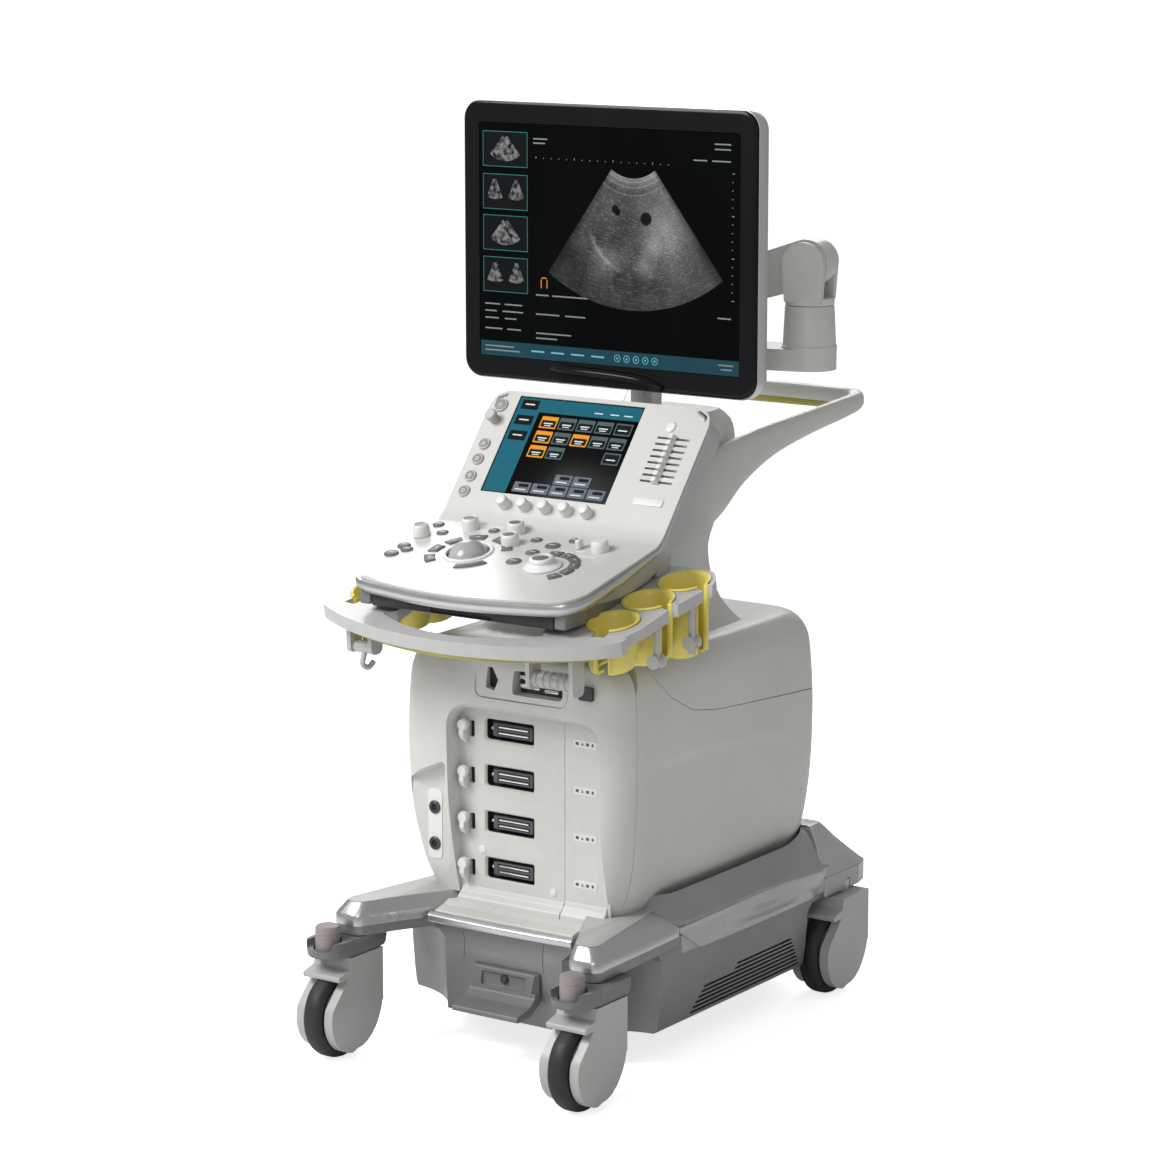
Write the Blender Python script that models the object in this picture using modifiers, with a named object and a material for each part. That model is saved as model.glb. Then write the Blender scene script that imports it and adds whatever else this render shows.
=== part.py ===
"""Cart-based ultrasound machine, as an assembly of separate sub-parts.

Units are metres and +Z is up. The operator stands on the -Y side and +X is the operator's right.
Every dimension below is taken from the cart's own centre line. The finished machine is then moved so
that the origin lies on the floor under the middle of its overall width and depth.
"""

import math

import bmesh
import bpy
from mathutils import Matrix, Vector

GAP = 0.0003  # clearance between touching pieces
RUN = 0.0015  # clearance round moving pieces
MIDDLE_X = 0.01193  # middle of the overall width, from the centre line
MIDDLE_Y = 0.03406  # middle of the overall depth

# Castors
WHEEL_R = 0.0625
WHEEL_W = 0.030
AXLE_R = 0.006
CASTOR_X = 0.205
SWIVEL_FRONT = -0.279
SWIVEL_REAR = 0.363
TRAIL = 0.038  # the axle sits this far ahead of the swivel axis
HOOD_W = 0.063
HOOD_SLOT = 0.035
HOOD_TOP = 0.1465
STEM_R = 0.012
HOUSING_TOP = 0.1715

# Base
BASE_LOW = 0.055
BASE_HALF = 0.213
LEG_TOP = 0.218
SHOULDER_TOP = 0.240
SLAB_LOW = 0.1503
WELL_X = 0.215
WELL_Y = -0.262
WELL_R = 0.130
REAR_WELL_R = 0.108
WALL = 0.004
LOUVRES = 4
LOUVRE_PITCH = 0.0105

# Body
BODY_TOP = 0.575
SEAM_Z = 0.485  # between the side covers and the top cover
CORNER_Y = -0.125  # between the front cover and the side covers
REAR_SEAM_Y = 0.300
PANEL_Y = -0.165
PORT_X = (-0.058, 0.022)
PORT_H = 0.029
PORT_TOP = 0.471
PORT_PITCH = 0.066
LEVER_X = -0.089

# Lift
MAST_Y = 0.148
MAST_R = 0.022
LIFT_X = 0.030
SWIVEL_Y = -0.030
SWIVEL_Z = 0.686

# Console
CONSOLE_HALF = 0.186
DECK_TILT = math.radians(12.5)
DECK_POINT = Vector((0.0, -0.084, 0.7328))
DECK_FRONT = -0.330
PANEL_TILT = math.radians(50.7)
TOUCH_CENTRE = Vector((-0.032, -0.0155, 0.830))
TOUCH_W = 0.211
TOUCH_H = 0.158
SKIN = 0.006
HANGER_X = 0.158
TRACKBALL_R = 0.030
TRACKBALL_AT = (-0.063, -0.196)
ENCODER_AT = (0.071, -0.211)
ENCODER_R = 0.026
MENU_KNOBS_X = (-0.086, -0.052, -0.017, 0.018, 0.052)
MENU_KNOB_UP = -0.0965  # along the panel from the touch screen's centre
TGC_X = 0.138
TGC_ROWS = 8
TGC_PITCH = 0.0099
TGC_TOP = 0.034  # up the panel from the touch screen's centre

# Front handle and probe holders
FRAME_TILT = math.radians(12.0)
FRAME_POINT = Vector((0.0, -0.385, 0.604))
FRAME_T = 0.022
CUPS = ((0.196, -0.228, 0.068), (0.200, -0.150, 0.085), (0.211, -0.078, 0.102))
CUP_R = 0.039
CUP_WALL = 0.0035

# Monitor and its arm
LINK_Z = (0.940, 0.970)
POST_AT = Vector((0.240, 0.195, 0.0))
POST_R = 0.0345
POST_SEAM = 1.030
ELBOW_Z = 1.088
ARM_END = Vector((0.030, 0.150, 1.022))
MONITOR_W = 0.490
MONITOR_Z = (0.910, 1.305)
MONITOR_Y = 0.046
BEZEL_T = 0.022
TILT_AXIS = Vector((0.0, 0.118, 1.100))

COLOURS = {
    "shell": ((0.72, 0.72, 0.69), 0.45, 0.0),
    "deck": ((0.80, 0.80, 0.78), 0.40, 0.0),
    "base_grey": ((0.36, 0.36, 0.37), 0.35, 0.6),
    "dark_grey": ((0.20, 0.20, 0.21), 0.50, 0.0),
    "silver": ((0.75, 0.75, 0.77), 0.20, 0.9),
    "tyre": ((0.07, 0.07, 0.075), 0.60, 0.0),
    "steel": ((0.55, 0.56, 0.58), 0.35, 1.0),
    "black": ((0.012, 0.012, 0.014), 0.12, 0.0),
    "yellow": ((0.72, 0.62, 0.14), 0.40, 0.0),
    "glass": ((0.02, 0.08, 0.10), 0.10, 0.0),
    "button": ((0.30, 0.28, 0.28), 0.60, 0.0),
    "white": ((0.86, 0.86, 0.85), 0.35, 0.0),
}


def clear_scene():
    """Empties the file of objects and makes the collections."""
    for obj in list(bpy.data.objects):
        bpy.data.objects.remove(obj)
    made = []
    for name in ("ultrasound_machine", "cutters"):
        group = bpy.data.collections.new(name)
        bpy.context.scene.collection.children.link(group)
        made.append(group)
    return made


PARTS, CUTTERS = clear_scene()


def material(name):
    """A Principled material of the given name, made once."""
    found = bpy.data.materials.get(name)
    if found:
        return found
    colour, roughness, metallic = COLOURS[name]
    made = bpy.data.materials.new(name)
    made.use_nodes = True
    shader = made.node_tree.nodes["Principled BSDF"]
    shader.inputs["Base Color"].default_value = (*colour, 1.0)
    shader.inputs["Roughness"].default_value = roughness
    shader.inputs["Metallic"].default_value = metallic
    return made


def add_object(name, bm, finish):
    """Turns a bmesh into an object. With no finish it is a cutter, which isn't part of the model."""
    mesh = bpy.data.meshes.new(name)
    bmesh.ops.recalc_face_normals(bm, faces=bm.faces)
    if bm.calc_volume(signed=True) < 0:
        bmesh.ops.reverse_faces(bm, faces=bm.faces)
    bm.to_mesh(mesh)
    bm.free()
    obj = bpy.data.objects.new(name, mesh)
    if finish is None:
        obj.hide_render = True
        obj.display_type = "WIRE"
        CUTTERS.objects.link(obj)
    else:
        mesh.materials.append(material(finish))
        PARTS.objects.link(obj)
    return obj


def box(name, low, high, finish=None, turn=None):
    """A box between two corners, optionally turned by a matrix."""
    low, high = Vector(low), Vector(high)
    bm = bmesh.new()
    place = Matrix.Translation((low + high) / 2) @ Matrix.Diagonal((*(high - low), 1.0))
    bmesh.ops.create_cube(bm, size=1.0, matrix=place)
    if turn is not None:
        bm.transform(turn)
    return add_object(name, bm, finish)


def cylinder(name, centre, radius, depth, finish=None, axis="Z", sides=16, top=None):
    """A cylinder, or a cone when top gives another radius at its +axis end."""
    turn = {
        "X": Matrix.Rotation(math.pi / 2, 4, "Y"),
        "Y": Matrix.Rotation(-math.pi / 2, 4, "X"),
        "Z": Matrix.Identity(4),
    }
    spin = turn[axis] if isinstance(axis, str) else axis
    bm = bmesh.new()
    bmesh.ops.create_cone(
        bm,
        cap_ends=True,
        segments=sides,
        radius1=radius,
        radius2=radius if top is None else top,
        depth=depth,
        matrix=Matrix.Translation(centre) @ spin,
    )
    return add_object(name, bm, finish)


def turned(name, profile, steps, finish=None, place=None):
    """A profile of (radius, height) points turned about the local Z axis, listed from top to bottom."""
    mesh = bpy.data.meshes.new(name)
    edges = [(i, i + 1) for i in range(len(profile) - 1)]
    if profile[0][0] > 1e-6:
        edges.append((len(profile) - 1, 0))
    mesh.from_pydata([(r, 0.0, z) for r, z in profile], edges, [])
    obj = bpy.data.objects.new(name, mesh)
    (CUTTERS if finish is None else PARTS).objects.link(obj)
    obj.matrix_world = place or Matrix.Identity(4)
    screw = obj.modifiers.new("turn", "SCREW")
    screw.steps = steps
    screw.render_steps = steps
    screw.use_merge_vertices = True
    screw.merge_threshold = 1e-5
    if finish is None:
        obj.hide_render = True
        obj.display_type = "WIRE"
    else:
        mesh.materials.append(material(finish))
    return obj


def rounded(corners, steps=2):
    """An outline of (x, y, radius) corners, each corner turned into an arc."""
    points = []
    count = len(corners)
    for i, (x, y, radius) in enumerate(corners):
        here = Vector((x, y))
        before = (Vector(corners[i - 1][:2]) - here).normalized()
        after = (Vector(corners[(i + 1) % count][:2]) - here).normalized()
        if radius <= 0:
            points.append((x, y))
            continue
        half = before.angle(after) / 2
        reach = radius / math.tan(half)
        start = here + before * reach
        end = here + after * reach
        centre = here + (before + after).normalized() * (radius / math.sin(half))
        a, b = start - centre, end - centre
        for k in range(steps + 1):
            t = k / steps
            spoke = a.lerp(b, t).normalized() * radius
            points.append(tuple(centre + spoke))
    return points


def mirrored(half):
    """A full outline from its +X half, listed from the front centre to the rear centre."""
    return half + [(-x, y, r) for x, y, r in reversed(half)]


def prism(name, outline, depth, place, finish=None):
    """A flat outline in the local XY plane given a thickness, centred on that plane."""
    curve = bpy.data.curves.new(name + "_outline", "CURVE")
    curve.dimensions = "2D"
    curve.fill_mode = "BOTH"
    curve.extrude = depth / 2
    spline = curve.splines.new("POLY")
    spline.points.add(len(outline) - 1)
    for point, (x, y) in zip(spline.points, outline):
        point.co = (x, y, 0.0, 1.0)
    spline.use_cyclic_u = True
    guide = bpy.data.objects.new(name + "_outline", curve)
    CUTTERS.objects.link(guide)
    graph = bpy.context.evaluated_depsgraph_get()
    mesh = bpy.data.meshes.new_from_object(guide.evaluated_get(graph))
    bpy.data.objects.remove(guide)
    bm = bmesh.new()
    bm.from_mesh(mesh)
    bmesh.ops.remove_doubles(bm, verts=bm.verts, dist=1e-5)
    bm.transform(place)
    return add_object(name, bm, finish)


def flat(z_low, z_high):
    """The depth and place of a prism that lies flat between two heights."""
    return z_high - z_low, Matrix.Translation((0, 0, (z_low + z_high) / 2))


def side_prism(name, outline, x_low, x_high, finish=None):
    """An outline in (y, z) given a thickness along X."""
    turn = Matrix(((0, 0, 1, 0), (1, 0, 0, 0), (0, 1, 0, 0), (0, 0, 0, 1)))
    place = Matrix.Translation(((x_low + x_high) / 2, 0, 0)) @ turn
    return prism(name, outline, x_high - x_low, place, finish)


def rod(name, points, radius, finish=None):
    """A round rod along a path, as a mesh with welded caps."""
    curve = bpy.data.curves.new(name + "_path", "CURVE")
    curve.dimensions = "3D"
    curve.bevel_depth = radius
    curve.bevel_resolution = 2
    curve.use_fill_caps = True
    spline = curve.splines.new("POLY")
    spline.points.add(len(points) - 1)
    for point, at in zip(spline.points, points):
        point.co = (*at, 1.0)
    guide = bpy.data.objects.new(name + "_path", curve)
    CUTTERS.objects.link(guide)
    graph = bpy.context.evaluated_depsgraph_get()
    mesh = bpy.data.meshes.new_from_object(guide.evaluated_get(graph))
    bpy.data.objects.remove(guide)
    bm = bmesh.new()
    bm.from_mesh(mesh)
    bmesh.ops.remove_doubles(bm, verts=bm.verts, dist=1e-5)
    return add_object(name, bm, finish)


def loft(name, rings, finish=None):
    """A closed skin through rings of equal point counts, with flat ends."""
    bm = bmesh.new()
    rows = [[bm.verts.new(p) for p in ring] for ring in rings]
    count = len(rows[0])
    for low, high in zip(rows, rows[1:]):
        for i in range(count):
            j = (i + 1) % count
            bm.faces.new((low[i], low[j], high[j], high[i]))
    bm.faces.new(list(reversed(rows[0])))
    bm.faces.new(rows[-1])
    return add_object(name, bm, finish)


def soft_ring(half, front, rear, z, power, count=20):
    """A level ring: a superellipse between front and rear, squarer as the power grows."""
    middle, reach = (front + rear) / 2, (rear - front) / 2
    ring = []
    for i in range(count):
        t = 2 * math.pi * (i + 0.5) / count
        c, s = math.cos(t), math.sin(t)
        x = half * math.copysign(abs(c) ** (2 / power), c)
        y = reach * math.copysign(abs(s) ** (2 / power), s)
        ring.append((x, middle + y, z))
    return ring


def combine(target, other, operation):
    """A Boolean modifier that joins, cuts or keeps the common part."""
    if other.name in PARTS.objects:
        PARTS.objects.unlink(other)
        CUTTERS.objects.link(other)
        other.hide_render = True
        other.display_type = "WIRE"
    step = target.modifiers.new(operation.lower(), "BOOLEAN")
    step.operation = operation
    step.solver = "EXACT"
    step.object = other
    return target


def join(target, *others):
    for other in others:
        combine(target, other, "UNION")
    return target


def cut(target, *others):
    for other in others:
        combine(target, other, "DIFFERENCE")
    return target


def keep(target, other):
    return combine(target, other, "INTERSECT")


def set_origin(obj, point):
    """Moves the object's origin to a point of its joint axis, leaving the shape in place."""
    obj.data.transform(Matrix.Translation(-Vector(point)))
    obj.location = point
    return obj


def on_deck(x, y, lift=0.0):
    """A point above the console's deck, whose plane slopes down to the operator."""
    z = DECK_POINT.z + (y - DECK_POINT.y) * math.tan(DECK_TILT)
    return Vector((x, y, z)) + deck_normal() * lift


def deck_normal():
    return Vector((0, -math.sin(DECK_TILT), math.cos(DECK_TILT)))


def on_panel(x, up, lift=0.0):
    """A point above the upper panel: up is measured along the slope from the touch screen's centre."""
    along = Vector((0, math.cos(PANEL_TILT), math.sin(PANEL_TILT)))
    out = Vector((0, -math.sin(PANEL_TILT), math.cos(PANEL_TILT)))
    return Vector((x, TOUCH_CENTRE.y, TOUCH_CENTRE.z)) + along * up + out * lift


def tilted(tilt, point):
    """A place whose local Z is the normal of a plane that slopes down towards the operator."""
    return Matrix.Translation(point) @ Matrix.Rotation(tilt, 4, "X")


# Castors ------------------------------------------------------------------------------------------


def make_wheel(name, x, swivel_y):
    """A tyred wheel on a bored hub."""
    half = WHEEL_W / 2
    bore = AXLE_R + GAP
    profile = [
        (bore, half - 0.004),
        (0.044, half - 0.004),
        (0.048, half),
        (0.055, half - 0.001),
        (0.0605, half - 0.006),
        (WHEEL_R, 0.0),
        (0.0605, 0.006 - half),
        (0.055, 0.001 - half),
        (0.048, -half),
        (0.044, 0.004 - half),
        (bore, 0.004 - half),
    ]
    place = Matrix.Translation((x, swivel_y - TRAIL, WHEEL_R)) @ Matrix.Rotation(math.pi / 2, 4, "Y")
    return turned(name, profile, 20, "tyre", place)


def hood_outline():
    """The hood from the side, in (y, z) from the swivel axis: a cheek round the axle under a block."""
    points = [(0.027, HOOD_TOP), (0.027, 0.085)]
    for k in range(1, 5):
        t = math.radians(90 * k / 4)
        points.append((-0.033 + 0.060 * math.cos(t), 0.085 - 0.071 * math.sin(t)))
    for k in range(6):
        t = math.radians(-95 - 105 * k / 5)
        points.append((-TRAIL + 0.052 * math.cos(t), WHEEL_R + 0.052 * math.sin(t)))
    points += [(-0.078, 0.108), (-0.071, 0.119), (-0.071, 0.126), (-0.045, 0.131)]
    points += [(-0.038, HOOD_TOP)]
    return points


def make_fork(name, x, swivel_y):
    """The castor's hood: two cheeks, a stem that runs in the housing, and the axle pin."""
    outline = [(y + swivel_y, z) for y, z in hood_outline()]
    hood = side_prism(name, outline, x - HOOD_W / 2, x + HOOD_W / 2, "shell")
    axle_y = swivel_y - TRAIL
    slot = cylinder(name + "_slot", (x, axle_y, WHEEL_R), WHEEL_R + 0.004, HOOD_SLOT, axis="X", sides=20)
    mouth = box(
        name + "_mouth",
        (x - HOOD_SLOT / 2, axle_y - 0.10, -0.02),
        (x + HOOD_SLOT / 2, axle_y, 0.1085),
    )
    axle = cylinder(name + "_axle", (x, axle_y, WHEEL_R), AXLE_R, HOOD_W - 0.004, axis="X", sides=12)
    stem = cylinder(name + "_stem", (x, swivel_y, 0.150), STEM_R, 0.030)
    cut(hood, slot, mouth)
    join(hood, axle, stem)
    return set_origin(hood, (x, swivel_y, WHEEL_R))


def make_housing(name, x):
    """The front castor's dark housing under the leg tip, with a round nose that holds the pedal."""
    side = 0.033
    nose_y = -0.336
    outline = rounded(
        [
            (x - side, -0.234, 0.012),
            (x + side, -0.234, 0.012),
            (x + side, -0.300, 0.010),
            (x + 0.027, nose_y - 0.026, 0.024),
            (x - 0.027, nose_y - 0.026, 0.024),
            (x - side, -0.300, 0.010),
        ]
    )
    depth, place = flat(HOOD_TOP + 0.0015, HOUSING_TOP)
    housing = prism(name, outline, depth, place, "dark_grey")
    bore = cylinder(name + "_bore", (x, SWIVEL_FRONT, 0.155), STEM_R + 0.0005, 0.05)
    seat = cylinder(name + "_seat", (x, nose_y, 0.166), 0.0195, 0.030, sides=20)
    return cut(housing, bore, seat)


def make_brake_pedal(name, x):
    """The round cap that is pressed down to lock the castor."""
    cap = cylinder(name, (x, -0.336, 0.1735), 0.0175, 0.039, "button", sides=20, top=0.0165)
    relief = box(name + "_relief", (x - 0.03, -0.3165, 0.168), (x + 0.03, -0.29, 0.21))
    cut(cap, relief)
    return set_origin(cap, (x, -0.336, 0.1735))


# Base ---------------------------------------------------------------------------------------------


def base_outline(grow=0.0):
    """The base from above: two forward legs, straight sides and two rear corners."""
    g = grow
    half = [
        (0.118, -0.208 - g, 0.008),
        (0.165 - g, -0.268 - g, 0.030),
        (0.180, -0.309 - g, 0.014),
        (0.226 + g, -0.303 - g, 0.014),
        (BASE_HALF + g, -0.100, 0.030),
        (BASE_HALF + g, 0.300, 0.040),
        (0.206 + g, 0.432 + g, 0.020),
        (0.165 - g, 0.436 + g, 0.020),
        (0.130 - g, 0.385 + g, 0.020),
    ]
    return mirrored(half)


def wells(name, wall):
    """The round spaces in which the four castors turn, grown by a wall."""
    made = []
    for side in (-1, 1):
        top = HOUSING_TOP + GAP + wall
        front = (side * WELL_X, WELL_Y, top - 0.15)
        made.append(cylinder(f"{name}_front_{side}", front, WELL_R + wall, 0.30, sides=24))
        rear = (side * CASTOR_X, SWIVEL_REAR, SLAB_LOW - 0.15)
        made.append(cylinder(f"{name}_rear_{side}", rear, REAR_WELL_R + wall, 0.30, sides=24))
    return made


def make_base_cover():
    """The grey skirt: a slab that carries the legs, a lower skirt, and a shoulder under the body."""
    depth, place = flat(SLAB_LOW, LEG_TOP)
    cover = prism("base_cover", rounded(base_outline()), depth, place, "base_grey")
    skirt_half = [
        (BASE_HALF - 0.004, -0.205, 0.010),
        (BASE_HALF - 0.004, 0.300, 0.010),
        (0.110, 0.380, 0.020),
    ]
    depth, place = flat(BASE_LOW, SLAB_LOW + GAP)
    skirt = prism("base_skirt", rounded(mirrored(skirt_half)), depth, place)
    shoulder = loft(
        "base_shoulder",
        [
            soft_ring(BASE_HALF - 0.001, -0.118, 0.345, 0.205, 12),
            soft_ring(0.196, -0.112, 0.332, SHOULDER_TOP, 12),
        ],
    )
    hollow_half = [
        (BASE_HALF - 0.004 - WALL, -0.196, 0.006),
        (BASE_HALF - 0.004 - WALL, 0.296, 0.006),
        (0.105, 0.374, 0.016),
    ]
    depth, place = flat(BASE_LOW - 0.02, 0.2035)
    hollow = prism("base_hollow", rounded(mirrored(hollow_half)), depth, place)
    cut(hollow, *wells("wall", WALL))
    throat = box("base_throat", (-0.15, -0.140, 0.19), (0.15, 0.300, 0.26))
    join(cover, skirt, shoulder)
    cut(cover, hollow, throat, *wells("base_well", 0.0))
    for side in (-1, 1):
        for at in (SWIVEL_FRONT, SWIVEL_REAR):
            bore = cylinder(
                f"base_bore_{side}_{at}", (side * CASTOR_X, at, 0.17), STEM_R + 0.0005, 0.06
            )
            cut(cover, bore)
    for k in range(LOUVRES):
        z = 0.066 + LOUVRE_PITCH * k
        for side in (-1, 1):
            x = side * (BASE_HALF - 0.004)
            slot = box(
                f"louvre_{side}_{k}",
                (x - 0.008, -0.05 + 0.008 * k, z),
                (x + 0.008, 0.235 - 0.005 * k, z + LOUVRE_PITCH / 2),
            )
            cut(cover, slot)
    return cover


def make_front_trim():
    """The bright band across the front between the legs."""
    outline = rounded(
        [(-0.106, -0.2085, 0), (-0.106, -0.222, 0.004), (0.106, -0.222, 0.004), (0.106, -0.2085, 0)]
    )
    depth, place = flat(0.181, 0.195)
    return prism("front_trim_band", outline, depth, place, "silver")


def make_chassis():
    """The steel plate inside the base that ties the castor mounts to the lift column."""
    half = [(0.080, -0.185, 0.01), (0.080, -0.060, 0.01), (0.195, -0.060, 0.01), (0.195, 0.240, 0.01)]
    depth, place = flat(0.1700, 0.1760)
    return prism("chassis_plate", rounded(mirrored(half)), depth, place, "steel")


def make_underbody():
    """The dark tray that closes the base from below and carries the foot pedal."""
    half = [(0.078, -0.190, 0.01), (0.078, -0.050, 0.02), (0.190, -0.050, 0.01), (0.190, 0.235, 0.01)]
    depth, place = flat(BASE_LOW + 0.004, BASE_LOW + 0.010)
    return prism("underbody_tray", rounded(mirrored(half)), depth, place, "dark_grey")


def make_foot_pedal():
    """The centre foot pedal: a tongue in front of the base on a small bracket."""
    outline = rounded(
        [
            (-0.2056, 0.126, 0.002),
            (-0.2056, 0.098, 0.002),
            (-0.226, 0.083, 0.003),
            (-0.262, 0.080, 0.003),
            (-0.262, 0.088, 0.003),
            (-0.228, 0.096, 0.003),
            (-0.218, 0.126, 0.002),
        ],
        2,
    )
    pedal = side_prism("foot_pedal", outline, -0.046, 0.046, "dark_grey")
    return set_origin(pedal, (0.0, -0.2060, 0.0965))


# Body covers --------------------------------------------------------------------------------------


def body_rings(inset):
    """The lower body as level rings, a little narrower at the foot and at the top."""
    rows = (
        (0.2185, 0.168, -0.172, 0.322),
        (0.260, 0.184, -0.181, 0.329),
        (0.340, 0.195, -0.194, 0.333),
        (0.440, 0.198, -0.198, 0.334),
        (0.530, 0.193, -0.196, 0.332),
        (BODY_TOP, 0.166, -0.180, 0.316),
    )
    rings = []
    for z, half, front, rear in rows:
        rings.append(soft_ring(half - inset, front + inset, rear - inset, z, 8, 28))
    return rings


def neck_rings(inset):
    """The neck: it flares out of the body, narrows, and leans back to the hub at its top."""
    rows = (
        (0.500, 0.180, -0.130, 0.250, 5),
        (0.560, 0.150, -0.108, 0.208, 4),
        (0.610, 0.122, -0.045, 0.188, 4),
        (0.660, 0.108, 0.000, 0.182, 3.5),
        (0.740, 0.096, 0.050, 0.225, 3),
        (0.820, 0.090, 0.100, 0.268, 3),
        (0.866, 0.074, 0.120, 0.250, 3),
    )
    return [soft_ring(h - inset, f + inset, r - inset, z, p, 20) for z, h, f, r, p in rows]


def body_shell(name, finish):
    """The whole lower body as a thin shell, open below and above."""
    outer = loft(name, body_rings(0.0), finish)
    inner_rings = body_rings(WALL)
    inner_rings.insert(0, [(x, y, z - 0.01) for x, y, z in inner_rings[0]])
    inner_rings[-1] = [(x, y, z - WALL) for x, y, z in inner_rings[-1]]
    return cut(outer, loft(name + "_inside", inner_rings))


def port_opening(name):
    """The rounded opening in the front cover behind which the port panel sits."""
    outline = rounded(
        [
            (-0.100, 0.238, 0.010),
            (0.146, 0.238, 0.010),
            (0.146, 0.486, 0.024),
            (-0.100, 0.486, 0.024),
        ]
    )
    place = Matrix.Translation((0, -0.170, 0)) @ Matrix.Rotation(math.pi / 2, 4, "X")
    return prism(name, outline, 0.10, place)


def make_front_cover():
    cover = body_shell("front_cover", "shell")
    keep(cover, box("front_region", (-0.3, -0.3, 0.19), (0.3, CORNER_Y - GAP, BODY_TOP + 0.01)))
    neck = loft("front_neck_clearance", neck_rings(-0.002))
    jacks = box("jack_pocket", (-0.155, -0.25, 0.262), (-0.118, -0.15, 0.375))
    media = box("media_window", (-0.050, -0.25, 0.520), (0.094, -0.15, 0.558))
    return cut(cover, port_opening("front_opening"), neck, jacks, media)


def make_side_cover(name, side):
    cover = body_shell(name, "shell")
    low, high = (0.002, 0.3) if side > 0 else (-0.3, -0.002)
    region = box(name + "_region", (low, CORNER_Y, SHOULDER_TOP + GAP), (high, REAR_SEAM_Y, SEAM_Z))
    keep(cover, region)
    return cut(cover, loft(name + "_neck_clearance", neck_rings(-0.002)))


def make_rear_cover():
    cover = body_shell("rear_cover", "shell")
    region = box("rear_region", (-0.3, REAR_SEAM_Y + GAP, SHOULDER_TOP + GAP), (0.3, 0.4, SEAM_Z))
    return keep(cover, region)


def make_top_cover():
    """The shoulder and the neck in one moulding, with a channel for the mast and a front slot."""
    cover = body_shell("top_cover", "shell")
    region = box("top_region", (-0.3, CORNER_Y, SEAM_Z + GAP), (0.3, 0.4, BODY_TOP + 0.01))
    keep(cover, region)
    hollow = neck_rings(WALL)
    hollow.insert(0, [(x, y, z - 0.02) for x, y, z in hollow[0]])
    hollow[-1] = [(x, y, z - WALL) for x, y, z in hollow[-1]]
    join(cover, loft("neck", neck_rings(0.0)))
    cut(cover, loft("neck_inside", hollow))
    slot = box("neck_slot", (-LIFT_X - 0.004, -0.20, 0.640), (LIFT_X + 0.004, 0.140, 0.8605))
    mouth = cylinder("neck_mouth", (0, MAST_Y, 0.86), MAST_R + 0.002, 0.06, sides=20)
    skirt = box("neck_skirt_cut", (-0.3, -0.3, 0.30), (0.3, 0.4, SEAM_Z + GAP))
    front = box("neck_front_cut", (-0.3, -0.3, 0.30), (0.3, CORNER_Y, 0.9))
    return cut(cover, slot, mouth, skirt, front)


def port_z(k):
    """The middle height of port k, counted from the top."""
    return PORT_TOP - PORT_H / 2 - PORT_PITCH * k


def make_port_panel():
    """The recessed panel with four probe receptacles and a slot beside each for its lock lever."""
    outline = rounded(
        [(-0.108, 0.230, 0.012), (0.155, 0.230, 0.012), (0.155, 0.494, 0.024), (-0.108, 0.494, 0.024)]
    )
    turn = Matrix.Rotation(math.pi / 2, 4, "X")
    place = Matrix.Translation((0, PANEL_Y + 0.002, 0)) @ turn
    panel = prism("port_panel", outline, 0.004, place, "shell")
    keep(panel, loft("panel_limit", body_rings(WALL + 2 * GAP)))
    for k in range(4):
        z = port_z(k)
        shell = box(
            f"port_shell_{k}",
            (PORT_X[0] - 0.003, PANEL_Y + 0.001, z - PORT_H / 2 - 0.003),
            (PORT_X[1] + 0.003, PANEL_Y + 0.020, z + PORT_H / 2 + 0.003),
        )
        core = box(
            f"port_core_{k}",
            (PORT_X[0] + 0.012, PANEL_Y + 0.004, z - 0.008),
            (PORT_X[1] - 0.005, PANEL_Y + 0.019, z + 0.008),
        )
        pocket = box(
            f"port_pocket_{k}",
            (PORT_X[0], PANEL_Y - 0.002, z - PORT_H / 2),
            (PORT_X[1], PANEL_Y + 0.016, z + PORT_H / 2),
        )
        join(panel, shell)
        cut(panel, pocket)
        join(panel, core)
        bore = cylinder(f"lever_bore_{k}", (LEVER_X, PANEL_Y, lever_z(k)), 0.0035, 0.02, axis="Y", sides=8)
        cut(panel, bore)
    return panel


def lever_z(k):
    return port_z(k) + 0.004


def make_lever(k):
    """A lock lever: a round knob with a finger tab, on a short shaft through the panel."""
    z = lever_z(k)
    centre = (LEVER_X, PANEL_Y - 0.008, z)
    knob = cylinder(f"port_lever_{k + 1}", centre, 0.0085, 0.0154, "white", "Y", 14)
    tab = box(
        f"lever_tab_{k}",
        (LEVER_X - 0.003, PANEL_Y - 0.0155, z - 0.020),
        (LEVER_X + 0.003, PANEL_Y - 0.006, z),
    )
    shaft = cylinder(f"lever_shaft_{k}", (LEVER_X, PANEL_Y + 0.003, z), 0.003, 0.018, axis="Y", sides=8)
    join(knob, tab, shaft)
    return set_origin(knob, (LEVER_X, PANEL_Y, z))


def make_internals():
    """The electronics box, and the column in which the mast slides."""
    module = box("electronics_module", (-0.150, -0.110, 0.262), (0.150, 0.100, 0.470), "steel")
    column = cylinder("lift_column", (0, MAST_Y, 0.330), 0.034, 0.300, "steel", sides=20)
    bore = cylinder("column_bore", (0, MAST_Y, 0.342), MAST_R + 0.0004, 0.300, sides=20)
    flange = cylinder("column_flange", (0, MAST_Y, 0.181), 0.050, 0.006)
    join(column, flange)
    cut(column, bore)
    return module, column


def make_rear_handle():
    """The push handle: a bar behind the neck on two arms that sweep forward and down to it."""
    half = [
        (0.1160, 0.150, 0.700),
        (0.1135, 0.190, 0.738),
        (0.118, 0.235, 0.780),
        (0.134, 0.290, 0.815),
        (0.160, 0.350, 0.842),
        (0.182, 0.398, 0.858),
        (0.183, 0.420, 0.864),
        (0.165, 0.436, 0.868),
    ]
    path = half + [(-x, y, z) for x, y, z in reversed(half)]
    return rod("rear_handle", path, 0.0125, "shell")


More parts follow.
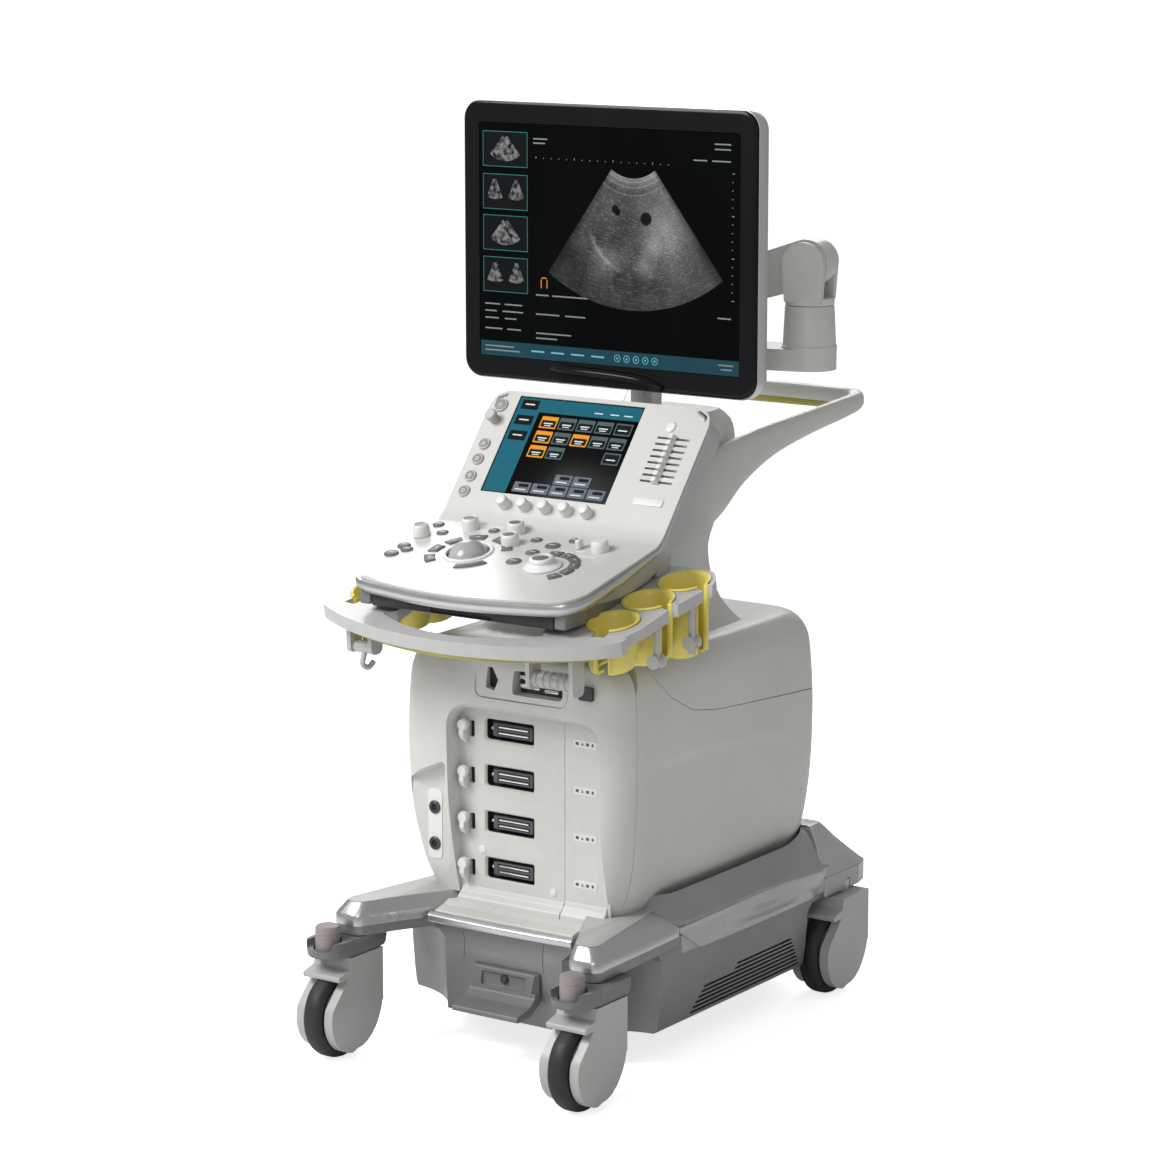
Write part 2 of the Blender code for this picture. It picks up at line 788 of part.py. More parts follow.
# Lift and console ---------------------------------------------------------------------------------


def make_mast():
    """The sliding mast: it carries the monitor arm on top and the console on a forward bracket."""
    mast = cylinder("lift_mast", (0, MAST_Y, 0.562), MAST_R, 0.716, "steel", sides=20)
    bracket = box("mast_bracket", (-LIFT_X, SWIVEL_Y, 0.655), (LIFT_X, MAST_Y, 0.678))
    pad = cylinder("mast_pad", (0, SWIVEL_Y, 0.6705), LIFT_X, 0.031, sides=16)
    spigot = cylinder("mast_spigot", (0, SWIVEL_Y, 0.692), 0.015, 0.020)
    cap = cylinder("mast_cap", (0, MAST_Y, 0.926), 0.040, 0.024, sides=20)
    return join(mast, bracket, pad, spigot, cap)


def console_profile(drop):
    """The console from the side, in (y, z), with its top surface lowered by a drop."""
    front = on_deck(0, DECK_FRONT, -drop)
    root = on_deck(0, -0.106, -drop)
    foot = on_panel(0, -0.108, -drop)
    top = on_panel(0, 0.086, -drop)
    return front, root, foot, top


def make_console_base():
    """The console's lower shell, with hangers for the probe holders and a bore for the swivel."""
    front, root, foot, top = console_profile(SKIN + GAP)
    outline = rounded(
        [
            (front.y + 0.002, front.z, 0.002),
            (root.y, root.z, 0.010),
            (foot.y, foot.z, 0.010),
            (top.y, top.z, 0.004),
            (0.060, 0.868, 0.010),
            (0.020, 0.790, 0.030),
            (0.008, 0.735, 0.015),
            (0.000, 0.706, 0.006),
            (-0.045, 0.697, 0.020),
            (DECK_FRONT + 0.012, 0.6680, 0.003),
        ],
        3,
    )
    shell = side_prism("console_base", outline, -CONSOLE_HALF + 0.003, CONSOLE_HALF - 0.003, "shell")
    bore = cylinder("swivel_bore", (0, SWIVEL_Y, 0.692), 0.0155, 0.030)
    boss = cylinder("swivel_boss", (0, SWIVEL_Y, SWIVEL_Z + GAP + 0.008), LIFT_X, 0.016, sides=16)
    plan = console_plan(0.003)
    depth, place = flat(0.5, 1.0)
    keep(shell, prism("console_plan", plan, depth, place))
    join(shell, boss)
    cut(shell, bore)
    for side in (-1, 1):
        hanger = box(
            f"hanger_{side}",
            (side * HANGER_X - 0.010, -0.075, 0.645),
            (side * HANGER_X + 0.010, -0.045, 0.712),
        )
        trim = box(
            f"hanger_trim_{side}",
            (-0.2, -0.6, -0.2),
            (0.2, 0.4, 0.0),
            turn=tilted(FRAME_TILT, FRAME_POINT + Vector((0, 0, FRAME_T / 2 + GAP * 2))),
        )
        cut(hanger, trim)
        join(shell, hanger)
    return shell


def console_plan(inset):
    """The console from above: a bowed front edge and rounded corners."""
    half_width = CONSOLE_HALF - inset
    points = []
    for k in range(7):
        t = -1 + k / 3
        points.append((t * (half_width - 0.036), DECK_FRONT - 0.002 + inset + 0.018 * t * t))
    radius = 0.042
    corner = []
    for k in range(1, 4):
        a = math.radians(-60 + 20 * k)
        x = half_width - radius + radius * math.cos(a)
        corner.append((x, DECK_FRONT + 0.054 + inset + radius * math.sin(a)))
    points += corner
    points.append((half_width, 0.10))
    points.append((-half_width, 0.10))
    points += [(-x, y) for x, y in reversed(corner)]
    return points


def make_control_panel():
    """The moulded skin of the deck and the upper panel, with a window for the touch screen."""
    front, root, foot, top = console_profile(0.0)
    low_front, low_root, low_foot, low_top = console_profile(SKIN)
    outline = rounded(
        [
            (front.y, front.z, 0.001),
            (root.y, root.z, 0.012),
            (foot.y, foot.z, 0.012),
            (top.y, top.z, 0.003),
            (low_top.y, low_top.z, 0.001),
            (low_foot.y, low_foot.z, 0.010),
            (low_root.y, low_root.z, 0.010),
            (low_front.y, low_front.z, 0.001),
        ],
        3,
    )
    skin = side_prism("control_panel", outline, -CONSOLE_HALF, CONSOLE_HALF, "deck")
    depth, place = flat(0.5, 1.0)
    keep(skin, prism("panel_plan", console_plan(0.0), depth, place))
    window = box(
        "touch_window",
        (TOUCH_CENTRE.x - TOUCH_W / 2, -TOUCH_H / 2, -0.0045),
        (TOUCH_CENTRE.x + TOUCH_W / 2, TOUCH_H / 2, 0.05),
        turn=tilted(PANEL_TILT, (0, TOUCH_CENTRE.y, TOUCH_CENTRE.z)),
    )
    spin = Matrix.Rotation(DECK_TILT, 4, "X")
    ball_hole = cylinder("ball_hole", on_deck(*TRACKBALL_AT), TRACKBALL_R + RUN, 0.05, axis=spin)
    cut(skin, window, ball_hole)
    return skin


def make_touch_screen():
    margin = GAP
    return box(
        "touch_screen",
        (TOUCH_CENTRE.x - TOUCH_W / 2 + margin, -TOUCH_H / 2 + margin, -0.0045 + margin),
        (TOUCH_CENTRE.x + TOUCH_W / 2 - margin, TOUCH_H / 2 - margin, -0.0005),
        "glass",
        turn=tilted(PANEL_TILT, (0, TOUCH_CENTRE.y, TOUCH_CENTRE.z)),
    )


def make_trackball():
    """The trackball, sunk to just above its middle in a pocket of the console."""
    centre = on_deck(*TRACKBALL_AT, lift=-0.012)
    bm = bmesh.new()
    bmesh.ops.create_uvsphere(bm, u_segments=14, v_segments=8, radius=TRACKBALL_R - 0.002)
    ball = add_object("trackball", bm, "white")
    ball.location = centre
    return ball


def ball_pocket():
    centre = on_deck(*TRACKBALL_AT, lift=-0.012)
    bm = bmesh.new()
    bmesh.ops.create_uvsphere(bm, u_segments=14, v_segments=8, radius=TRACKBALL_R + RUN)
    bm.transform(Matrix.Translation(centre))
    return add_object("ball_pocket", bm, None)


def make_knob(name, base, tilt, profile, steps):
    """A turned knob standing on a tilted panel, with its origin on its axis."""
    return turned(name, profile, steps, "white", tilted(tilt, base))


def make_console_controls():
    """The encoder, the row of menu knobs and the depth gain sliders."""
    encoder = [
        (0.0, 0.014),
        (0.015, 0.014),
        (0.017, 0.012),
        (0.017, 0.008),
        (ENCODER_R - 0.002, 0.006),
        (ENCODER_R, 0.0),
        (0.0, 0.0),
    ]
    make_knob("encoder_dial", on_deck(*ENCODER_AT, lift=GAP), DECK_TILT, encoder, 18)
    menu = [(0.0, 0.016), (0.0065, 0.016), (0.0078, 0.0145), (0.0092, 0.0), (0.0, 0.0)]
    for k, x in enumerate(MENU_KNOBS_X):
        make_knob(f"menu_knob_{k + 1}", on_panel(x, MENU_KNOB_UP, GAP), PANEL_TILT, menu, 12)
    for k in range(TGC_ROWS):
        base = on_panel(TGC_X, TGC_TOP - TGC_PITCH * k, GAP)
        slider = box(
            f"tgc_slider_{k + 1}",
            (-0.0045, -0.0033, 0.0),
            (0.0045, 0.0033, 0.007),
            "white",
            turn=Matrix.Rotation(PANEL_TILT, 4, "X"),
        )
        slider.location = base


def frame_place():
    """The tilted plane of the front handle and the probe holders."""
    return tilted(FRAME_TILT, FRAME_POINT)


def in_frame(x, y):
    """A plan position as local coordinates of the tilted frame plane."""
    return x, (y - FRAME_POINT.y) / math.cos(FRAME_TILT)


def frame_z(y):
    return FRAME_POINT.z + (y - FRAME_POINT.y) * math.tan(FRAME_TILT)


def make_front_handle():
    """The bowed grab bar across the front, with corners that return to the probe holders."""
    outline = []
    for k in range(9):
        t = -1 + k / 4
        outline.append(in_frame(t * 0.243, -0.350 + 0.055 * t * t))
    outline.append(in_frame(0.249, -0.284))
    outline.append(in_frame(0.243, -0.2763))
    outline.append(in_frame(0.150, -0.2763))
    for k in range(7):
        t = 1 - k / 3
        outline.append(in_frame(t * 0.142, -0.314 + 0.030 * t * t))
    outline.append(in_frame(-0.150, -0.2763))
    outline.append(in_frame(-0.243, -0.2763))
    outline.append(in_frame(-0.249, -0.284))
    return prism("front_handle", outline, FRAME_T, frame_place(), "white")


def make_probe_holder(name, side):
    """A side plate with three open-sided cups for probes."""
    corners = [
        (0.128, -0.2760, 0.004),
        (0.205, -0.2760, 0.004),
        (0.244, -0.225, 0.012),
        (0.244, -0.150, 0.012),
        (0.256, -0.065, 0.030),
        (0.232, -0.028, 0.030),
        (0.144, -0.028, 0.020),
        (0.136, -0.090, 0.030),
        (0.128, -0.200, 0.010),
    ]
    outline = rounded([(*in_frame(x, y), r) for x, y, r in corners], 3)
    outline = [(side * x, y) for x, y in outline]
    plate = prism(name, outline, FRAME_T * 0.7, frame_place(), "yellow")
    for k, (x, y, deep) in enumerate(CUPS):
        top = frame_z(y) + 0.0165
        centre = (side * x, y, top - deep / 2)
        join(plate, cylinder(f"{name}_cup_{k}", centre, CUP_R, deep, sides=18))
    for k, (x, y, deep) in enumerate(CUPS):
        top = frame_z(y) + 0.0165
        inside = (side * x, y, top - deep / 2 + 0.006)
        well = cylinder(f"{name}_well_{k}", inside, CUP_R - CUP_WALL, deep, sides=18)
        drain = cylinder(f"{name}_drain_{k}", (side * x, y, top - deep), 0.018, 0.05, sides=8)
        turn = Matrix.Rotation(side * math.radians(-80 if k == 0 else -12), 4, "Z")
        if side < 0:
            turn = turn @ Matrix.Rotation(math.pi, 4, "Z")
        slit = box(
            f"{name}_slit_{k}",
            (0.0, -0.009, -0.2),
            (0.075, 0.009, 0.05),
            turn=Matrix.Translation((side * x, y, top)) @ turn,
        )
        cut(plate, well, drain, slit)
    return plate


def make_keyboard_tray():
    """The slim drawer that slides out from under the console."""
    tray = box("keyboard_tray", (-0.122, -0.300, 0.6420), (0.122, -0.110, 0.6535), "dark_grey")
    lip = box("keyboard_lip", (-0.152, -0.300, 0.6420), (0.152, -0.286, 0.6615))
    return join(tray, lip)


# Monitor arm and monitor --------------------------------------------------------------------------


def stadium(a, b, radius_a, radius_b, steps=8):
    """The outline round two circles joined by straight sides."""
    a, b = Vector(a), Vector(b)
    heading = math.atan2(b.y - a.y, b.x - a.x)
    points = []
    ends = ((a, radius_a, heading + math.pi / 2), (b, radius_b, heading - math.pi / 2))
    for centre, radius, start in ends:
        for k in range(steps + 1):
            t = start + math.pi * k / steps
            points.append((centre.x + radius * math.cos(t), centre.y + radius * math.sin(t)))
    return points


def make_base_link():
    """The lower arm: a flat link that turns on the mast and carries the post's foot."""
    depth, place = flat(*LINK_Z)
    outline = stadium((0, MAST_Y), POST_AT[:2], 0.040, 0.038)
    link = prism("arm_base_link", outline, depth, place, "shell")
    mid = (LINK_Z[1] + POST_SEAM - GAP) / 2
    post = cylinder(
        "link_post",
        (POST_AT.x, POST_AT.y, mid - 0.002),
        0.0385,
        POST_SEAM - GAP - LINK_Z[1] + 0.004,
        sides=20,
        top=POST_R,
    )
    return set_origin(join(link, post), (0, MAST_Y, LINK_Z[0]))


def arm_direction():
    """The level heading of the upper arm, from its elbow to the monitor."""
    level = ARM_END - POST_AT
    level.z = 0
    return level.normalized()


def arm_frame():
    """Local X along the arm's level heading, local Y up, local Z across the arm, at the elbow."""
    along = arm_direction()
    across = along.cross(Vector((0, 0, 1)))
    origin = Vector((POST_AT.x, POST_AT.y, ELBOW_Z))
    turn = Matrix((along, Vector((0, 0, 1)), across)).transposed().to_4x4()
    return Matrix.Translation(origin) @ turn


def make_knuckle():
    """The turning head on the post: two cheeks on a round foot, with the elbow pin between them."""
    foot = cylinder(
        "arm_knuckle", (POST_AT.x, POST_AT.y, POST_SEAM + 0.005), POST_R, 0.010, "shell", sides=20
    )
    frame = arm_frame()
    for side in (-1, 1):
        outline = [(-0.026, -0.052), (0.026, -0.052)]
        for k in range(9):
            t = math.pi * k / 8
            outline.append((0.030 * math.cos(t), 0.030 * math.sin(t)))
        place = frame @ Matrix.Translation((0, 0, side * 0.0275))
        join(foot, prism(f"knuckle_cheek_{side}", outline, 0.012, place))
    pin = cylinder("elbow_pin", (0, 0, 0), 0.008, 0.058, sides=16)
    pin.data.transform(frame)
    join(foot, pin)
    return set_origin(foot, (POST_AT.x, POST_AT.y, POST_SEAM))


def make_upper_arm():
    """The sprung arm from the elbow down to the monitor's end."""
    frame = arm_frame()
    local_end = frame.inverted() @ ARM_END
    outline = stadium((0, 0), (local_end.x, local_end.y), 0.0335, 0.026)
    arm = prism("arm_upper", outline, 0.0420, frame, "shell")
    bore = cylinder("elbow_bore", (0, 0, 0), 0.0083, 0.10, sides=16)
    bore.data.transform(frame)
    slot = cylinder("end_slot", (0, 0, 0), 0.036, 0.0266, sides=24)
    slot.data.transform(frame @ Matrix.Translation(local_end))
    pin = cylinder("end_pin", (0, 0, 0), 0.006, 0.040, sides=16)
    pin.data.transform(frame @ Matrix.Translation(local_end))
    cut(arm, bore, slot)
    join(arm, pin)
    return set_origin(arm, frame.translation)


def make_arm_end():
    """The head that stays upright at the arm's end, with the pan spindle on top."""
    frame = arm_frame()
    local_end = frame.inverted() @ ARM_END
    place = frame @ Matrix.Translation(local_end)
    head = cylinder("arm_end_head", (0, 0, 0), 0.020, 0.0260, "dark_grey", sides=24)
    head.data.transform(place)
    bore = cylinder("end_bore", (0, 0, 0), 0.0063, 0.06, sides=16)
    bore.data.transform(place)
    spindle = cylinder("pan_spindle", ARM_END + Vector((0, 0, 0.034)), 0.010, 0.046, sides=20)
    join(head, spindle)
    cut(head, bore)
    return set_origin(head, ARM_END)


def make_bracket():
    """The monitor bracket: a collar on the pan spindle with a pair of ears for the tilt pin."""
    low = ARM_END.z + 0.0372
    collar = cylinder(
        "monitor_bracket", (ARM_END.x, ARM_END.y, low + 0.012), 0.0175, 0.024, "dark_grey", sides=24
    )
    bore = cylinder("pan_bore", (ARM_END.x, ARM_END.y, low + 0.012), 0.0103, 0.06, sides=20)
    arm = box("bracket_arm", (-0.03, 0.128, low + 0.004), (0.04, 0.142, TILT_AXIS.z + 0.012))
    pin = cylinder("tilt_pin", (0.005, TILT_AXIS.y + 0.0145, TILT_AXIS.z), 0.006, 0.150, axis="X", sides=16)
    link = box("bracket_web", (0.012, 0.135, low + 0.001), (0.040, 0.150, low + 0.022))
    join(collar, link, arm, pin)
    cut(collar, bore)
    return set_origin(collar, ARM_END)


def monitor_outline(inset, radius):
    half = MONITOR_W / 2 - inset
    return rounded(
        [
            (-half, MONITOR_Z[0] + inset, radius),
            (half, MONITOR_Z[0] + inset, radius),
            (half, MONITOR_Z[1] - inset, radius),
            (-half, MONITOR_Z[1] - inset, radius),
        ],
        5,
    )


def upright(y):
    """A place whose local XY plane is the world XZ plane at the given depth."""
    return Matrix.Translation((0, y, 0)) @ Matrix.Rotation(math.pi / 2, 4, "X")


def make_monitor():
    """The display: a black front with the screen, and a light rear housing with the tilt lugs."""
    middle = MONITOR_Y + BEZEL_T / 2
    bezel = prism("monitor_bezel", monitor_outline(0.0, 0.028), BEZEL_T, upright(middle), "black")
    grip = side_prism(
        "bezel_grip",
        rounded(
            [(0.047, 0.940, 0.0), (0.040, 0.936, 0.002), (0.036, 0.921, 0.003), (0.047, 0.915, 0.0)], 2
        ),
        -0.085,
        0.085,
    )
    join(bezel, grip)
    start = MONITOR_Y + BEZEL_T + GAP
    back = prism("monitor_back", monitor_outline(0.002, 0.027), 0.017, upright(start + 0.0085), "white")
    bulge = loft(
        "back_bulge",
        [
            [(x, start + 0.016, z) for x, z in monitor_outline(0.030, 0.020)],
            [(x, start + 0.030, z) for x, z in monitor_outline(0.070, 0.020)],
        ],
    )
    join(back, bulge)
    for side in (-1, 1):
        lug = box(
            f"tilt_lug_{side}",
            (side * 0.058 - 0.008, start + 0.025, TILT_AXIS.z - 0.016),
            (side * 0.058 + 0.008, TILT_AXIS.y + 0.0265, TILT_AXIS.z + 0.016),
        )
        join(back, lug)
    pin = cylinder(
        "tilt_bore", (0, TILT_AXIS.y + 0.0145, TILT_AXIS.z), 0.0063, 0.30, axis="X", sides=16
    )
    cut(back, pin)
    axis = Vector((0, TILT_AXIS.y + 0.0145, TILT_AXIS.z))
    return set_origin(bezel, axis), set_origin(back, axis)


def build():
    """Makes every sub-part."""
    make_chassis()
    make_base_cover()
    make_front_trim()
    make_underbody()
    make_foot_pedal()
    for word, side in (("left", -1), ("right", 1)):
        make_housing(f"castor_housing_{word}", side * CASTOR_X)
        make_brake_pedal(f"brake_pedal_{word}", side * CASTOR_X)
        for place, swivel in (("front", SWIVEL_FRONT), ("rear", SWIVEL_REAR)):
            make_fork(f"castor_fork_{place}_{word}", side * CASTOR_X, swivel)
            make_wheel(f"castor_wheel_{place}_{word}", side * CASTOR_X, swivel)
        make_side_cover(f"side_cover_{word}", side)
        make_probe_holder(f"probe_holder_{word}", side)
    make_front_cover()
    make_rear_cover()
    make_top_cover()
    make_port_panel()
    for k in range(4):
        make_lever(k)
    make_internals()
    make_rear_handle()
    make_mast()
    cut(make_console_base(), ball_pocket())
    make_control_panel()
    make_touch_screen()
    make_trackball()
    make_console_controls()
    make_front_handle()
    make_keyboard_tray()
    make_base_link()
    make_knuckle()
    make_upper_arm()
    make_arm_end()
    make_bracket()
    make_monitor()


def move_to_middle():
    """Moves everything so that the origin is under the middle of the machine."""
    for group in (PARTS, CUTTERS):
        for obj in group.objects:
            obj.location += Vector((-MIDDLE_X, -MIDDLE_Y, 0.0))


build()
move_to_middle()
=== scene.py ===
"""Ultrasound machine on castors: its looks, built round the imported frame.

Every place below is in cart coordinates: metres, with X to the machine's left, the operator on the
-Y side, the floor at Z 0 and the Z axis on the machine's own centre line. The frame has its origin
under the middle of the bounding box, so HOME carries each mesh from the one to the other.
"""

import math

import bmesh
import bpy
from mathutils import Matrix, Vector


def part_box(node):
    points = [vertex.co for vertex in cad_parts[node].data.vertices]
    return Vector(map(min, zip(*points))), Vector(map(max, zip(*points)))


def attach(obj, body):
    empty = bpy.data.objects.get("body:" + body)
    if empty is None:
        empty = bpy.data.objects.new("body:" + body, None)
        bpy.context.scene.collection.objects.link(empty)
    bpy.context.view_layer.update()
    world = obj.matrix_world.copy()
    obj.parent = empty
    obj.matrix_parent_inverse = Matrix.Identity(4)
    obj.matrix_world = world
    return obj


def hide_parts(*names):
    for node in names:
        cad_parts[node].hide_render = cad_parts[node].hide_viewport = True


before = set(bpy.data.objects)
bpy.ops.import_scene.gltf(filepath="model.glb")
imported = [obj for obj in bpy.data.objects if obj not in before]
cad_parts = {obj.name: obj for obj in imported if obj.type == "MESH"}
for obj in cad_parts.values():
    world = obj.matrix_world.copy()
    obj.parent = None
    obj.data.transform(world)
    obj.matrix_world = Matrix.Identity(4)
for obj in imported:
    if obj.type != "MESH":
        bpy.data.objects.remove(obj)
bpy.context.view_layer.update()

MAST_Y = 0.148


def home():
    """Where the cart coordinates' origin is in the frame, found from the lift column."""
    low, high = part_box("lift_column")
    return Vector(((low[0] + high[0]) / 2, (low[1] + high[1]) / 2 - MAST_Y, 0.0))


HOME = home()
SIDES = (("left", -1), ("right", 1))


# Materials ----------------------------------------------------------------------------------------

# Each finish: base colour, roughness, metallic, coat, grain size in 1/m, grain height in metres,
# blotch (how far the colour drifts) and wear (how much the edges lighten).
FINISHES = {
    "shell": ((0.56, 0.56, 0.525), 0.42, 0.0, 0.10, 1500, 0.00006, 0.05, 0.12),
    "shell_warm": ((0.53, 0.53, 0.50), 0.46, 0.0, 0.05, 1500, 0.00007, 0.06, 0.12),
    "deck": ((0.56, 0.56, 0.535), 0.36, 0.0, 0.20, 1800, 0.00004, 0.03, 0.10),
    "white": ((0.70, 0.70, 0.69), 0.34, 0.0, 0.20, 1800, 0.00003, 0.03, 0.08),
    "base_grey": ((0.20, 0.20, 0.203), 0.34, 0.40, 0.15, 2600, 0.00004, 0.08, 0.20),
    "base_light": ((0.34, 0.34, 0.343), 0.32, 0.45, 0.15, 2600, 0.00004, 0.06, 0.20),
    "base_dark": ((0.40, 0.40, 0.405), 0.22, 0.50, 0.35, 2600, 0.00002, 0.08, 0.15),
    "cap_grey": ((0.44, 0.44, 0.43), 0.55, 0.10, 0.0, 1500, 0.00008, 0.06, 0.15),
    "hood": ((0.42, 0.42, 0.405), 0.40, 0.0, 0.10, 1500, 0.00006, 0.06, 0.15),
    "housing": ((0.15, 0.15, 0.155), 0.45, 0.05, 0.05, 1400, 0.00008, 0.10, 0.30),
    "dark_grey": ((0.07, 0.07, 0.073), 0.48, 0.0, 0.05, 1400, 0.00008, 0.12, 0.30),
    "graphite": ((0.020, 0.022, 0.024), 0.38, 0.1, 0.10, 1600, 0.00006, 0.12, 0.35),
    "handle": ((0.44, 0.44, 0.43), 0.40, 0.0, 0.15, 1600, 0.00005, 0.05, 0.12),
    "yellow": ((0.73, 0.62, 0.13), 0.38, 0.0, 0.15, 1600, 0.00005, 0.06, 0.15),
    "olive": ((0.38, 0.33, 0.055), 0.42, 0.0, 0.10, 1600, 0.00005, 0.08, 0.20),
    "pedal": ((0.27, 0.24, 0.235), 0.60, 0.0, 0.0, 900, 0.00012, 0.10, 0.20),
    "button": ((0.11, 0.108, 0.105), 0.50, 0.0, 0.05, 1600, 0.00005, 0.10, 0.30),
    "label": ((0.70, 0.70, 0.68), 0.50, 0.0, 0.0, 2500, 0.00002, 0.04, 0.0),
    "mark": ((0.09, 0.09, 0.09), 0.55, 0.0, 0.0, 2500, 0.00002, 0.10, 0.0),
    # gap: near-black, painted shade for the dark inside of holes, slots and vents
    "gap": ((0.012, 0.012, 0.012), 0.80, 0.0, 0.0, 900, 0.00005, 0.20, 0.0),
}


class Nodes:
    """Builds a node tree with less typing: add a node, set its inputs by name, link by passing sockets."""

    def __init__(self, name):
        self.material = bpy.data.materials.new(name)
        self.material.use_nodes = True
        self.tree = self.material.node_tree
        self.tree.nodes.clear()

    def add(self, kind, inputs=None, **settings):
        node = self.tree.nodes.new("ShaderNode" + kind)
        for key, value in settings.items():
            setattr(node, key, value)
        for key, value in (inputs or {}).items():
            if isinstance(value, bpy.types.NodeSocket):
                self.tree.links.new(value, node.inputs[key])
            else:
                node.inputs[key].default_value = value
        return node.outputs

    def coordinates(self, scale=(1.0, 1.0, 1.0)):
        place = self.add("TexCoord")["Object"]
        return self.add("Mapping", {"Vector": place, "Scale": scale})["Vector"]

    def noise(self, scale, detail=3.0, vector=None, roughness=0.55):
        vector = vector or self.coordinates()
        values = {"Vector": vector, "Scale": scale, "Detail": detail, "Roughness": roughness}
        return self.add("TexNoise", values)[0]

    def span(self, value, low, high, to_low, to_high):
        """value from the span low-high to the span to_low-to_high, clamped."""
        given = {0: value, 1: low, 2: high, 3: to_low, 4: to_high}
        return self.add("MapRange", given)[0]

    def mix(self, factor, first, second, blend="MIX"):
        node = self.tree.nodes.new("ShaderNodeMix")
        node.data_type = "RGBA"
        node.blend_type = blend
        for key, value in ((0, factor), (6, first), (7, second)):
            if isinstance(value, bpy.types.NodeSocket):
                self.tree.links.new(value, node.inputs[key])
            elif key:
                node.inputs[key].default_value = (*value[:3], 1.0)
            else:
                node.inputs[key].default_value = value
        return node.outputs[2]

    def math(self, operation, *values):
        given = dict(enumerate(values))
        return self.add("Math", given, operation=operation)[0]

    def shaded(self, colour, roughness, metallic=0.0, coat=0.0, normal=None, glow=None, power=1.0, shine=0.5):
        """Closes the tree with a Principled shader."""
        given = {
            "Base Color": colour, "Roughness": roughness, "Metallic": metallic,
            "Specular IOR Level": shine
        }
        given["Coat Weight"] = coat
        given["Coat Roughness"] = 0.15
        if normal:
            given["Normal"] = normal
        if glow:
            given["Emission Color"] = glow
            given["Emission Strength"] = power
        shader = self.add("BsdfPrincipled", given)["BSDF"]
        self.add("OutputMaterial", {"Surface": shader})
        return self.material


def moulded(name):
    """Moulded or painted plastic: drifting colour, a fine grain, worn edges and an uneven sheen."""
    colour, rough, metal, coat, grain, height, blotch, wear = FINISHES[name]
    nodes = Nodes(name)
    drift = nodes.span(nodes.noise(5.0, 4.0), 0.3, 0.7, 1.0 - blotch, 1.0 + blotch)
    tint = nodes.mix(
        1.0, (*colour, 1.0), nodes.add("CombineColor", {0: drift, 1: drift, 2: drift})[0], "MULTIPLY"
    )
    pointy = nodes.add("NewGeometry")["Pointiness"]
    edge = nodes.span(pointy, 0.52, 0.60, 0.0, wear)
    scuff = nodes.math("MULTIPLY", edge, nodes.span(nodes.noise(60.0, 5.0), 0.35, 0.65, 0.3, 1.0))
    lighter = tuple(min(1.0, c * 1.5 + 0.08) for c in colour)
    tint = nodes.mix(scuff, tint, lighter)
    sheen = nodes.span(nodes.noise(22.0, 5.0), 0.3, 0.7, rough - 0.05, rough + 0.07)
    fine = nodes.noise(float(grain), 2.0)
    bump = nodes.add("Bump", {"Height": fine, "Strength": 0.35, "Distance": height})["Normal"]
    return nodes.shaded(tint, sheen, metal, coat, bump)


def brushed(name, colour, rough, stretch):
    """Bright metal with a grain drawn out along one axis."""
    nodes = Nodes(name)
    line = nodes.noise(1400.0, 3.0, nodes.coordinates(stretch))
    tone = nodes.span(line, 0.3, 0.7, 0.96, 1.02)
    tint = nodes.mix(1.0, colour, nodes.add("CombineColor", {0: tone, 1: tone, 2: tone})[0], "MULTIPLY")
    sheen = nodes.span(nodes.noise(18.0, 4.0), 0.3, 0.7, rough - 0.03, rough + 0.05)
    bump = nodes.add("Bump", {"Height": line, "Strength": 0.06, "Distance": 0.00004})["Normal"]
    return nodes.shaded(tint, sheen, 0.92, 0.0, bump)


def rubber(name):
    """Grey tyre rubber: dusty tread, fine pits."""
    nodes = Nodes(name)
    dust = nodes.span(nodes.noise(70.0, 6.0), 0.35, 0.75, 0.0, 0.55)
    tint = nodes.mix(dust, (0.010, 0.011, 0.012), (0.032, 0.032, 0.032))
    bump = nodes.add("Bump", {"Height": nodes.noise(900.0, 4.0), "Strength": 0.5, "Distance": 0.0002})
    return nodes.shaded(tint, nodes.span(dust, 0.0, 0.55, 0.50, 0.72), normal=bump["Normal"])


def gloss(name, colour, rough, shine=0.16):
    """Piano black plastic or glass, with faint smears."""
    nodes = Nodes(name)
    smear = nodes.noise(12.0, 6.0, nodes.coordinates((1.0, 1.0, 0.35)))
    tint = nodes.mix(nodes.span(smear, 0.4, 0.8, 0.0, 0.5), colour, tuple(c * 1.8 for c in colour))
    sheen = nodes.span(smear, 0.3, 0.75, rough, rough + 0.09)
    bump = nodes.add("Bump", {"Height": nodes.noise(25.0, 2.0), "Strength": 0.04, "Distance": 0.001})
    return nodes.shaded(tint, sheen, 0.0, 0.0, bump["Normal"], shine=shine)


def lit(name, colour, power, grain=700.0, depth=0.25):
    """A glowing part of a display, with the display's own fine dot pattern."""
    nodes = Nodes(name)
    dots = nodes.span(nodes.noise(grain, 2.0), 0.35, 0.65, 1.0 - depth, 1.0)
    glow = nodes.mix(1.0, colour, nodes.add("CombineColor", {0: dots, 1: dots, 2: dots})[0], "MULTIPLY")
    return nodes.shaded(glow, 0.35, glow=glow, power=power, shine=0.08)


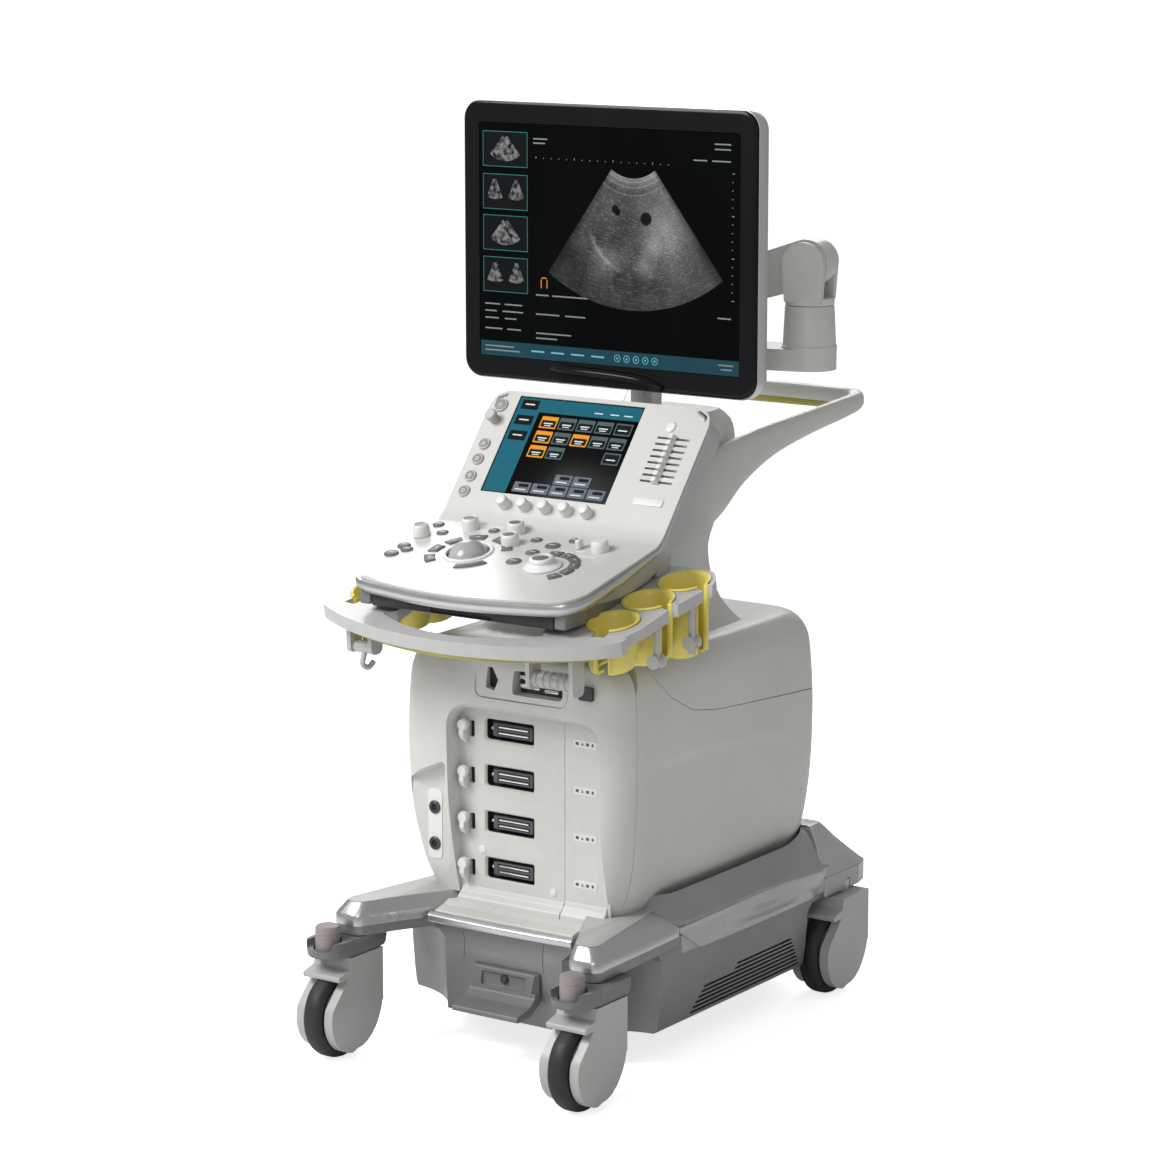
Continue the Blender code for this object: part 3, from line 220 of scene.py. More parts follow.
SPECIAL = {
    "silver": lambda name: brushed(name, (0.56, 0.56, 0.57), 0.28, (1.0, 1.0, 14.0)),
    "chrome": lambda name: brushed(name, (0.82, 0.82, 0.83), 0.12, (1.0, 8.0, 8.0)),
    "steel": lambda name: brushed(name, (0.48, 0.49, 0.50), 0.34, (1.0, 1.0, 9.0)),
    "tyre": rubber,
    "rim_white": lambda name: brushed(name, (0.62, 0.62, 0.62), 0.36, (1.0, 1.0, 6.0)),
    "scan": lambda name: scan_material(name),  # defined with the screen it is made for
    "thumb": lambda name: lit(name, (0.13, 0.13, 0.13), 0.5, 140.0, 0.97),
    "ui_green": lambda name: lit(name, (0.02, 0.11, 0.09), 0.5),
    "ui_taskbar": lambda name: lit(name, (0.010, 0.040, 0.055), 0.5),
    "ui_cyan": lambda name: lit(name, (0.10, 0.30, 0.36), 0.6),
    "ui_faint": lambda name: lit(name, (0.16, 0.17, 0.17), 0.5),
    "ball": lambda name: gloss(name, (0.36, 0.36, 0.37), 0.18, 0.5),
    "ui_teal": lambda name: lit(name, (0.006, 0.085, 0.120), 0.55),
    "ui_slate": lambda name: lit(name, (0.055, 0.085, 0.09), 0.5),
    "ui_orange": lambda name: lit(name, (0.52, 0.20, 0.012), 0.7),
    "ui_grey": lambda name: lit(name, (0.10, 0.12, 0.14), 0.5),
    "ui_dark": lambda name: lit(name, (0.004, 0.005, 0.006), 0.3),
    "ui_text": lambda name: lit(name, (0.45, 0.50, 0.50), 0.7),
    "black": lambda name: gloss(name, (0.006, 0.006, 0.007), 0.12),
    "glass": lambda name: gloss(name, (0.0015, 0.0018, 0.0020), 0.20, 0.05),
}


made = {}


def material(name):
    """The material of a finish, made the first time it is asked for."""
    if name not in made:
        made[name] = SPECIAL.get(name, moulded)(name)
    return made[name]


# Placing ------------------------------------------------------------------------------------------

FACING = Matrix.Rotation(math.pi / 2, 4, "X")  # local Z towards the operator
SIDEWAYS = Matrix.Rotation(math.pi / 2, 4, "Y")  # local Z along the machine's X


def at(x, y, z):
    """The matrix that moves a mesh to a place."""
    return Matrix.Translation((x, y, z))


def span(side, inner, outer):
    """A pair of distances from the middle as ordered X positions on one side."""
    return sorted((side * inner, side * outer))


# Mesh building ------------------------------------------------------------------------------------


def temporary(bm):
    """A hidden helper object for a boolean."""
    bmesh.ops.recalc_face_normals(bm, faces=bm.faces)
    mesh = bpy.data.meshes.new("helper")
    bm.to_mesh(mesh)
    bm.free()
    obj = bpy.data.objects.new("helper", mesh)
    bpy.context.scene.collection.objects.link(obj)
    return obj


def combined(bm, others, operation="DIFFERENCE"):
    """The solid after a boolean with each of the others. The helpers are removed."""
    target = temporary(bm)
    helpers = [temporary(other) for other in others]
    for helper in helpers:
        step = target.modifiers.new("step", "BOOLEAN")
        step.operation = operation
        step.solver = "EXACT"
        step.object = helper
    graph = bpy.context.evaluated_depsgraph_get()
    mesh = bpy.data.meshes.new_from_object(target.evaluated_get(graph))
    result = bmesh.new()
    result.from_mesh(mesh)
    bpy.data.meshes.remove(mesh)
    for obj in (target, *helpers):
        old = obj.data
        bpy.data.objects.remove(obj)
        bpy.data.meshes.remove(old)
    return result


def cut(bm, *others):
    """The solid with each of the others taken out of it."""
    return combined(bm, others)


def joined(bm, *others):
    """The solid and the others as one."""
    return combined(bm, others, "UNION")


def within(bm, other):
    """What the solid and the other have in common."""
    return combined(bm, [other], "INTERSECT")


def gathered(*parts):
    """Several separate solids as one mesh."""
    result = bmesh.new()
    for part in parts:
        mesh = bpy.data.meshes.new("part")
        part.to_mesh(mesh)
        part.free()
        result.from_mesh(mesh)
        bpy.data.meshes.remove(mesh)
    return result


def emit(name, bm, finish, body, bevel=0.0, segments=2, sharp=32.0, cad=None):
    """Makes a piece: smooth faces, edges over sharp degrees softened by a bevel, riding on its body.

    finish is the finish it takes its material from, and cad the frame node it stands for, which it hides.
    """
    bmesh.ops.remove_doubles(bm, verts=bm.verts, dist=2e-6)
    bmesh.ops.recalc_face_normals(bm, faces=bm.faces)
    bm.transform(Matrix.Translation(HOME))
    mesh = bpy.data.meshes.new(name)
    bm.to_mesh(mesh)
    bm.free()
    mesh.materials.append(material(finish))
    mesh.shade_smooth()
    mesh.set_sharp_from_angle(angle=math.radians(sharp))
    obj = bpy.data.objects.new(name, mesh)
    bpy.context.scene.collection.objects.link(obj)
    if bevel:
        soft = obj.modifiers.new("soft_edges", "BEVEL")
        soft.width = bevel
        soft.segments = segments
        soft.limit_method = "ANGLE"
        soft.angle_limit = math.radians(sharp)
        soft.harden_normals = True
    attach(obj, body)
    if cad:
        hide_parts(cad)
    return obj


def rounded(corners, steps=4):
    """The outline through (a, b, radius) corners with each corner turned into an arc."""
    points = []
    count = len(corners)
    for i, (a, b, radius) in enumerate(corners):
        here = Vector((a, b))
        before = Vector(corners[i - 1][:2]) - here
        after = Vector(corners[(i + 1) % count][:2]) - here
        reach = min(before.length, after.length) * 0.49
        angle = before.angle(after)
        if radius <= 0 or angle > math.pi - 0.02:
            points.append((a, b))
            continue
        run = min(radius / math.tan(angle / 2), reach)
        radius = run * math.tan(angle / 2)
        centre = here + (before.normalized() + after.normalized()).normalized() * math.hypot(run, radius)
        first = here + before.normalized() * run - centre
        last = here + after.normalized() * run - centre
        turn = first.angle_signed(last)
        for k in range(steps + 1):
            arm = first.copy()
            arm.rotate(Matrix.Rotation(-turn * k / steps, 2))
            points.append((centre.x + arm.x, centre.y + arm.y))
    return points


def oblong(left, right, low, high, radius, steps):
    """The outline of a rectangle with round corners."""
    corners = [(left, low, radius), (right, low, radius), (right, high, radius), (left, high, radius)]
    return rounded(corners, steps)


def box_outline(left, right, low, high):
    """The outline of a plain rectangle."""
    return [(left, low), (right, low), (right, high), (left, high)]


def mirrored(half):
    """A full outline from its +X half, each point with its corner radius."""
    return half + [(-a, b, r) for a, b, r in reversed(half)]


def prism(outline, depth, place=None):
    """The outline drawn in the local XY plane and thickened evenly along local Z."""
    bm = bmesh.new()
    low = [bm.verts.new((a, b, -depth / 2)) for a, b in outline]
    high = [bm.verts.new((a, b, depth / 2)) for a, b in outline]
    bm.faces.new(list(reversed(low)))
    bm.faces.new(high)
    for i in range(len(outline)):
        j = (i + 1) % len(outline)
        bm.faces.new((low[i], low[j], high[j], high[i]))
    if place:
        bm.transform(place)
    return bm


def flat_prism(outline, z_low, z_high):
    """A plan outline raised between two levels."""
    return prism(outline, z_high - z_low, at(0, 0, (z_low + z_high) / 2))


def side_prism(outline, x_low, x_high):
    """A (y, z) outline widened between two X positions."""
    turn = Matrix(((0, 0, 1, (x_low + x_high) / 2), (1, 0, 0, 0), (0, 1, 0, 0), (0, 0, 0, 1)))
    return prism(outline, x_high - x_low, turn)


def front_prism(outline, y_low, y_high):
    """An (x, z) outline thickened between two Y positions."""
    turn = Matrix(((1, 0, 0, 0), (0, 0, -1, (y_low + y_high) / 2), (0, 1, 0, 0), (0, 0, 0, 1)))
    return prism(outline, y_high - y_low, turn)


def block(low, high, place=None):
    """A rectangular solid, as a cutter or a small moulded detail."""
    (ax, ay, az), (bx, by, bz) = low, high
    bm = prism([(ax, ay), (bx, ay), (bx, by), (ax, by)], bz - az, at(0, 0, (az + bz) / 2))
    if place:
        bm.transform(place)
    return bm


def skin(rows, closed=True, caps=True):
    """A surface through rows of points, each row a loop, with the end loops filled."""
    bm = bmesh.new()
    verts = [[bm.verts.new(p) for p in row] for row in rows]
    count = len(verts[0])
    for upper, lower in zip(verts[1:], verts[:-1]):
        for i in range(count if closed else count - 1):
            j = (i + 1) % count
            bm.faces.new((lower[i], lower[j], upper[j], upper[i]))
    if caps:
        bm.faces.new(list(reversed(verts[0])))
        bm.faces.new(verts[-1])
    return bm


def turned(profile, steps, place=None, start=0.0, sweep=360.0):
    """A (radius, height) profile turned about local Z, all the way round or part of it."""
    whole = sweep > 359.9
    count = steps if whole else steps + 1
    bm = bmesh.new()
    columns = []
    for k in range(count):
        t = math.radians(start + sweep * k / steps)
        columns.append([bm.verts.new((r * math.cos(t), r * math.sin(t), h)) for r, h in profile])
    for k in range(steps):
        here, there = columns[k], columns[(k + 1) % count]
        for i in range(len(profile)):
            j = (i + 1) % len(profile)
            if profile[i][0] or profile[j][0]:
                bm.faces.new([here[i], there[i], there[j], here[j]])
    if not whole:
        bm.faces.new(columns[0])
        bm.faces.new(list(reversed(columns[-1])))
    bmesh.ops.remove_doubles(bm, verts=bm.verts, dist=1e-7)
    bmesh.ops.dissolve_degenerate(bm, edges=bm.edges, dist=1e-7)
    if place:
        bm.transform(place)
    return bm


def drum(radius, low, high, steps, place=None):
    """A plain cylinder about local Z between two heights."""
    return turned([(0, low), (radius, low), (radius, high), (0, high)], steps, place)


def tube(path, radii, sides=14, flat=1.0, up=Vector((0, 0, 1)), closed=False):
    """A round or flattened bar along a path: one radius, or one for each point."""
    points = [Vector(p) for p in path]
    if not isinstance(radii, (list, tuple)):
        radii = [radii] * len(points)
    rows = []
    for i, point in enumerate(points):
        if closed:
            ahead = points[(i + 1) % len(points)] - points[i - 1]
        else:
            ahead = points[min(i + 1, len(points) - 1)] - points[max(i - 1, 0)]
        ahead.normalize()
        across = ahead.cross(up).normalized()
        lift = across.cross(ahead)
        row = []
        for k in range(sides):
            t = 2 * math.pi * k / sides
            row.append(point + radii[i] * (across * math.cos(t) + lift * (flat * math.sin(t))))
        rows.append(row)
    if closed:
        rows.append(rows[0])
        bm = skin(rows, caps=False)
        bmesh.ops.remove_doubles(bm, verts=bm.verts, dist=1e-7)
        return bm
    return skin(rows)


def curve_through(points, steps=6, closed=False):
    """A smooth Catmull-Rom line through the points."""
    points = [Vector(p) for p in points]
    count = len(points)
    spans = count if closed else count - 1
    line = []
    for i in range(spans):
        if closed:
            a, b, c, d = (points[(i + k) % count] for k in (-1, 0, 1, 2))
        else:
            a, b, c, d = (points[min(max(i + k, 0), count - 1)] for k in (-1, 0, 1, 2))
        for k in range(steps):
            t = k / steps
            line.append(0.5 * (
                2 * b + (c - a) * t + (
                    2 * a - 5 * b + 4 * c - d
                ) * t**2 + (3 * b - a - 3 * c + d) * t**3
            ))
    if not closed:
        line.append(points[-1])
    return line


def between(rows, level, key=0):
    """The row of values at a level, smoothly interpolated between rows in order of their key."""
    levels = [row[key] for row in rows]
    level = min(max(level, levels[0]), levels[-1])
    i = max(k for k in range(len(rows)) if levels[k] <= level + 1e-9)
    i = min(i, len(rows) - 2)
    t = (level - levels[i]) / (levels[i + 1] - levels[i])
    a, b, c, d = (rows[min(max(i + k, 0), len(rows) - 1)] for k in (-1, 0, 1, 2))
    values = []
    for p, q, r, s in zip(a, b, c, d):
        values.append(0.5 * (
            2 * q + (r - p) * t + (2 * p - 5 * q + 4 * r - s) * t**2 + (3 * q - p - 3 * r + s) * t**3
        ))
    return values


def round_block(low, high, radius, segments=3, place=None):
    """A moulded block with rounded edges."""
    bm = block(low, high)
    bmesh.ops.bevel(
        bm, geom=bm.edges[:], offset=radius, segments=segments, profile=0.5, affect="EDGES",
        clamp_overlap=True
    )
    if place:
        bm.transform(place)
    return bm


def soften(bm, radius, segments=3, angle=30.0):
    """Rounds every edge of the solid that is sharper than an angle."""
    sharp = [e for e in bm.edges if len(e.link_faces) == 2 and e.calc_face_angle() > math.radians(angle)]
    bmesh.ops.bevel(
        bm, geom=sharp, offset=radius, segments=segments, profile=0.5, affect="EDGES",
        clamp_overlap=True
    )
    return bm


# Body covers --------------------------------------------------------------------------------------

BODY_FOOT = 0.2185
BODY_TOP = 0.575
# Level, half width, front and rear of the body, from the foot up over the rounded shoulder.
BODY_ROWS = (
    (BODY_FOOT, 0.168, -0.172, 0.322),
    (0.260, 0.184, -0.181, 0.329),
    (0.340, 0.195, -0.194, 0.333),
    (0.440, 0.198, -0.198, 0.334),
    (0.520, 0.194, -0.197, 0.332),
    (0.548, 0.189, -0.193, 0.328),
    (0.564, 0.180, -0.188, 0.321),
    (0.572, 0.171, -0.182, 0.312),
    (BODY_TOP, 0.158, -0.172, 0.300),
)
# The same for the neck, which flares out of the shoulder and leans back to the monitor's mast.
NECK_ROWS = (
    (0.500, 0.194, -0.150, 0.255),
    (0.530, 0.192, -0.142, 0.238),
    (0.546, 0.184, -0.132, 0.224),
    (0.560, 0.168, -0.118, 0.208),
    (0.575, 0.148, -0.098, 0.196),
    (0.590, 0.134, -0.075, 0.187),
    (0.610, 0.122, -0.045, 0.179),
    (0.640, 0.112, -0.012, 0.173),
    (0.660, 0.108, 0.000, 0.172),
    (0.685, 0.105, 0.014, 0.175),
    (0.710, 0.101, 0.030, 0.196),
    (0.740, 0.096, 0.050, 0.225),
    (0.780, 0.093, 0.076, 0.252),
    (0.820, 0.090, 0.100, 0.268),
    (0.850, 0.084, 0.114, 0.266),
    (0.866, 0.074, 0.122, 0.250),
)
WALL = 0.004
FRONT_BACKING = -0.1635
PANEL_Y = -0.165
PORT_X = (-0.058, 0.022)
PORT_H = 0.029
PORT_TOP = 0.471
PORT_PITCH = 0.066
LEVER_X = -0.089
OPENING = (-0.100, 0.146, 0.486)  # left, right and top of the port opening
PANEL_SEAM = (0.0748, 0.0756)  # the groove down the port panel, in X
SEAM = 0.0004  # half the gap between two covers
# The seams seen from the side, as (y, z).
FRONT_SEAM = ((-0.152, 0.60), (-0.158, 0.53), (-0.161, 0.44), (-0.160, 0.35), (-0.152, 0.25), (-0.145, 0.19))
TOP_SEAM = (
    (-0.145, 0.62),
    (-0.133, 0.585),
    (-0.124, 0.568),
    (-0.111, 0.546),
    (-0.079, 0.516),
    (-0.030, 0.490),
    (0.028, 0.480),
    (0.324, 0.459),
    (0.400, 0.454),
)
# The line under which the side wall steps in, as (y, z) along the machine.
STEP_UPPER = ((-0.20, 0.446), (-0.096, 0.434), (0.069, 0.427), (0.154, 0.419), (0.211, 0.407), (0.262, 0.383))
STEP_REAR = (0.240, 0.272)
STEP_DEPTH = 0.007


def round_ring(
    half, front, rear, level, radius, bow=0.004, side_points=40, arc_points=7, end_points=12, back=None
):
    """A level ring: a rectangle with round corners whose four sides swell a little."""
    radius = min(radius, half * 0.9, (rear - front) * 0.45)
    back = radius if back is None else back
    points = []

    def run(start, end, swell, count):
        for k in range(1, count):
            t = k / count
            lift = 4 * t * (1 - t)
            points.append(Vector(start).lerp(Vector(end), t) + Vector(swell) * lift)

    def arc(centre, first, reach):
        for k in range(arc_points + 1):
            t = math.radians(first + 90 * k / arc_points)
            points.append(Vector((centre[0] + reach * math.cos(t), centre[1] + reach * math.sin(t), level)))

    x = half - bow
    low, high = front + bow, rear - bow
    arc((x - radius, low + radius), -90, radius)
    run((x, low + radius, level), (x, high - back, level), (bow, 0, 0), side_points)
    arc((x - back, high - back), 0, back)
    run((x - back, high, level), (back - x, high, level), (0, bow, 0), end_points)
    arc((back - x, high - back), 90, back)
    run((-x, high - back, level), (-x, low + radius, level), (-bow, 0, 0), side_points)
    arc((radius - x, low + radius), 180, radius)
    run((radius - x, low, level), (x - radius, low, level), (0, -bow, 0), end_points)
    return points


def levels(low, high, step):
    """Evenly spaced values from low to high, about a step apart."""
    count = max(1, round((high - low) / step))
    return [low + (high - low) * k / count for k in range(count + 1)]


def smooth(t):
    """A soft rise from 0 to 1 as t goes from 0 to 1."""
    t = min(max(t, 0.0), 1.0)
    return t * t * (3 - 2 * t)


def side_step(y, z):
    """How far the side wall is set in at a place, because of the embossed lower field."""
    upper = between(STEP_UPPER, y)[1]
    from_top = smooth((upper - z) / 0.012)
    from_rear = smooth((STEP_REAR[1] - y) / (STEP_REAR[1] - STEP_REAR[0]))
    from_front = smooth((y + 0.17) / 0.12)
    return STEP_DEPTH * min(from_top, from_rear) * from_front


def body_solid(inset=0.0, front=None):
    """The lower body; inset and with its own front it is the hollow inside."""
    rows = []
    for level in levels(BODY_FOOT, 0.548, 0.005) + [0.556, 0.564, 0.569, 0.5725, BODY_TOP]:
        z, half, fore, rear = between(BODY_ROWS, level)
        fore = fore + inset if front is None else front
        ring = round_ring(half - inset, fore, rear - inset, z - inset, 0.050)
        for point in ring:
            if abs(point.x) > half - inset - 0.012:
                point.x -= math.copysign(side_step(point.y, point.z - inset), point.x)
        rows.append(ring)
    if inset:
        rows.insert(0, [Vector((p.x, p.y, BODY_FOOT - 0.02)) for p in rows[0]])
    return skin(rows)


def neck_solid(inset=0.0):
    """The leaning neck, or with an inset the hollow inside it."""
    rows = []
    for level in levels(NECK_ROWS[0][0], NECK_ROWS[-1][0], 0.008):
        z, half, fore, rear = between(NECK_ROWS, level)
        radius = 0.035 + 0.012 * smooth((0.60 - z) / 0.06)
        rows.append(round_ring(half - inset, fore + inset, rear - inset, z, radius, 0.006, 20, 6, 12, 0.014))
    if inset:
        rows.insert(0, [Vector((p.x, p.y, p.z - 0.03)) for p in rows[0]])
        rows[-1] = [Vector((p.x, p.y, p.z - inset)) for p in rows[-1]]
    return skin(rows)


def body_shell():
    """The body with its front wall left thick enough to sink the port panel into."""
    return cut(body_solid(), body_solid(WALL, FRONT_BACKING))


def region(points, x_low=-0.3, x_high=0.3):
    """Everything seen through a (y, z) outline from the side, between two X positions."""
    return side_prism(points, x_low, x_high)


def front_region():
    """Everything in front of the front cover's seam."""
    seam = [(y - SEAM, z) for y, z in FRONT_SEAM]
    return region([(-0.3, 0.19)] + [(-0.3, 0.60)] + seam)


def side_region(side):
    """Everything between the front, rear and top seams, on one side."""
    x_low, x_high = (0.0004, 0.3) if side > 0 else (-0.3, -0.0004)
    below = [(y, z - SEAM) for y, z in TOP_SEAM[1:-2]]
    seam = [(y + SEAM, z) for y, z in reversed(FRONT_SEAM[1:])]
    rear = [(0.2996, between(TOP_SEAM, 0.2996)[1] - SEAM), (0.2996, 0.19)]
    return region(below + rear + seam, x_low, x_high)


def top_region():
    """Everything above the top cover's seam."""
    above = [(y, z + SEAM) for y, z in TOP_SEAM]
    return region(above + [(0.400, 0.95), (-0.145, 0.95)])


def rear_region():
    """Everything behind the rear cover's seam."""
    return region([(0.3004, 0.19), (0.3004, between(TOP_SEAM, 0.3)[1] - SEAM), (0.4, 0.4535), (0.4, 0.19)])


def flared_opening():
    """The cutter of the port opening: its walls open out towards the operator."""
    left, right, top = OPENING
    rows = []
    for y, grow, radius in (
        (-0.24, 0.018, 0.040), (-0.200, 0.012, 0.036), (-0.190, 0.004, 0.030), (-0.155, 0.0, 0.026)
    ):
        outline = rounded(
            [
                (left - grow * 0.3, 0.15, 0.0),
                (right + grow, 0.15, 0.0),
                (right + grow, top + grow, radius),
                (left - grow * 0.3, top + grow, radius),
            ],
            8,
        )
        rows.append([Vector((x, y, z)) for x, z in outline])
    return skin(rows)


def jack_pocket():
    """The cutter of the pocket beside the ports, with a sloping top and a round foot."""
    rows = []
    for y, grow in ((-0.24, 0.010), (-0.195, 0.007), (-0.186, 0.001), (-0.1745, 0.0)):
        outline = rounded(
            [
                (-0.178 - grow, 0.262, 0.020),
                (-0.160, 0.240 - grow, 0.022),
                (-0.122, 0.240 - grow, 0.022),
                (-0.108 + grow * 0.3, 0.262, 0.014),
                (-0.108 + grow * 0.3, 0.404 + grow, 0.006),
                (-0.178 - grow, 0.374 + grow, 0.010),
            ],
            5,
        )
        rows.append([Vector((x, y, z)) for x, z in outline])
    return skin(rows)


def groove(outline, y_face, width, depth):
    """A thin cutter that follows an (x, z) outline on the front."""
    path = [Vector((x, y_face, z)) for x, z in outline]
    return tube(path, width, 6, depth / width, Vector((0, 1, 0)), closed=True)


def build_front_cover():
    """The front cover: port opening, jack pocket, media bay, card slot and their groove."""
    cover = within(body_shell(), front_region())
    edge = [(-0.052, 0.510, 0.010), (0.100, 0.510, 0.014), (0.100, 0.562, 0.006), (-0.052, 0.562, 0.006)]
    media = rounded(edge, 5)
    bay = [(0.010, 0.519, 0.005), (0.092, 0.519, 0.006), (0.092, 0.552, 0.004), (0.010, 0.552, 0.004)]
    pit = front_prism(rounded(bay, 3), -0.23, -0.176)
    card = [(-0.034, 0.524), (-0.020, 0.521), (-0.014, 0.536), (-0.026, 0.552), (-0.034, 0.552)]
    slot = front_prism(card, -0.23, -0.185)
    cover = cut(cover, flared_opening(), jack_pocket(), pit, slot, groove(media, -0.1965, 0.0012, 0.003))
    emit("front_cover_moulding", cover, "shell", "base", 0.0022, 3, 28.0, cad="front_cover")


def build_side_covers():
    """The two side covers, and the rear cover with its vents."""
    for word, side in SIDES:
        cover = within(body_shell(), side_region(side))
        emit(
            f"side_cover_moulding_{word}", cover, "shell", "base", 0.0008, sharp=40.0,
            cad=f"side_cover_{word}"
        )
    cover = within(body_shell(), rear_region())
    vents = []
    for k in range(9):
        z = 0.285 + 0.014 * k
        vents.append(round_block((-0.11, 0.30, z), (0.11, 0.36, z + 0.006), 0.0025, 2))
    emit(
        "rear_cover_moulding", cut(cover, *vents), "shell", "base", 0.0008, sharp=40.0,
        cad="rear_cover"
    )


def build_top_cover():
    """The rear shoulder and the neck in one moulding, with the slot that the console rides in."""
    shoulder = cut(body_solid(), body_solid(WALL))
    moulding = joined(shoulder, neck_solid())
    moulding = cut(moulding, neck_solid(WALL))
    slot = front_prism(oblong(-0.034, 0.034, 0.640, 0.8605, 0.012, 4), -0.20, 0.140)
    mouth = drum(0.0245, 0.80, 0.90, 32, at(0, MAST_Y, 0))
    moulding = within(cut(moulding, slot, mouth), top_region())
    emit("top_cover_moulding", moulding, "shell", "base", 0.0010, sharp=38.0, cad="top_cover")


def port_z(k):
    """The middle height of port k, counted from the top."""
    return PORT_TOP - PORT_H / 2 - PORT_PITCH * k


def port_outline(grow):
    """The mouth of a port round its own middle, as (x, z)."""
    low, high = PORT_X
    half = PORT_H / 2 + grow
    return rounded(
        [
            (low - grow, -half, 0.005), (high + grow, -half, 0.003), (high + grow, half, 0.003),
            (low - grow, half, 0.003)
        ],
        3
    )


def build_port_panel():
    """The recessed panel: four receptacles with soft rims, lever slots, a seam and a stepped sill."""
    left, right, top = OPENING
    outline = rounded(
        [
            (left - 0.004, 0.200, 0.0), (right + 0.004, 0.200, 0.0),
            (right + 0.004, top + 0.004, 0.026), (left - 0.004, top + 0.004, 0.026)
        ],
        6
    )
    panel = front_prism(outline, PANEL_Y, PANEL_Y + 0.0045)
    cutters = []
    for k in range(4):
        z = port_z(k)
        mouth = [Vector((a, PANEL_Y - 0.001, z + b)) for a, b in port_outline(0.003)]
        throat = [Vector((a, PANEL_Y + 0.003, z + b)) for a, b in port_outline(0.0)]
        back = [Vector((a, PANEL_Y + 0.020, z + b)) for a, b in port_outline(0.0)]
        cutters.append(skin([mouth, throat, back]))
        cutters.append(round_block(
            (LEVER_X + 0.004, PANEL_Y - 0.01, z - 0.014), (LEVER_X + 0.0125, PANEL_Y + 0.02, z + 0.009),
            0.002, 2
        ))
    cutters.append(block((PANEL_SEAM[0], PANEL_Y - 0.01, 0.19), (PANEL_SEAM[1], PANEL_Y + 0.0012, 0.50)))
    bands = []
    for k in range(4):
        low = 0.19 if k == 3 else port_z(k) - PORT_PITCH / 2
        high = 0.52 if k == 0 else port_z(k) + PORT_PITCH / 2
        band = within(panel.copy(), block((-0.2, -0.3, low), (0.2, 0.0, high)))
        bands.append(cut(band, *[cutter.copy() for cutter in cutters]))
    emit("port_panel_face", gathered(*bands), "shell", "base", sharp=30.0, cad="port_panel")
    for name, low, high, crest in (
        ("sill", left + 0.002, 0.0745, 0.2300), ("step", 0.0758, right - 0.0005, 0.2330)
    ):
        profile = rounded(
            [
                (-0.1615, crest, 0.0),
                (-0.1662, crest - 0.001, 0.002),
                (-0.1690, crest - 0.008, 0.006),
                (-0.1785, 0.2150, 0.006),
                (-0.1790, 0.2050, 0.0),
                (-0.1615, 0.2050, 0.0),
            ],
            4,
        )
        emit(
            f"port_panel_{name}", side_prism(profile, low, high), "shell", "base", 0.0012, 3, 30.0,
        )


def build_receptacles():
    """Inside each port: a dark well, a graphite connector body and two bright contact bars."""
    wells = []
    bodies = []
    bars = []
    latches = []
    for k in range(4):
        z = port_z(k)
        low, high = PORT_X
        well = front_prism([(a, z + b) for a, b in port_outline(0.0015)], PANEL_Y + 0.0045, PANEL_Y + 0.0185)
        inner = front_prism([(a, z + b) for a, b in port_outline(-0.0004)], PANEL_Y + 0.003, PANEL_Y + 0.016)
        wells.append(cut(well, inner))
        body = round_block(
            (low + 0.010, PANEL_Y + 0.0035, z - 0.0095), (high - 0.003, PANEL_Y + 0.016, z + 0.0095),
            0.0015, 2
        )
        slits = []
        for lift in (-0.0042, 0.0042):
            slits.append(block(
                (low + 0.018, PANEL_Y, z + lift - 0.0026),
                (high - 0.008, PANEL_Y + 0.0075, z + lift + 0.0026)
            ))
            bars.append(round_block(
                (low + 0.020, PANEL_Y + 0.0030, z + lift - 0.0012),
                (high - 0.010, PANEL_Y + 0.0060, z + lift + 0.0012), 0.0005, 2
            ))
        bodies.append(cut(body, *slits))
        latches.append(turned(
            [(0, 0.0), (0.0022, 0.0), (0.0022, 0.004), (0.0014, 0.0045), (0, 0.0045)], 16,
            at(low + 0.0055, PANEL_Y + 0.013, z) @ FACING
        ))
    emit("port_wells", gathered(*wells), "graphite", "base", 0.0004)
    emit("port_connectors", gathered(*bodies), "dark_grey", "base", 0.0004)
    emit("port_contact_bars", gathered(*bars), "chrome", "base")
    emit("port_latch_pins", gathered(*latches), "steel", "base")


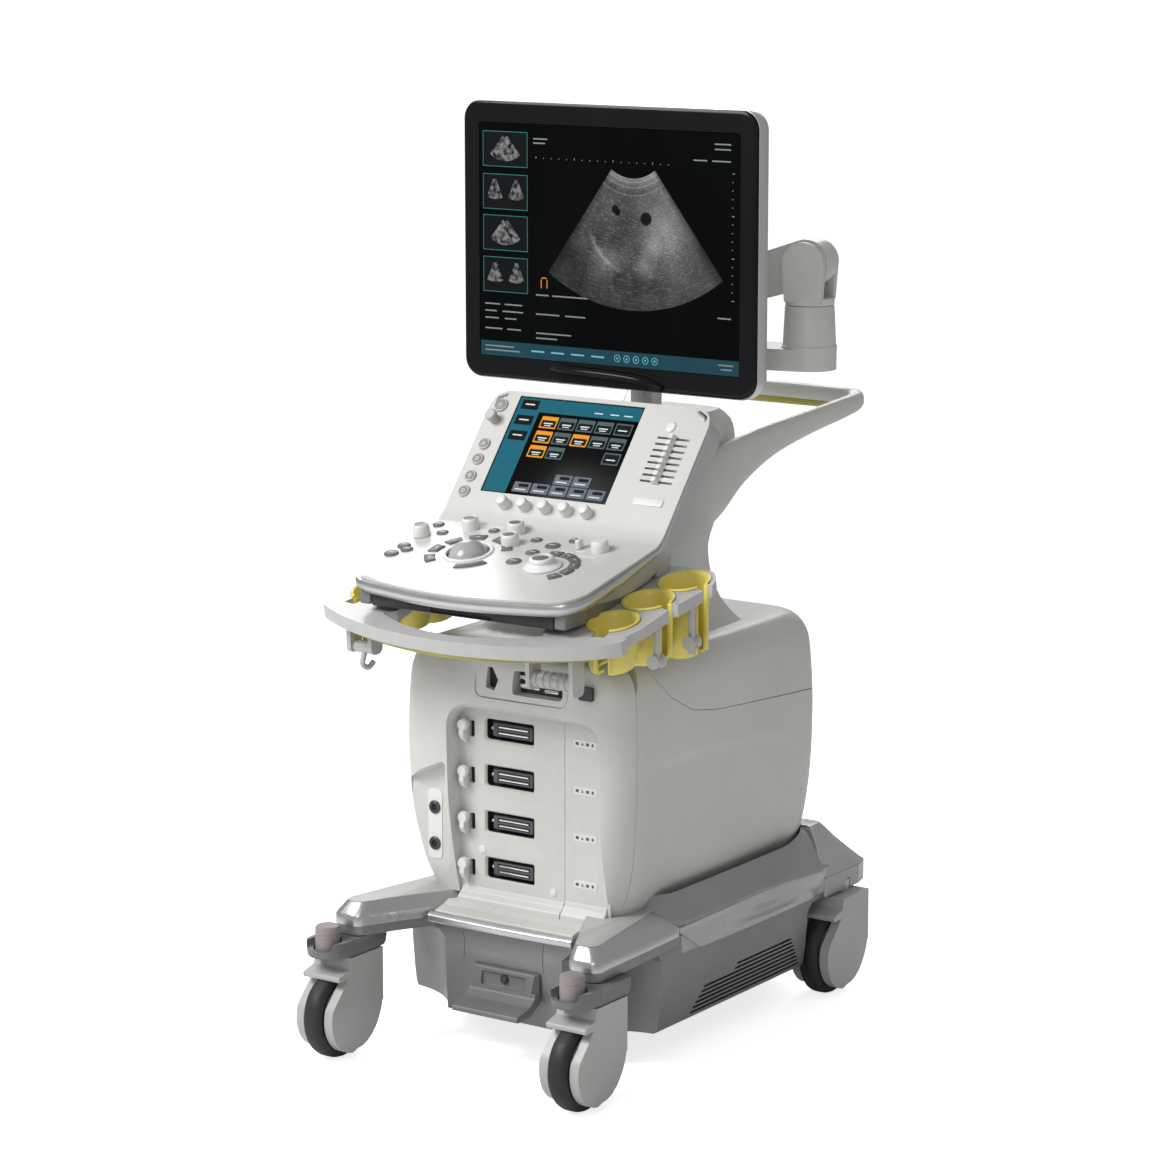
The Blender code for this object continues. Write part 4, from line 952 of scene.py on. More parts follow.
def build_levers():
    """A lock lever beside each port: a mushroom knob with a finger tab, and a near-black plate behind its
    slot as painted shade.
    """
    for k in range(4):
        z = port_z(k) + 0.004
        place = at(LEVER_X, PANEL_Y, z) @ FACING
        knob = turned(
            [
                (0, 0.0005), (0.0050, 0.0005), (0.0052, 0.0070), (0.0084, 0.0078), (0.0088, 0.0120),
                (0.0070, 0.0153), (0, 0.0157)
            ],
            28, place
        )
        tab = side_prism(
            rounded(
                [
                    (PANEL_Y - 0.015, z + 0.002, 0.002), (PANEL_Y - 0.0155, z - 0.014, 0.003),
                    (PANEL_Y - 0.011, z - 0.022, 0.002), (PANEL_Y - 0.004, z - 0.022, 0.001),
                    (PANEL_Y - 0.005, z + 0.002, 0.001)
                ],
                4
            ),
            LEVER_X - 0.0042, LEVER_X + 0.0036
        )
        arm = side_prism(
            rounded(
                [
                    (PANEL_Y - 0.0050, z - 0.004, 0.001), (PANEL_Y - 0.0070, z - 0.026, 0.002),
                    (PANEL_Y - 0.0010, z - 0.026, 0.001), (PANEL_Y - 0.0010, z - 0.004, 0.001)
                ],
                3
            ),
            LEVER_X - 0.0030, LEVER_X + 0.0028
        )
        emit(
            f"port_lever_knob_{k + 1}", gathered(soften(tab, 0.0008), arm, knob), "white",
            f"lever_{k + 1}", 0.0004, sharp=35.0, cad=f"port_lever_{k + 1}"
        )
    # near-black plates behind the lever slots: painted shade inside the slots
    lever_slot_shades = [
        block(
            (LEVER_X + 0.003, PANEL_Y + 0.0050, port_z(k) - 0.016),
            (LEVER_X + 0.0135, PANEL_Y + 0.0065, port_z(k) + 0.011)
        )
        for k in range(4)
    ]
    emit("lever_slot_backs", gathered(*lever_slot_shades), "gap", "base")


def build_front_marks():
    """Blank rating plates beside the ports, screw caps, jacks with near-black discs in their holes as painted
    shade, and the small plate by the media bay.
    """
    labels = []
    marks = []
    for k in range(4):
        z = port_z(k)
        labels.append(round_block(
            (0.090, PANEL_Y - 0.0006, z - 0.0055), (0.128, PANEL_Y + 0.0004, z + 0.0055), 0.0003, 1
        ))
        for j in range(4):
            x = 0.096 + 0.0085 * j
            wide = 0.0016 if j % 2 else 0.0024
            sign = box_outline(x - wide, x + wide, z - 0.002, z + 0.002)
            if j == 1:
                sign = [(x - wide, z - 0.0022), (x + wide, z - 0.0022), (x, z + 0.0024)]
            marks.append(front_prism(sign, PANEL_Y - 0.0009, PANEL_Y - 0.0005))
    emit("port_labels", gathered(*labels), "label", "base")
    emit("port_label_marks", gathered(*marks), "mark", "base")
    caps = []
    for x, z in ((-0.064, 0.283), (0.056, 0.240)):
        caps.append(turned(
            [(0, -0.001), (0.0058, -0.001), (0.0062, 0.0006), (0.0050, 0.0014), (0, 0.0016)], 28,
            at(x, PANEL_Y, z) @ FACING
        ))
    emit("screw_caps", gathered(*caps), "white", "base")
    plate = front_prism(oblong(-0.150, -0.126, 0.262, 0.362, 0.006, 4), -0.1758, -0.1740)
    emit("jack_plate", plate, "label", "base", 0.0005)
    collars = []
    # near-black discs in the jack holes: painted shade inside them
    jack_hole_shades = []
    for z in (0.336, 0.284):
        place = at(-0.138, -0.1755, z) @ FACING
        collars.append(turned(
            [(0.0050, 0.0), (0.0095, 0.0), (0.0095, 0.0018), (0.0080, 0.0030), (0.0050, 0.0024)], 32,
            place
        ))
        jack_hole_shades.append(drum(0.0055, 0.0004, 0.0008, 24, place))
    emit("jack_collars", gathered(*collars), "graphite", "base")
    emit("jack_hole_painted_shade", gathered(*jack_hole_shades), "gap", "base")
    blank = front_prism(oblong(0.120, 0.142, 0.5255, 0.5445, 0.002, 3), -0.1978, -0.1925)
    emit("bay_plate", blank, "graphite", "base", 0.0004)


def build_media_bay():
    """Behind the media bay's mouth: bright port shells on a graphite back."""
    back = front_prism(box_outline(0.008, 0.094, 0.517, 0.554), -0.1772, -0.1750)
    emit("media_bay_back", back, "graphite", "base")
    shells = []
    for x, wide, z, tall in (
        (0.020, 0.012, 0.542, 0.0055), (0.036, 0.010, 0.542, 0.006), (0.020, 0.012, 0.530, 0.006),
        (0.038, 0.016, 0.529, 0.005), (0.058, 0.016, 0.541, 0.008), (0.078, 0.014, 0.541, 0.006),
        (0.066, 0.022, 0.527, 0.005)
    ):
        outer = round_block(
            (x - wide / 2, -0.1840, z - tall / 2), (x + wide / 2, -0.1765, z + tall / 2), 0.0008, 2
        )
        inner = block(
            (x - wide / 2 + 0.0012, -0.19, z - tall / 2 + 0.0012),
            (x + wide / 2 - 0.0012, -0.1775, z + tall / 2 - 0.0012)
        )
        shells.append(cut(outer, inner))
    emit("media_bay_ports", gathered(*shells), "chrome", "base")
    # near-black plate behind the card slot: painted shade inside it
    slot = front_prism(box_outline(-0.036, -0.012, 0.5195, 0.5535), -0.1865, -0.1845)
    emit("card_slot_painted_shade", slot, "gap", "base")


def build_body():
    """Makes the covers and everything set into the front."""
    build_front_cover()
    build_side_covers()
    build_top_cover()
    build_port_panel()
    build_receptacles()
    build_levers()
    build_front_marks()
    build_media_bay()


# Base ---------------------------------------------------------------------------------------------

CASTOR_X = 0.205
SWIVEL_FRONT = -0.279
SWIVEL_REAR = 0.363
TRAIL = 0.038
WHEEL_R = 0.0625
WHEEL_W = 0.030
HOOD_W = 0.063
HOOD_SLOT = 0.035
HOOD_TOP = 0.1465
STEM_R = 0.012
HOUSING_TOP = 0.1715
BASE_LOW = 0.055
BASE_HALF = 0.2165
SLAB_LOW = 0.1503
CREASE_Z = 0.205
LEG_TOP = 0.218
# The leg from above, on the +X side: its outer edge and the flat cap on top, as (x, y, radius).
LEG_EDGE = (
    (0.092, -0.150, 0.006),
    (0.150, -0.250, 0.030),
    (0.178, -0.3065, 0.016),
    (0.2235, -0.3040, 0.016),
    (BASE_HALF, -0.080, 0.020),
    (0.100, -0.080, 0.004),
)
LEG_CAP = (
    (0.094, -0.136, 0.006),
    (0.158, -0.246, 0.030),
    (0.178, -0.292, 0.014),
    (0.2120, -0.2920, 0.014),
    (0.176, -0.092, 0.020),
    (0.104, -0.092, 0.004),
)
PEDAL_X = 0.007
LOUVRES = 8
LOUVRE_PITCH = 0.0062


def wells(extra=0.0):
    """The cutters of the round arches in which the castors turn."""
    made_wells = []
    for _, side in SIDES:
        for x, y, radius, top in (
            (0.215, -0.262, 0.130, HOUSING_TOP + 0.0003), (CASTOR_X, SWIVEL_REAR, 0.108, SLAB_LOW)
        ):
            profile = [
                (0, 0.0), (radius - extra, 0.0), (radius - extra, top - 0.012),
                (radius - 0.012 - extra, top), (0, top)
            ]
            made_wells.append(turned(profile, 72, at(side * x, y, 0)))
    return made_wells


def reflect(bm, side):
    """The solid as it is on the +X side, or its mirror image."""
    if side < 0:
        bm.transform(Matrix.Scale(-1, 4, (1, 0, 0)))
    return bm


def skirt_rows(inset):
    """Level loops up the skirt; with an inset, those of its hollow."""
    rows = []
    for z, tuck in (
        (BASE_LOW, 0.013), (0.0565, 0.010), (0.062, 0.0075), (0.085, 0.0045), (0.120, 0.0015),
        (SLAB_LOW, 0.0), (0.186, 0.0)
    ):
        half = [
            (0.2130 - tuck - inset, -0.2055 + tuck * 0.8 + inset, 0.012),
            (0.2130 - tuck - inset, 0.300, 0.030),
            (0.112, 0.382 - tuck - inset, 0.030),
        ]
        rows.append([Vector((x, y, z)) for x, y in rounded(mirrored(half), 8)])
    return rows


def build_skirt():
    """The lower skirt with its wheel arches, side louvres and the two grooves in its front."""
    skirt = skin(skirt_rows(0.0))
    hollow_rows = [[Vector((p.x, p.y, p.z - 0.012)) for p in row] for row in skirt_rows(0.005)]
    hollow = cut(skin(hollow_rows), *wells(-0.004))
    skirt = cut(skirt, *wells(), hollow)
    cutters = []
    for k in range(LOUVRES):
        z = 0.0625 + LOUVRE_PITCH * k
        start = -0.050 + 0.006 * k + (0.075 if k > 5 else 0.0)
        for _, side in SIDES:
            low, high = span(side, 0.200, 0.225)
            cutters.append(round_block((low, start, z), (high, 0.242 - 0.004 * k, z + 0.0034), 0.0012, 1))
    for _, side in SIDES:
        path = [
            (side * 0.070, -0.2056, 0.184), (side * 0.066, -0.2056, 0.150),
            (side * 0.074, -0.2046, 0.100), (side * 0.072, -0.201, 0.056)
        ]
        cutters.append(tube(curve_through(path, 6), 0.0012, 6, 1.0, Vector((0, 1, 0))))
    skirt = cut(skirt, *cutters)
    emit("base_skirt", skirt, "base_grey", "base", 0.0012, sharp=34.0, cad="base_cover")
    # near-black plates inside the louvres: painted shade behind the slots
    louvre_shade_plates = []
    for _, side in SIDES:
        low, high = span(side, 0.1985, 0.2005)
        louvre_shade_plates.append(block((low, -0.060, 0.060), (high, 0.250, 0.115)))
    emit("louvre_painted_shade", gathered(*louvre_shade_plates), "gap", "base")


def crease_drop(y):
    """How far the side's crease falls towards the rear."""
    return 0.010 * smooth((y - 0.18) / 0.14)


def body_line(y):
    """How far the shoulder climbs beside the rear of the body."""
    return 0.015 * smooth((y - 0.235) / 0.07)


def build_shoulder():
    """The sloping shoulder between the side's crease and the body, with the plain side under it."""
    rows = []
    profile = (
        (0.1560, 0.0035, 0),
        (0.1600, 0.0005, 0),
        (0.1950, 0.0000, 0),
        (0.2030, 0.0004, 1),
        (CREASE_Z, 0.0016, 1),
        (0.2100, 0.0066, 1),
        (0.2280, 0.0245, 2),
        (0.2345, 0.0290, 2),
        (0.2360, 0.0320, 2),
        (0.2300, 0.0345, 2),
        (0.2050, 0.0360, 0),
    )
    for z, inset, kind in profile:
        ring = round_ring(
            BASE_HALF - inset, -0.116 + inset * 0.6, 0.345 - inset * 0.8, z, 0.045, 0.001, 30, 7, 10,
            0.050
        )
        for point in ring:
            point.z -= crease_drop(point.y) if kind == 1 else 0.0
            point.z += body_line(point.y) if kind == 2 else 0.0
        rows.append(ring)
    bm = skin(rows, caps=False)
    top, low = rows[-1], rows[0]
    verts = {tuple(round(c, 6) for c in v.co): v for v in bm.verts}
    upper = [verts[tuple(round(c, 6) for c in p)] for p in top]
    lower = [verts[tuple(round(c, 6) for c in p)] for p in low]
    for i in range(len(upper)):
        j = (i + 1) % len(upper)
        bm.faces.new((upper[i], upper[j], lower[j], lower[i]))
    groove_lines = []
    for _, side in SIDES:
        line = [(side * (BASE_HALF + 0.0006), y, z) for y, z in pocket_outline(0.0012)]
        groove_lines.append(tube(line, 0.0011, 6, 1.0, Vector((1, 0, 0)), closed=True))
    shoulder = cut(bm, *wells(), *groove_lines)
    emit("base_shoulder", shoulder, "base_light", "base", 0.0010, sharp=34.0)


def pocket_outline(grow):
    """The edge of a side pocket, as (y, z)."""
    return rounded(
        [
            (-0.104 - grow, 0.1985 + grow, 0.004),
            (-0.040 - grow, 0.1585 - grow, 0.030),
            (0.050, 0.1570 - grow, 0.20),
            (0.268 + grow, 0.1570 - grow, 0.030),
            (0.304 + grow, 0.1915 + grow, 0.006),
            (0.180, 0.2010 + grow, 0.15),
        ],
        8,
    )


def build_side_pockets():
    """The glossy darker panel let into each side, with a lens-shaped hollow in it."""
    for word, side in SIDES:
        rows = []
        for x, grow in ((BASE_HALF - 0.0012, 0.0), (BASE_HALF + 0.0004, 0.0), (BASE_HALF + 0.0008, -0.0010)):
            rows.append([Vector((side * x, y, z)) for y, z in pocket_outline(grow)])
        lens = turned([(0, -0.0012), (0.060, -0.0004), (0.075, 0.0016), (0, 0.0016)], 64)
        lens.transform(Matrix.Diagonal((1.45, 0.20, 1.0, 1.0)))
        spin = Matrix(((0, 0, side, 0), (1, 0, 0, 0), (0, 1, 0, 0), (0, 0, 0, 1)))
        tilt = Matrix.Rotation(math.radians(side * -2.0), 4, "X")
        tip = at(side * (BASE_HALF + 0.0006), 0.135, 0.1770) @ tilt
        lens.transform(tip @ spin)
        emit(f"side_pocket_{word}", cut(skin(rows), lens), "base_dark", "base")


def ring_at(corners, z):
    """A level loop of points through rounded plan corners."""
    return [Vector((x, y, z)) for x, y in rounded(corners, 7)]


def leg_between(share, radius_from):
    """Plan corners part of the way from a leg's outer edge to its cap."""
    corners = []
    for edge, cap, (_, _, radius) in zip(LEG_EDGE, LEG_CAP, radius_from):
        corners.append((edge[0] + (cap[0] - edge[0]) * share, edge[1] + (cap[1] - edge[1]) * share, radius))
    return corners


def build_legs():
    """Each front leg: a grey underside, a bright bevelled edge and a matt cap plate."""
    for word, side in SIDES:
        under = skin([ring_at([(x, y + 0.0012, r) for x, y, r in LEG_EDGE], z) for z in (0.1722, 0.1885)])
        under = cut(under, drum(STEM_R + 0.0006, 0.1, 0.181, 32, at(CASTOR_X, SWIVEL_FRONT, 0)))
        emit(
            f"leg_underside_{word}", reflect(under, side), "base_grey", "base", 0.0015, sharp=34.0,
        )
        rows = [ring_at(LEG_EDGE, 0.1862), ring_at(LEG_EDGE, 0.1985)]
        rows.append(ring_at(leg_between(0.12, LEG_EDGE), 0.2020))
        rows.append(ring_at(leg_between(0.90, LEG_CAP), 0.2166))
        rows.append(ring_at(LEG_CAP, LEG_TOP))
        emit(f"leg_bevel_{word}", reflect(skin(rows), side), "silver", "base", sharp=50.0)
        shrunk = [(x + (0.150 - x) * 0.03, y + (-0.19 - y) * 0.012, r) for x, y, r in LEG_CAP]
        levels_up = ((LEG_CAP, -0.0004), (LEG_CAP, 0.0006), (shrunk, 0.0012))
        cap = skin([ring_at(corners, LEG_TOP + up) for corners, up in levels_up])
        emit(f"leg_cap_{word}", reflect(cap, side), "cap_grey", "base", sharp=50.0)


# A rear corner from above, on the +X side, as (x, y, radius).
REAR_CORNER = (
    (0.135, 0.300, 0.004), (0.2163, 0.300, 0.004), (0.2163, 0.395, 0.030), (0.206, 0.4330, 0.020),
    (0.165, 0.4365, 0.020), (0.130, 0.390, 0.020)
)


def build_rear_corners():
    """The rear corners over the castors: a grey side and a bright cap that slopes down to the tip."""
    for word, side in SIDES:
        lower = skin([
            ring_at(REAR_CORNER, SLAB_LOW), ring_at(REAR_CORNER, 0.1600), ring_at(REAR_CORNER, 0.1790)
        ])
        lower = cut(lower, drum(STEM_R + 0.0006, 0.1, 0.165, 32, at(CASTOR_X, SWIVEL_REAR, 0)))
        emit(
            f"rear_corner_side_{word}", reflect(lower, side), "base_light", "base", 0.0015, sharp=34.0,
        )
        rows = []
        for z, x_in, y_in in (
            (0.1794, 0.0, 0.0), (0.1830, 0.003, 0.006), (0.2000, 0.008, 0.032), (0.2250, 0.016, 0.068),
            (0.2480, 0.024, 0.096), (0.2530, 0.028, 0.102), (0.2535, 0.034, 0.108)
        ):
            corners = []
            for x, y, radius in REAR_CORNER:
                new_x = 0.15 + (x - 0.15) * (1 - x_in / 0.0663) if x > 0.15 else x
                new_y = 0.300 + (y - 0.300) * (1 - y_in / 0.1365)
                corners.append((new_x, new_y, max(0.002, radius * (1 - y_in / 0.13))))
            rows.append(ring_at(corners, z))
        emit(
            f"rear_corner_cap_{word}", reflect(skin(rows), side), "silver", "base", 0.0008, sharp=34.0,
        )
    bridge = []
    for z, inset in (
        (0.158, 0.0), (0.176, 0.0), (0.196, 0.010), (0.214, 0.024), (0.222, 0.034), (0.2225, 0.040)
    ):
        bridge.append([
            Vector((x, y, z))
            for x, y in (
                (-0.150, 0.300), (0.150, 0.300), (0.150, 0.392 - inset), (0.0, 0.386 - inset),
                (-0.150, 0.392 - inset)
            )
        ])
    emit("rear_bridge", cut(skin(bridge), *wells()), "base_grey", "base", 0.0030, 3, 30.0)


def build_front_trim():
    """The bright band between the legs, with the pale ledge behind it."""
    profile = rounded(
        [
            (-0.2085, 0.1835, 0.001), (-0.2085, 0.1965, 0.002), (-0.2160, 0.1975, 0.004),
            (-0.2222, 0.1925, 0.004), (-0.2215, 0.1840, 0.003), (-0.2160, 0.1815, 0.002)
        ],
        5
    )
    rows = []
    for x in levels(-0.121, 0.121, 0.011):
        dip = 0.004 * (1 - (x / 0.121) ** 2)
        rows.append([Vector((x, y + 0.004 - dip, z)) for y, z in profile])
    emit("front_trim_bar", skin(rows), "silver", "base", cad="front_trim_band")
    ledge = side_prism(
        rounded(
            [
                (-0.150, 0.2080, 0.0),
                (-0.1790, 0.2080, 0.0),
                (-0.1880, 0.2020, 0.010),
                (-0.2075, 0.1985, 0.003),
                (-0.2082, 0.1862, 0.0),
                (-0.150, 0.1862, 0.0),
            ],
            5,
        ),
        -0.116,
        0.116,
    )
    emit("front_ledge", ledge, "shell_warm", "base", 0.0008, sharp=34.0)


def build_foot_pedal():
    """The centre foot pedal: an upright plate, a tongue for the toe and a near-black dome that stands for the
    round hole above it, as painted shade.
    """
    profile = rounded(
        [
            (-0.2058, 0.134, 0.001), (-0.2058, 0.094, 0.003), (-0.2300, 0.0795, 0.004),
            (-0.2615, 0.0780, 0.003), (-0.2620, 0.0860, 0.004), (-0.2320, 0.0925, 0.006),
            (-0.2190, 0.1020, 0.005), (-0.2140, 0.1340, 0.003)
        ],
        5
    )
    pedal = side_prism(profile, -0.048, 0.062)
    taper = []
    for side in (-1, 1):
        edge = PEDAL_X + side * 0.055
        ends = ((0.020, -0.28), (0.002, -0.206), (-0.010, -0.222), (-0.006, -0.28))
        corners = [(edge + side * away, y) for away, y in ends]
        if side < 0:
            corners = corners[:1] + corners[:0:-1]
        taper.append(flat_prism(corners, 0.108, 0.15))
    recess = round_block((-0.030, -0.222, 0.108), (0.044, -0.2125, 0.128), 0.003, 2)
    pedal = cut(pedal, *taper, recess)
    emit(
        "foot_pedal_plate", pedal, "housing", "foot_pedal", 0.0016, 3, 30.0,
        cad="foot_pedal"
    )
    # a near-black dome in the recess: painted shade of the round hole above the pedal
    place = at(PEDAL_X, -0.2130, 0.1200) @ FACING
    hole_shade_dome = turned([(0, -0.002), (0.0062, -0.002), (0.0066, 0.0015), (0.0050, 0.0038), (0, 0.0044)], 32, place)
    emit("foot_pedal_hole_shade", hole_shade_dome, "graphite", "foot_pedal")


# Castors ------------------------------------------------------------------------------------------


def cheek_outline(swivel_y):
    """The castor's cheek from the side: a disc round the axle that runs up into the top block."""
    axle = swivel_y - TRAIL
    points = [(swivel_y + 0.027, HOOD_TOP), (swivel_y + 0.027, 0.090)]
    for k in range(1, 9):
        t = math.radians(90 * k / 8)
        points.append((swivel_y - 0.033 + 0.060 * math.cos(t), 0.088 - 0.074 * math.sin(t)))
    for k in range(12):
        t = math.radians(-96 - 104 * k / 11)
        points.append((axle + 0.0515 * math.cos(t), WHEEL_R + 0.0520 * math.sin(t)))
    neck = [(swivel_y - 0.078, 0.090), (swivel_y - 0.060, 0.1085), (swivel_y - 0.052, 0.1185)]
    points += neck
    points.append((swivel_y - 0.045, HOOD_TOP))
    return points


def build_castor(place, word, side, swivel_y):
    """One castor: a soft-edged hood with two cheeks and a visor, and a tyred wheel between them."""
    x = side * CASTOR_X
    cheeks = []
    for direction in (-1, 1):
        low, high = sorted((x + direction * HOOD_SLOT / 2, x + direction * HOOD_W / 2))
        cheeks.append(side_prism(cheek_outline(swivel_y), low, high))
    top = side_prism(
        rounded(
            [
                (swivel_y + 0.027, HOOD_TOP, 0.0),
                (swivel_y + 0.027, 0.120, 0.0),
                (swivel_y - 0.040, 0.1195, 0.004),
                (swivel_y - 0.072, 0.1170, 0.002),
                (swivel_y - 0.0735, 0.1245, 0.003),
                (swivel_y - 0.0480, 0.1310, 0.006),
                (swivel_y - 0.0440, HOOD_TOP, 0.002),
            ],
            5,
        ),
        x - HOOD_W / 2,
        x + HOOD_W / 2,
    )
    rear = side_prism(
        [
            (swivel_y + 0.027, 0.130), (swivel_y + 0.027, 0.070), (swivel_y + 0.0245, 0.070),
            (swivel_y + 0.0245, 0.130)
        ],
        x - HOOD_W / 2, x + HOOD_W / 2
    )
    hood = joined(top, *cheeks, rear)
    emit(
        f"castor_hood_{place}_{word}", hood, "hood", f"castor_{place}_{word}", 0.0042, 4, 34.0,
        cad=f"castor_fork_{place}_{word}"
    )
    stem = turned(
        [(0, 0.1455), (STEM_R, 0.1455), (STEM_R, 0.163), (STEM_R - 0.001, 0.1645), (0, 0.1645)], 32,
        at(x, swivel_y, 0)
    )
    emit(f"castor_stem_{place}_{word}", stem, "steel", f"castor_{place}_{word}")
    spin = at(x, swivel_y - TRAIL, WHEEL_R) @ SIDEWAYS
    axle = drum(0.0060, -0.0300, 0.0300, 24, spin)
    emit(f"castor_axle_{place}_{word}", axle, "steel", f"castor_{place}_{word}")
    half = WHEEL_W / 2
    tyre_profile = [
        (0.0440, half - 0.003), (0.0520, half), (0.0575, half - 0.0014), (0.0610, half - 0.0048),
        (WHEEL_R - 0.0002, 0.0065), (WHEEL_R, 0.0)
    ]
    lower = [(r, -h) for r, h in reversed(tyre_profile[:-1])]
    tyre = turned(tyre_profile + lower, 72, spin)
    emit(
        f"castor_tyre_{place}_{word}", tyre, "tyre", f"wheel_{place}_{word}",
        cad=f"castor_wheel_{place}_{word}"
    )
    hub_profile = [
        (0.0063, 0.0130), (0.0120, 0.0135), (0.0140, 0.0095), (0.0360, 0.0085), (0.0400, 0.0120),
        (0.0445, 0.0125)
    ]
    hub = turned(hub_profile + [(r, -h) for r, h in reversed(hub_profile)], 48, spin)
    emit(f"castor_hub_{place}_{word}", hub, "hood", f"wheel_{place}_{word}", 0.0005, sharp=30.0)


def build_housing(word, side):
    """The dark housing over a front castor: its front wall dips round the brake cap."""
    x = side * CASTOR_X
    outline = rounded(
        [
            (x - 0.032, -0.236, 0.012),
            (x + 0.032, -0.236, 0.012),
            (x + 0.0325, -0.312, 0.010),
            (x + 0.0275, -0.361, 0.024),
            (x - 0.0275, -0.361, 0.024),
            (x - 0.0325, -0.312, 0.010),
        ],
        9,
    )
    rows = []
    for z, grow in ((HOOD_TOP + 0.0015, 0.93), (0.1510, 0.975), (0.1600, 1.0), (HOUSING_TOP, 1.0)):
        rows.append([Vector((x + (a - x) * grow, -0.30 + (b + 0.30) * grow, z)) for a, b in outline])
    solid = skin(rows)
    nose = at(x, -0.336, 0)
    seat = turned([(0, 0.1490), (0.0198, 0.1490), (0.0204, 0.1800), (0, 0.1800)], 40, nose)
    bore = drum(STEM_R + 0.0006, 0.14, 0.1735, 32, at(x, SWIVEL_FRONT, 0))
    dip = front_prism(
        rounded(
            [
                (x - 0.026, 0.180, 0.0), (x - 0.020, 0.1600, 0.008), (x + 0.020, 0.1600, 0.008),
                (x + 0.026, 0.180, 0.0)
            ],
            6
        ),
        -0.380, -0.330
    )
    emit(
        f"castor_housing_cover_{word}", cut(solid, seat, bore, dip), "housing", "base", 0.0016, 3,
        cad=f"castor_housing_{word}"
    )
    cap = [
        (0, 0.1550), (0.0160, 0.1550), (0.0172, 0.1562), (0.0174, 0.1795), (0.0168, 0.1800),
        (0.0168, 0.1808), (0.0173, 0.1813), (0.0170, 0.1895), (0.0160, 0.1918), (0.0135, 0.1930),
        (0, 0.1934)
    ]
    trim = flat_prism(box_outline(x - 0.03, x + 0.03, -0.3165, -0.29), 0.15, 0.21)
    pedal = cut(turned(cap, 48, nose), trim)
    emit(
        f"brake_cap_{word}", pedal, "pedal", f"brake_{word}", 0.0005, sharp=34.0,
        cad=f"brake_pedal_{word}"
    )


def build_base():
    """Makes the base, the foot pedal and the castors."""
    build_skirt()
    build_shoulder()
    build_side_pockets()
    build_legs()
    build_rear_corners()
    build_front_trim()
    build_foot_pedal()
    for word, side in SIDES:
        build_castor("front", word, side, SWIVEL_FRONT)
        build_castor("rear", word, side, SWIVEL_REAR)
        build_housing(word, side)


# Console ------------------------------------------------------------------------------------------

CONSOLE_HALF = 0.186
CORNER_LONG = 0.056  # the deck's front corners, along Y
CORNER_WIDE = 0.044  # the same along X
SPIGOT_Y = -0.030  # the axis that the console swivels on
DECK_TILT = math.radians(12.5)
DECK_POINT = Vector((0.0, -0.084, 0.7328))
DECK_FRONT = -0.330
PANEL_TILT = math.radians(50.7)
TOUCH_CENTRE = Vector((-0.032, -0.0155, 0.830))
TOUCH_W = 0.211
TOUCH_H = 0.158
PANEL_HIGH = 0.086
TRACKBALL_R = 0.030
TRACKBALL_AT = (-0.063, -0.196)
ENCODER_AT = (0.071, -0.211)
MENU_KNOBS_X = (-0.086, -0.052, -0.017, 0.018, 0.052)
MENU_KNOB_UP = -0.0965
TGC_X = 0.138
TGC_ROWS = 8
TGC_PITCH = 0.0099
TGC_TOP = 0.034


def deck_place(x, y, lift=0.0):
    """A place on the deck: local Z is its normal, local X runs across it."""
    z = DECK_POINT.z + (y - DECK_POINT.y) * math.tan(DECK_TILT)
    normal = Vector((0, -math.sin(DECK_TILT), math.cos(DECK_TILT)))
    return Matrix.Translation(Vector((x, y, z)) + normal * lift) @ Matrix.Rotation(DECK_TILT, 4, "X")


def panel_place(x, up, lift=0.0):
    """A place on the upper panel: up is along its slope from the touch screen's centre."""
    along = Vector((0, math.cos(PANEL_TILT), math.sin(PANEL_TILT)))
    out = Vector((0, -math.sin(PANEL_TILT), math.cos(PANEL_TILT)))
    spot = Vector((x, TOUCH_CENTRE.y, TOUCH_CENTRE.z)) + along * up + out * lift
    return Matrix.Translation(spot) @ Matrix.Rotation(PANEL_TILT, 4, "X")


def console_line():
    """The console's top surface from the side: the deck, a round bend, and the panel, as (y, z)."""
    bend = Vector((-0.103, deck_place(0, -0.103).translation.z))
    foot = panel_place(0, -0.116).translation
    corners = [
        (DECK_FRONT, deck_place(0, DECK_FRONT).translation.z, 0.0),
        (bend.x, bend.y, 0.030),
        (foot.y, foot.z, 0.045),
        (panel_place(0, PANEL_HIGH).translation.y, panel_place(0, PANEL_HIGH).translation.z, 0.0),
    ]
    closed_line = rounded([*corners, (0.2, 0.2, 0.0)], 8)
    return closed_line[:-1]


def along_line(line, count):
    """Evenly spaced points along a line."""
    points = [Vector(p) for p in line]
    marks = [0.0]
    for a, b in zip(points, points[1:]):
        marks.append(marks[-1] + (b - a).length)
    spaced = []
    for k in range(count + 1):
        goal = marks[-1] * k / count
        i = max(j for j in range(len(marks) - 1) if marks[j] <= goal + 1e-9)
        t = (goal - marks[i]) / (marks[i + 1] - marks[i])
        spaced.append(points[i].lerp(points[i + 1], t))
    return spaced


def half_at(y):
    """The console's half width: full, with a round corner at the front of the deck."""
    front = y - DECK_FRONT
    if front >= CORNER_LONG:
        return CONSOLE_HALF
    share = (CORNER_LONG - front) / CORNER_LONG
    return CONSOLE_HALF - CORNER_WIDE + CORNER_WIDE * math.sqrt(max(0.0, 1 - share**2))


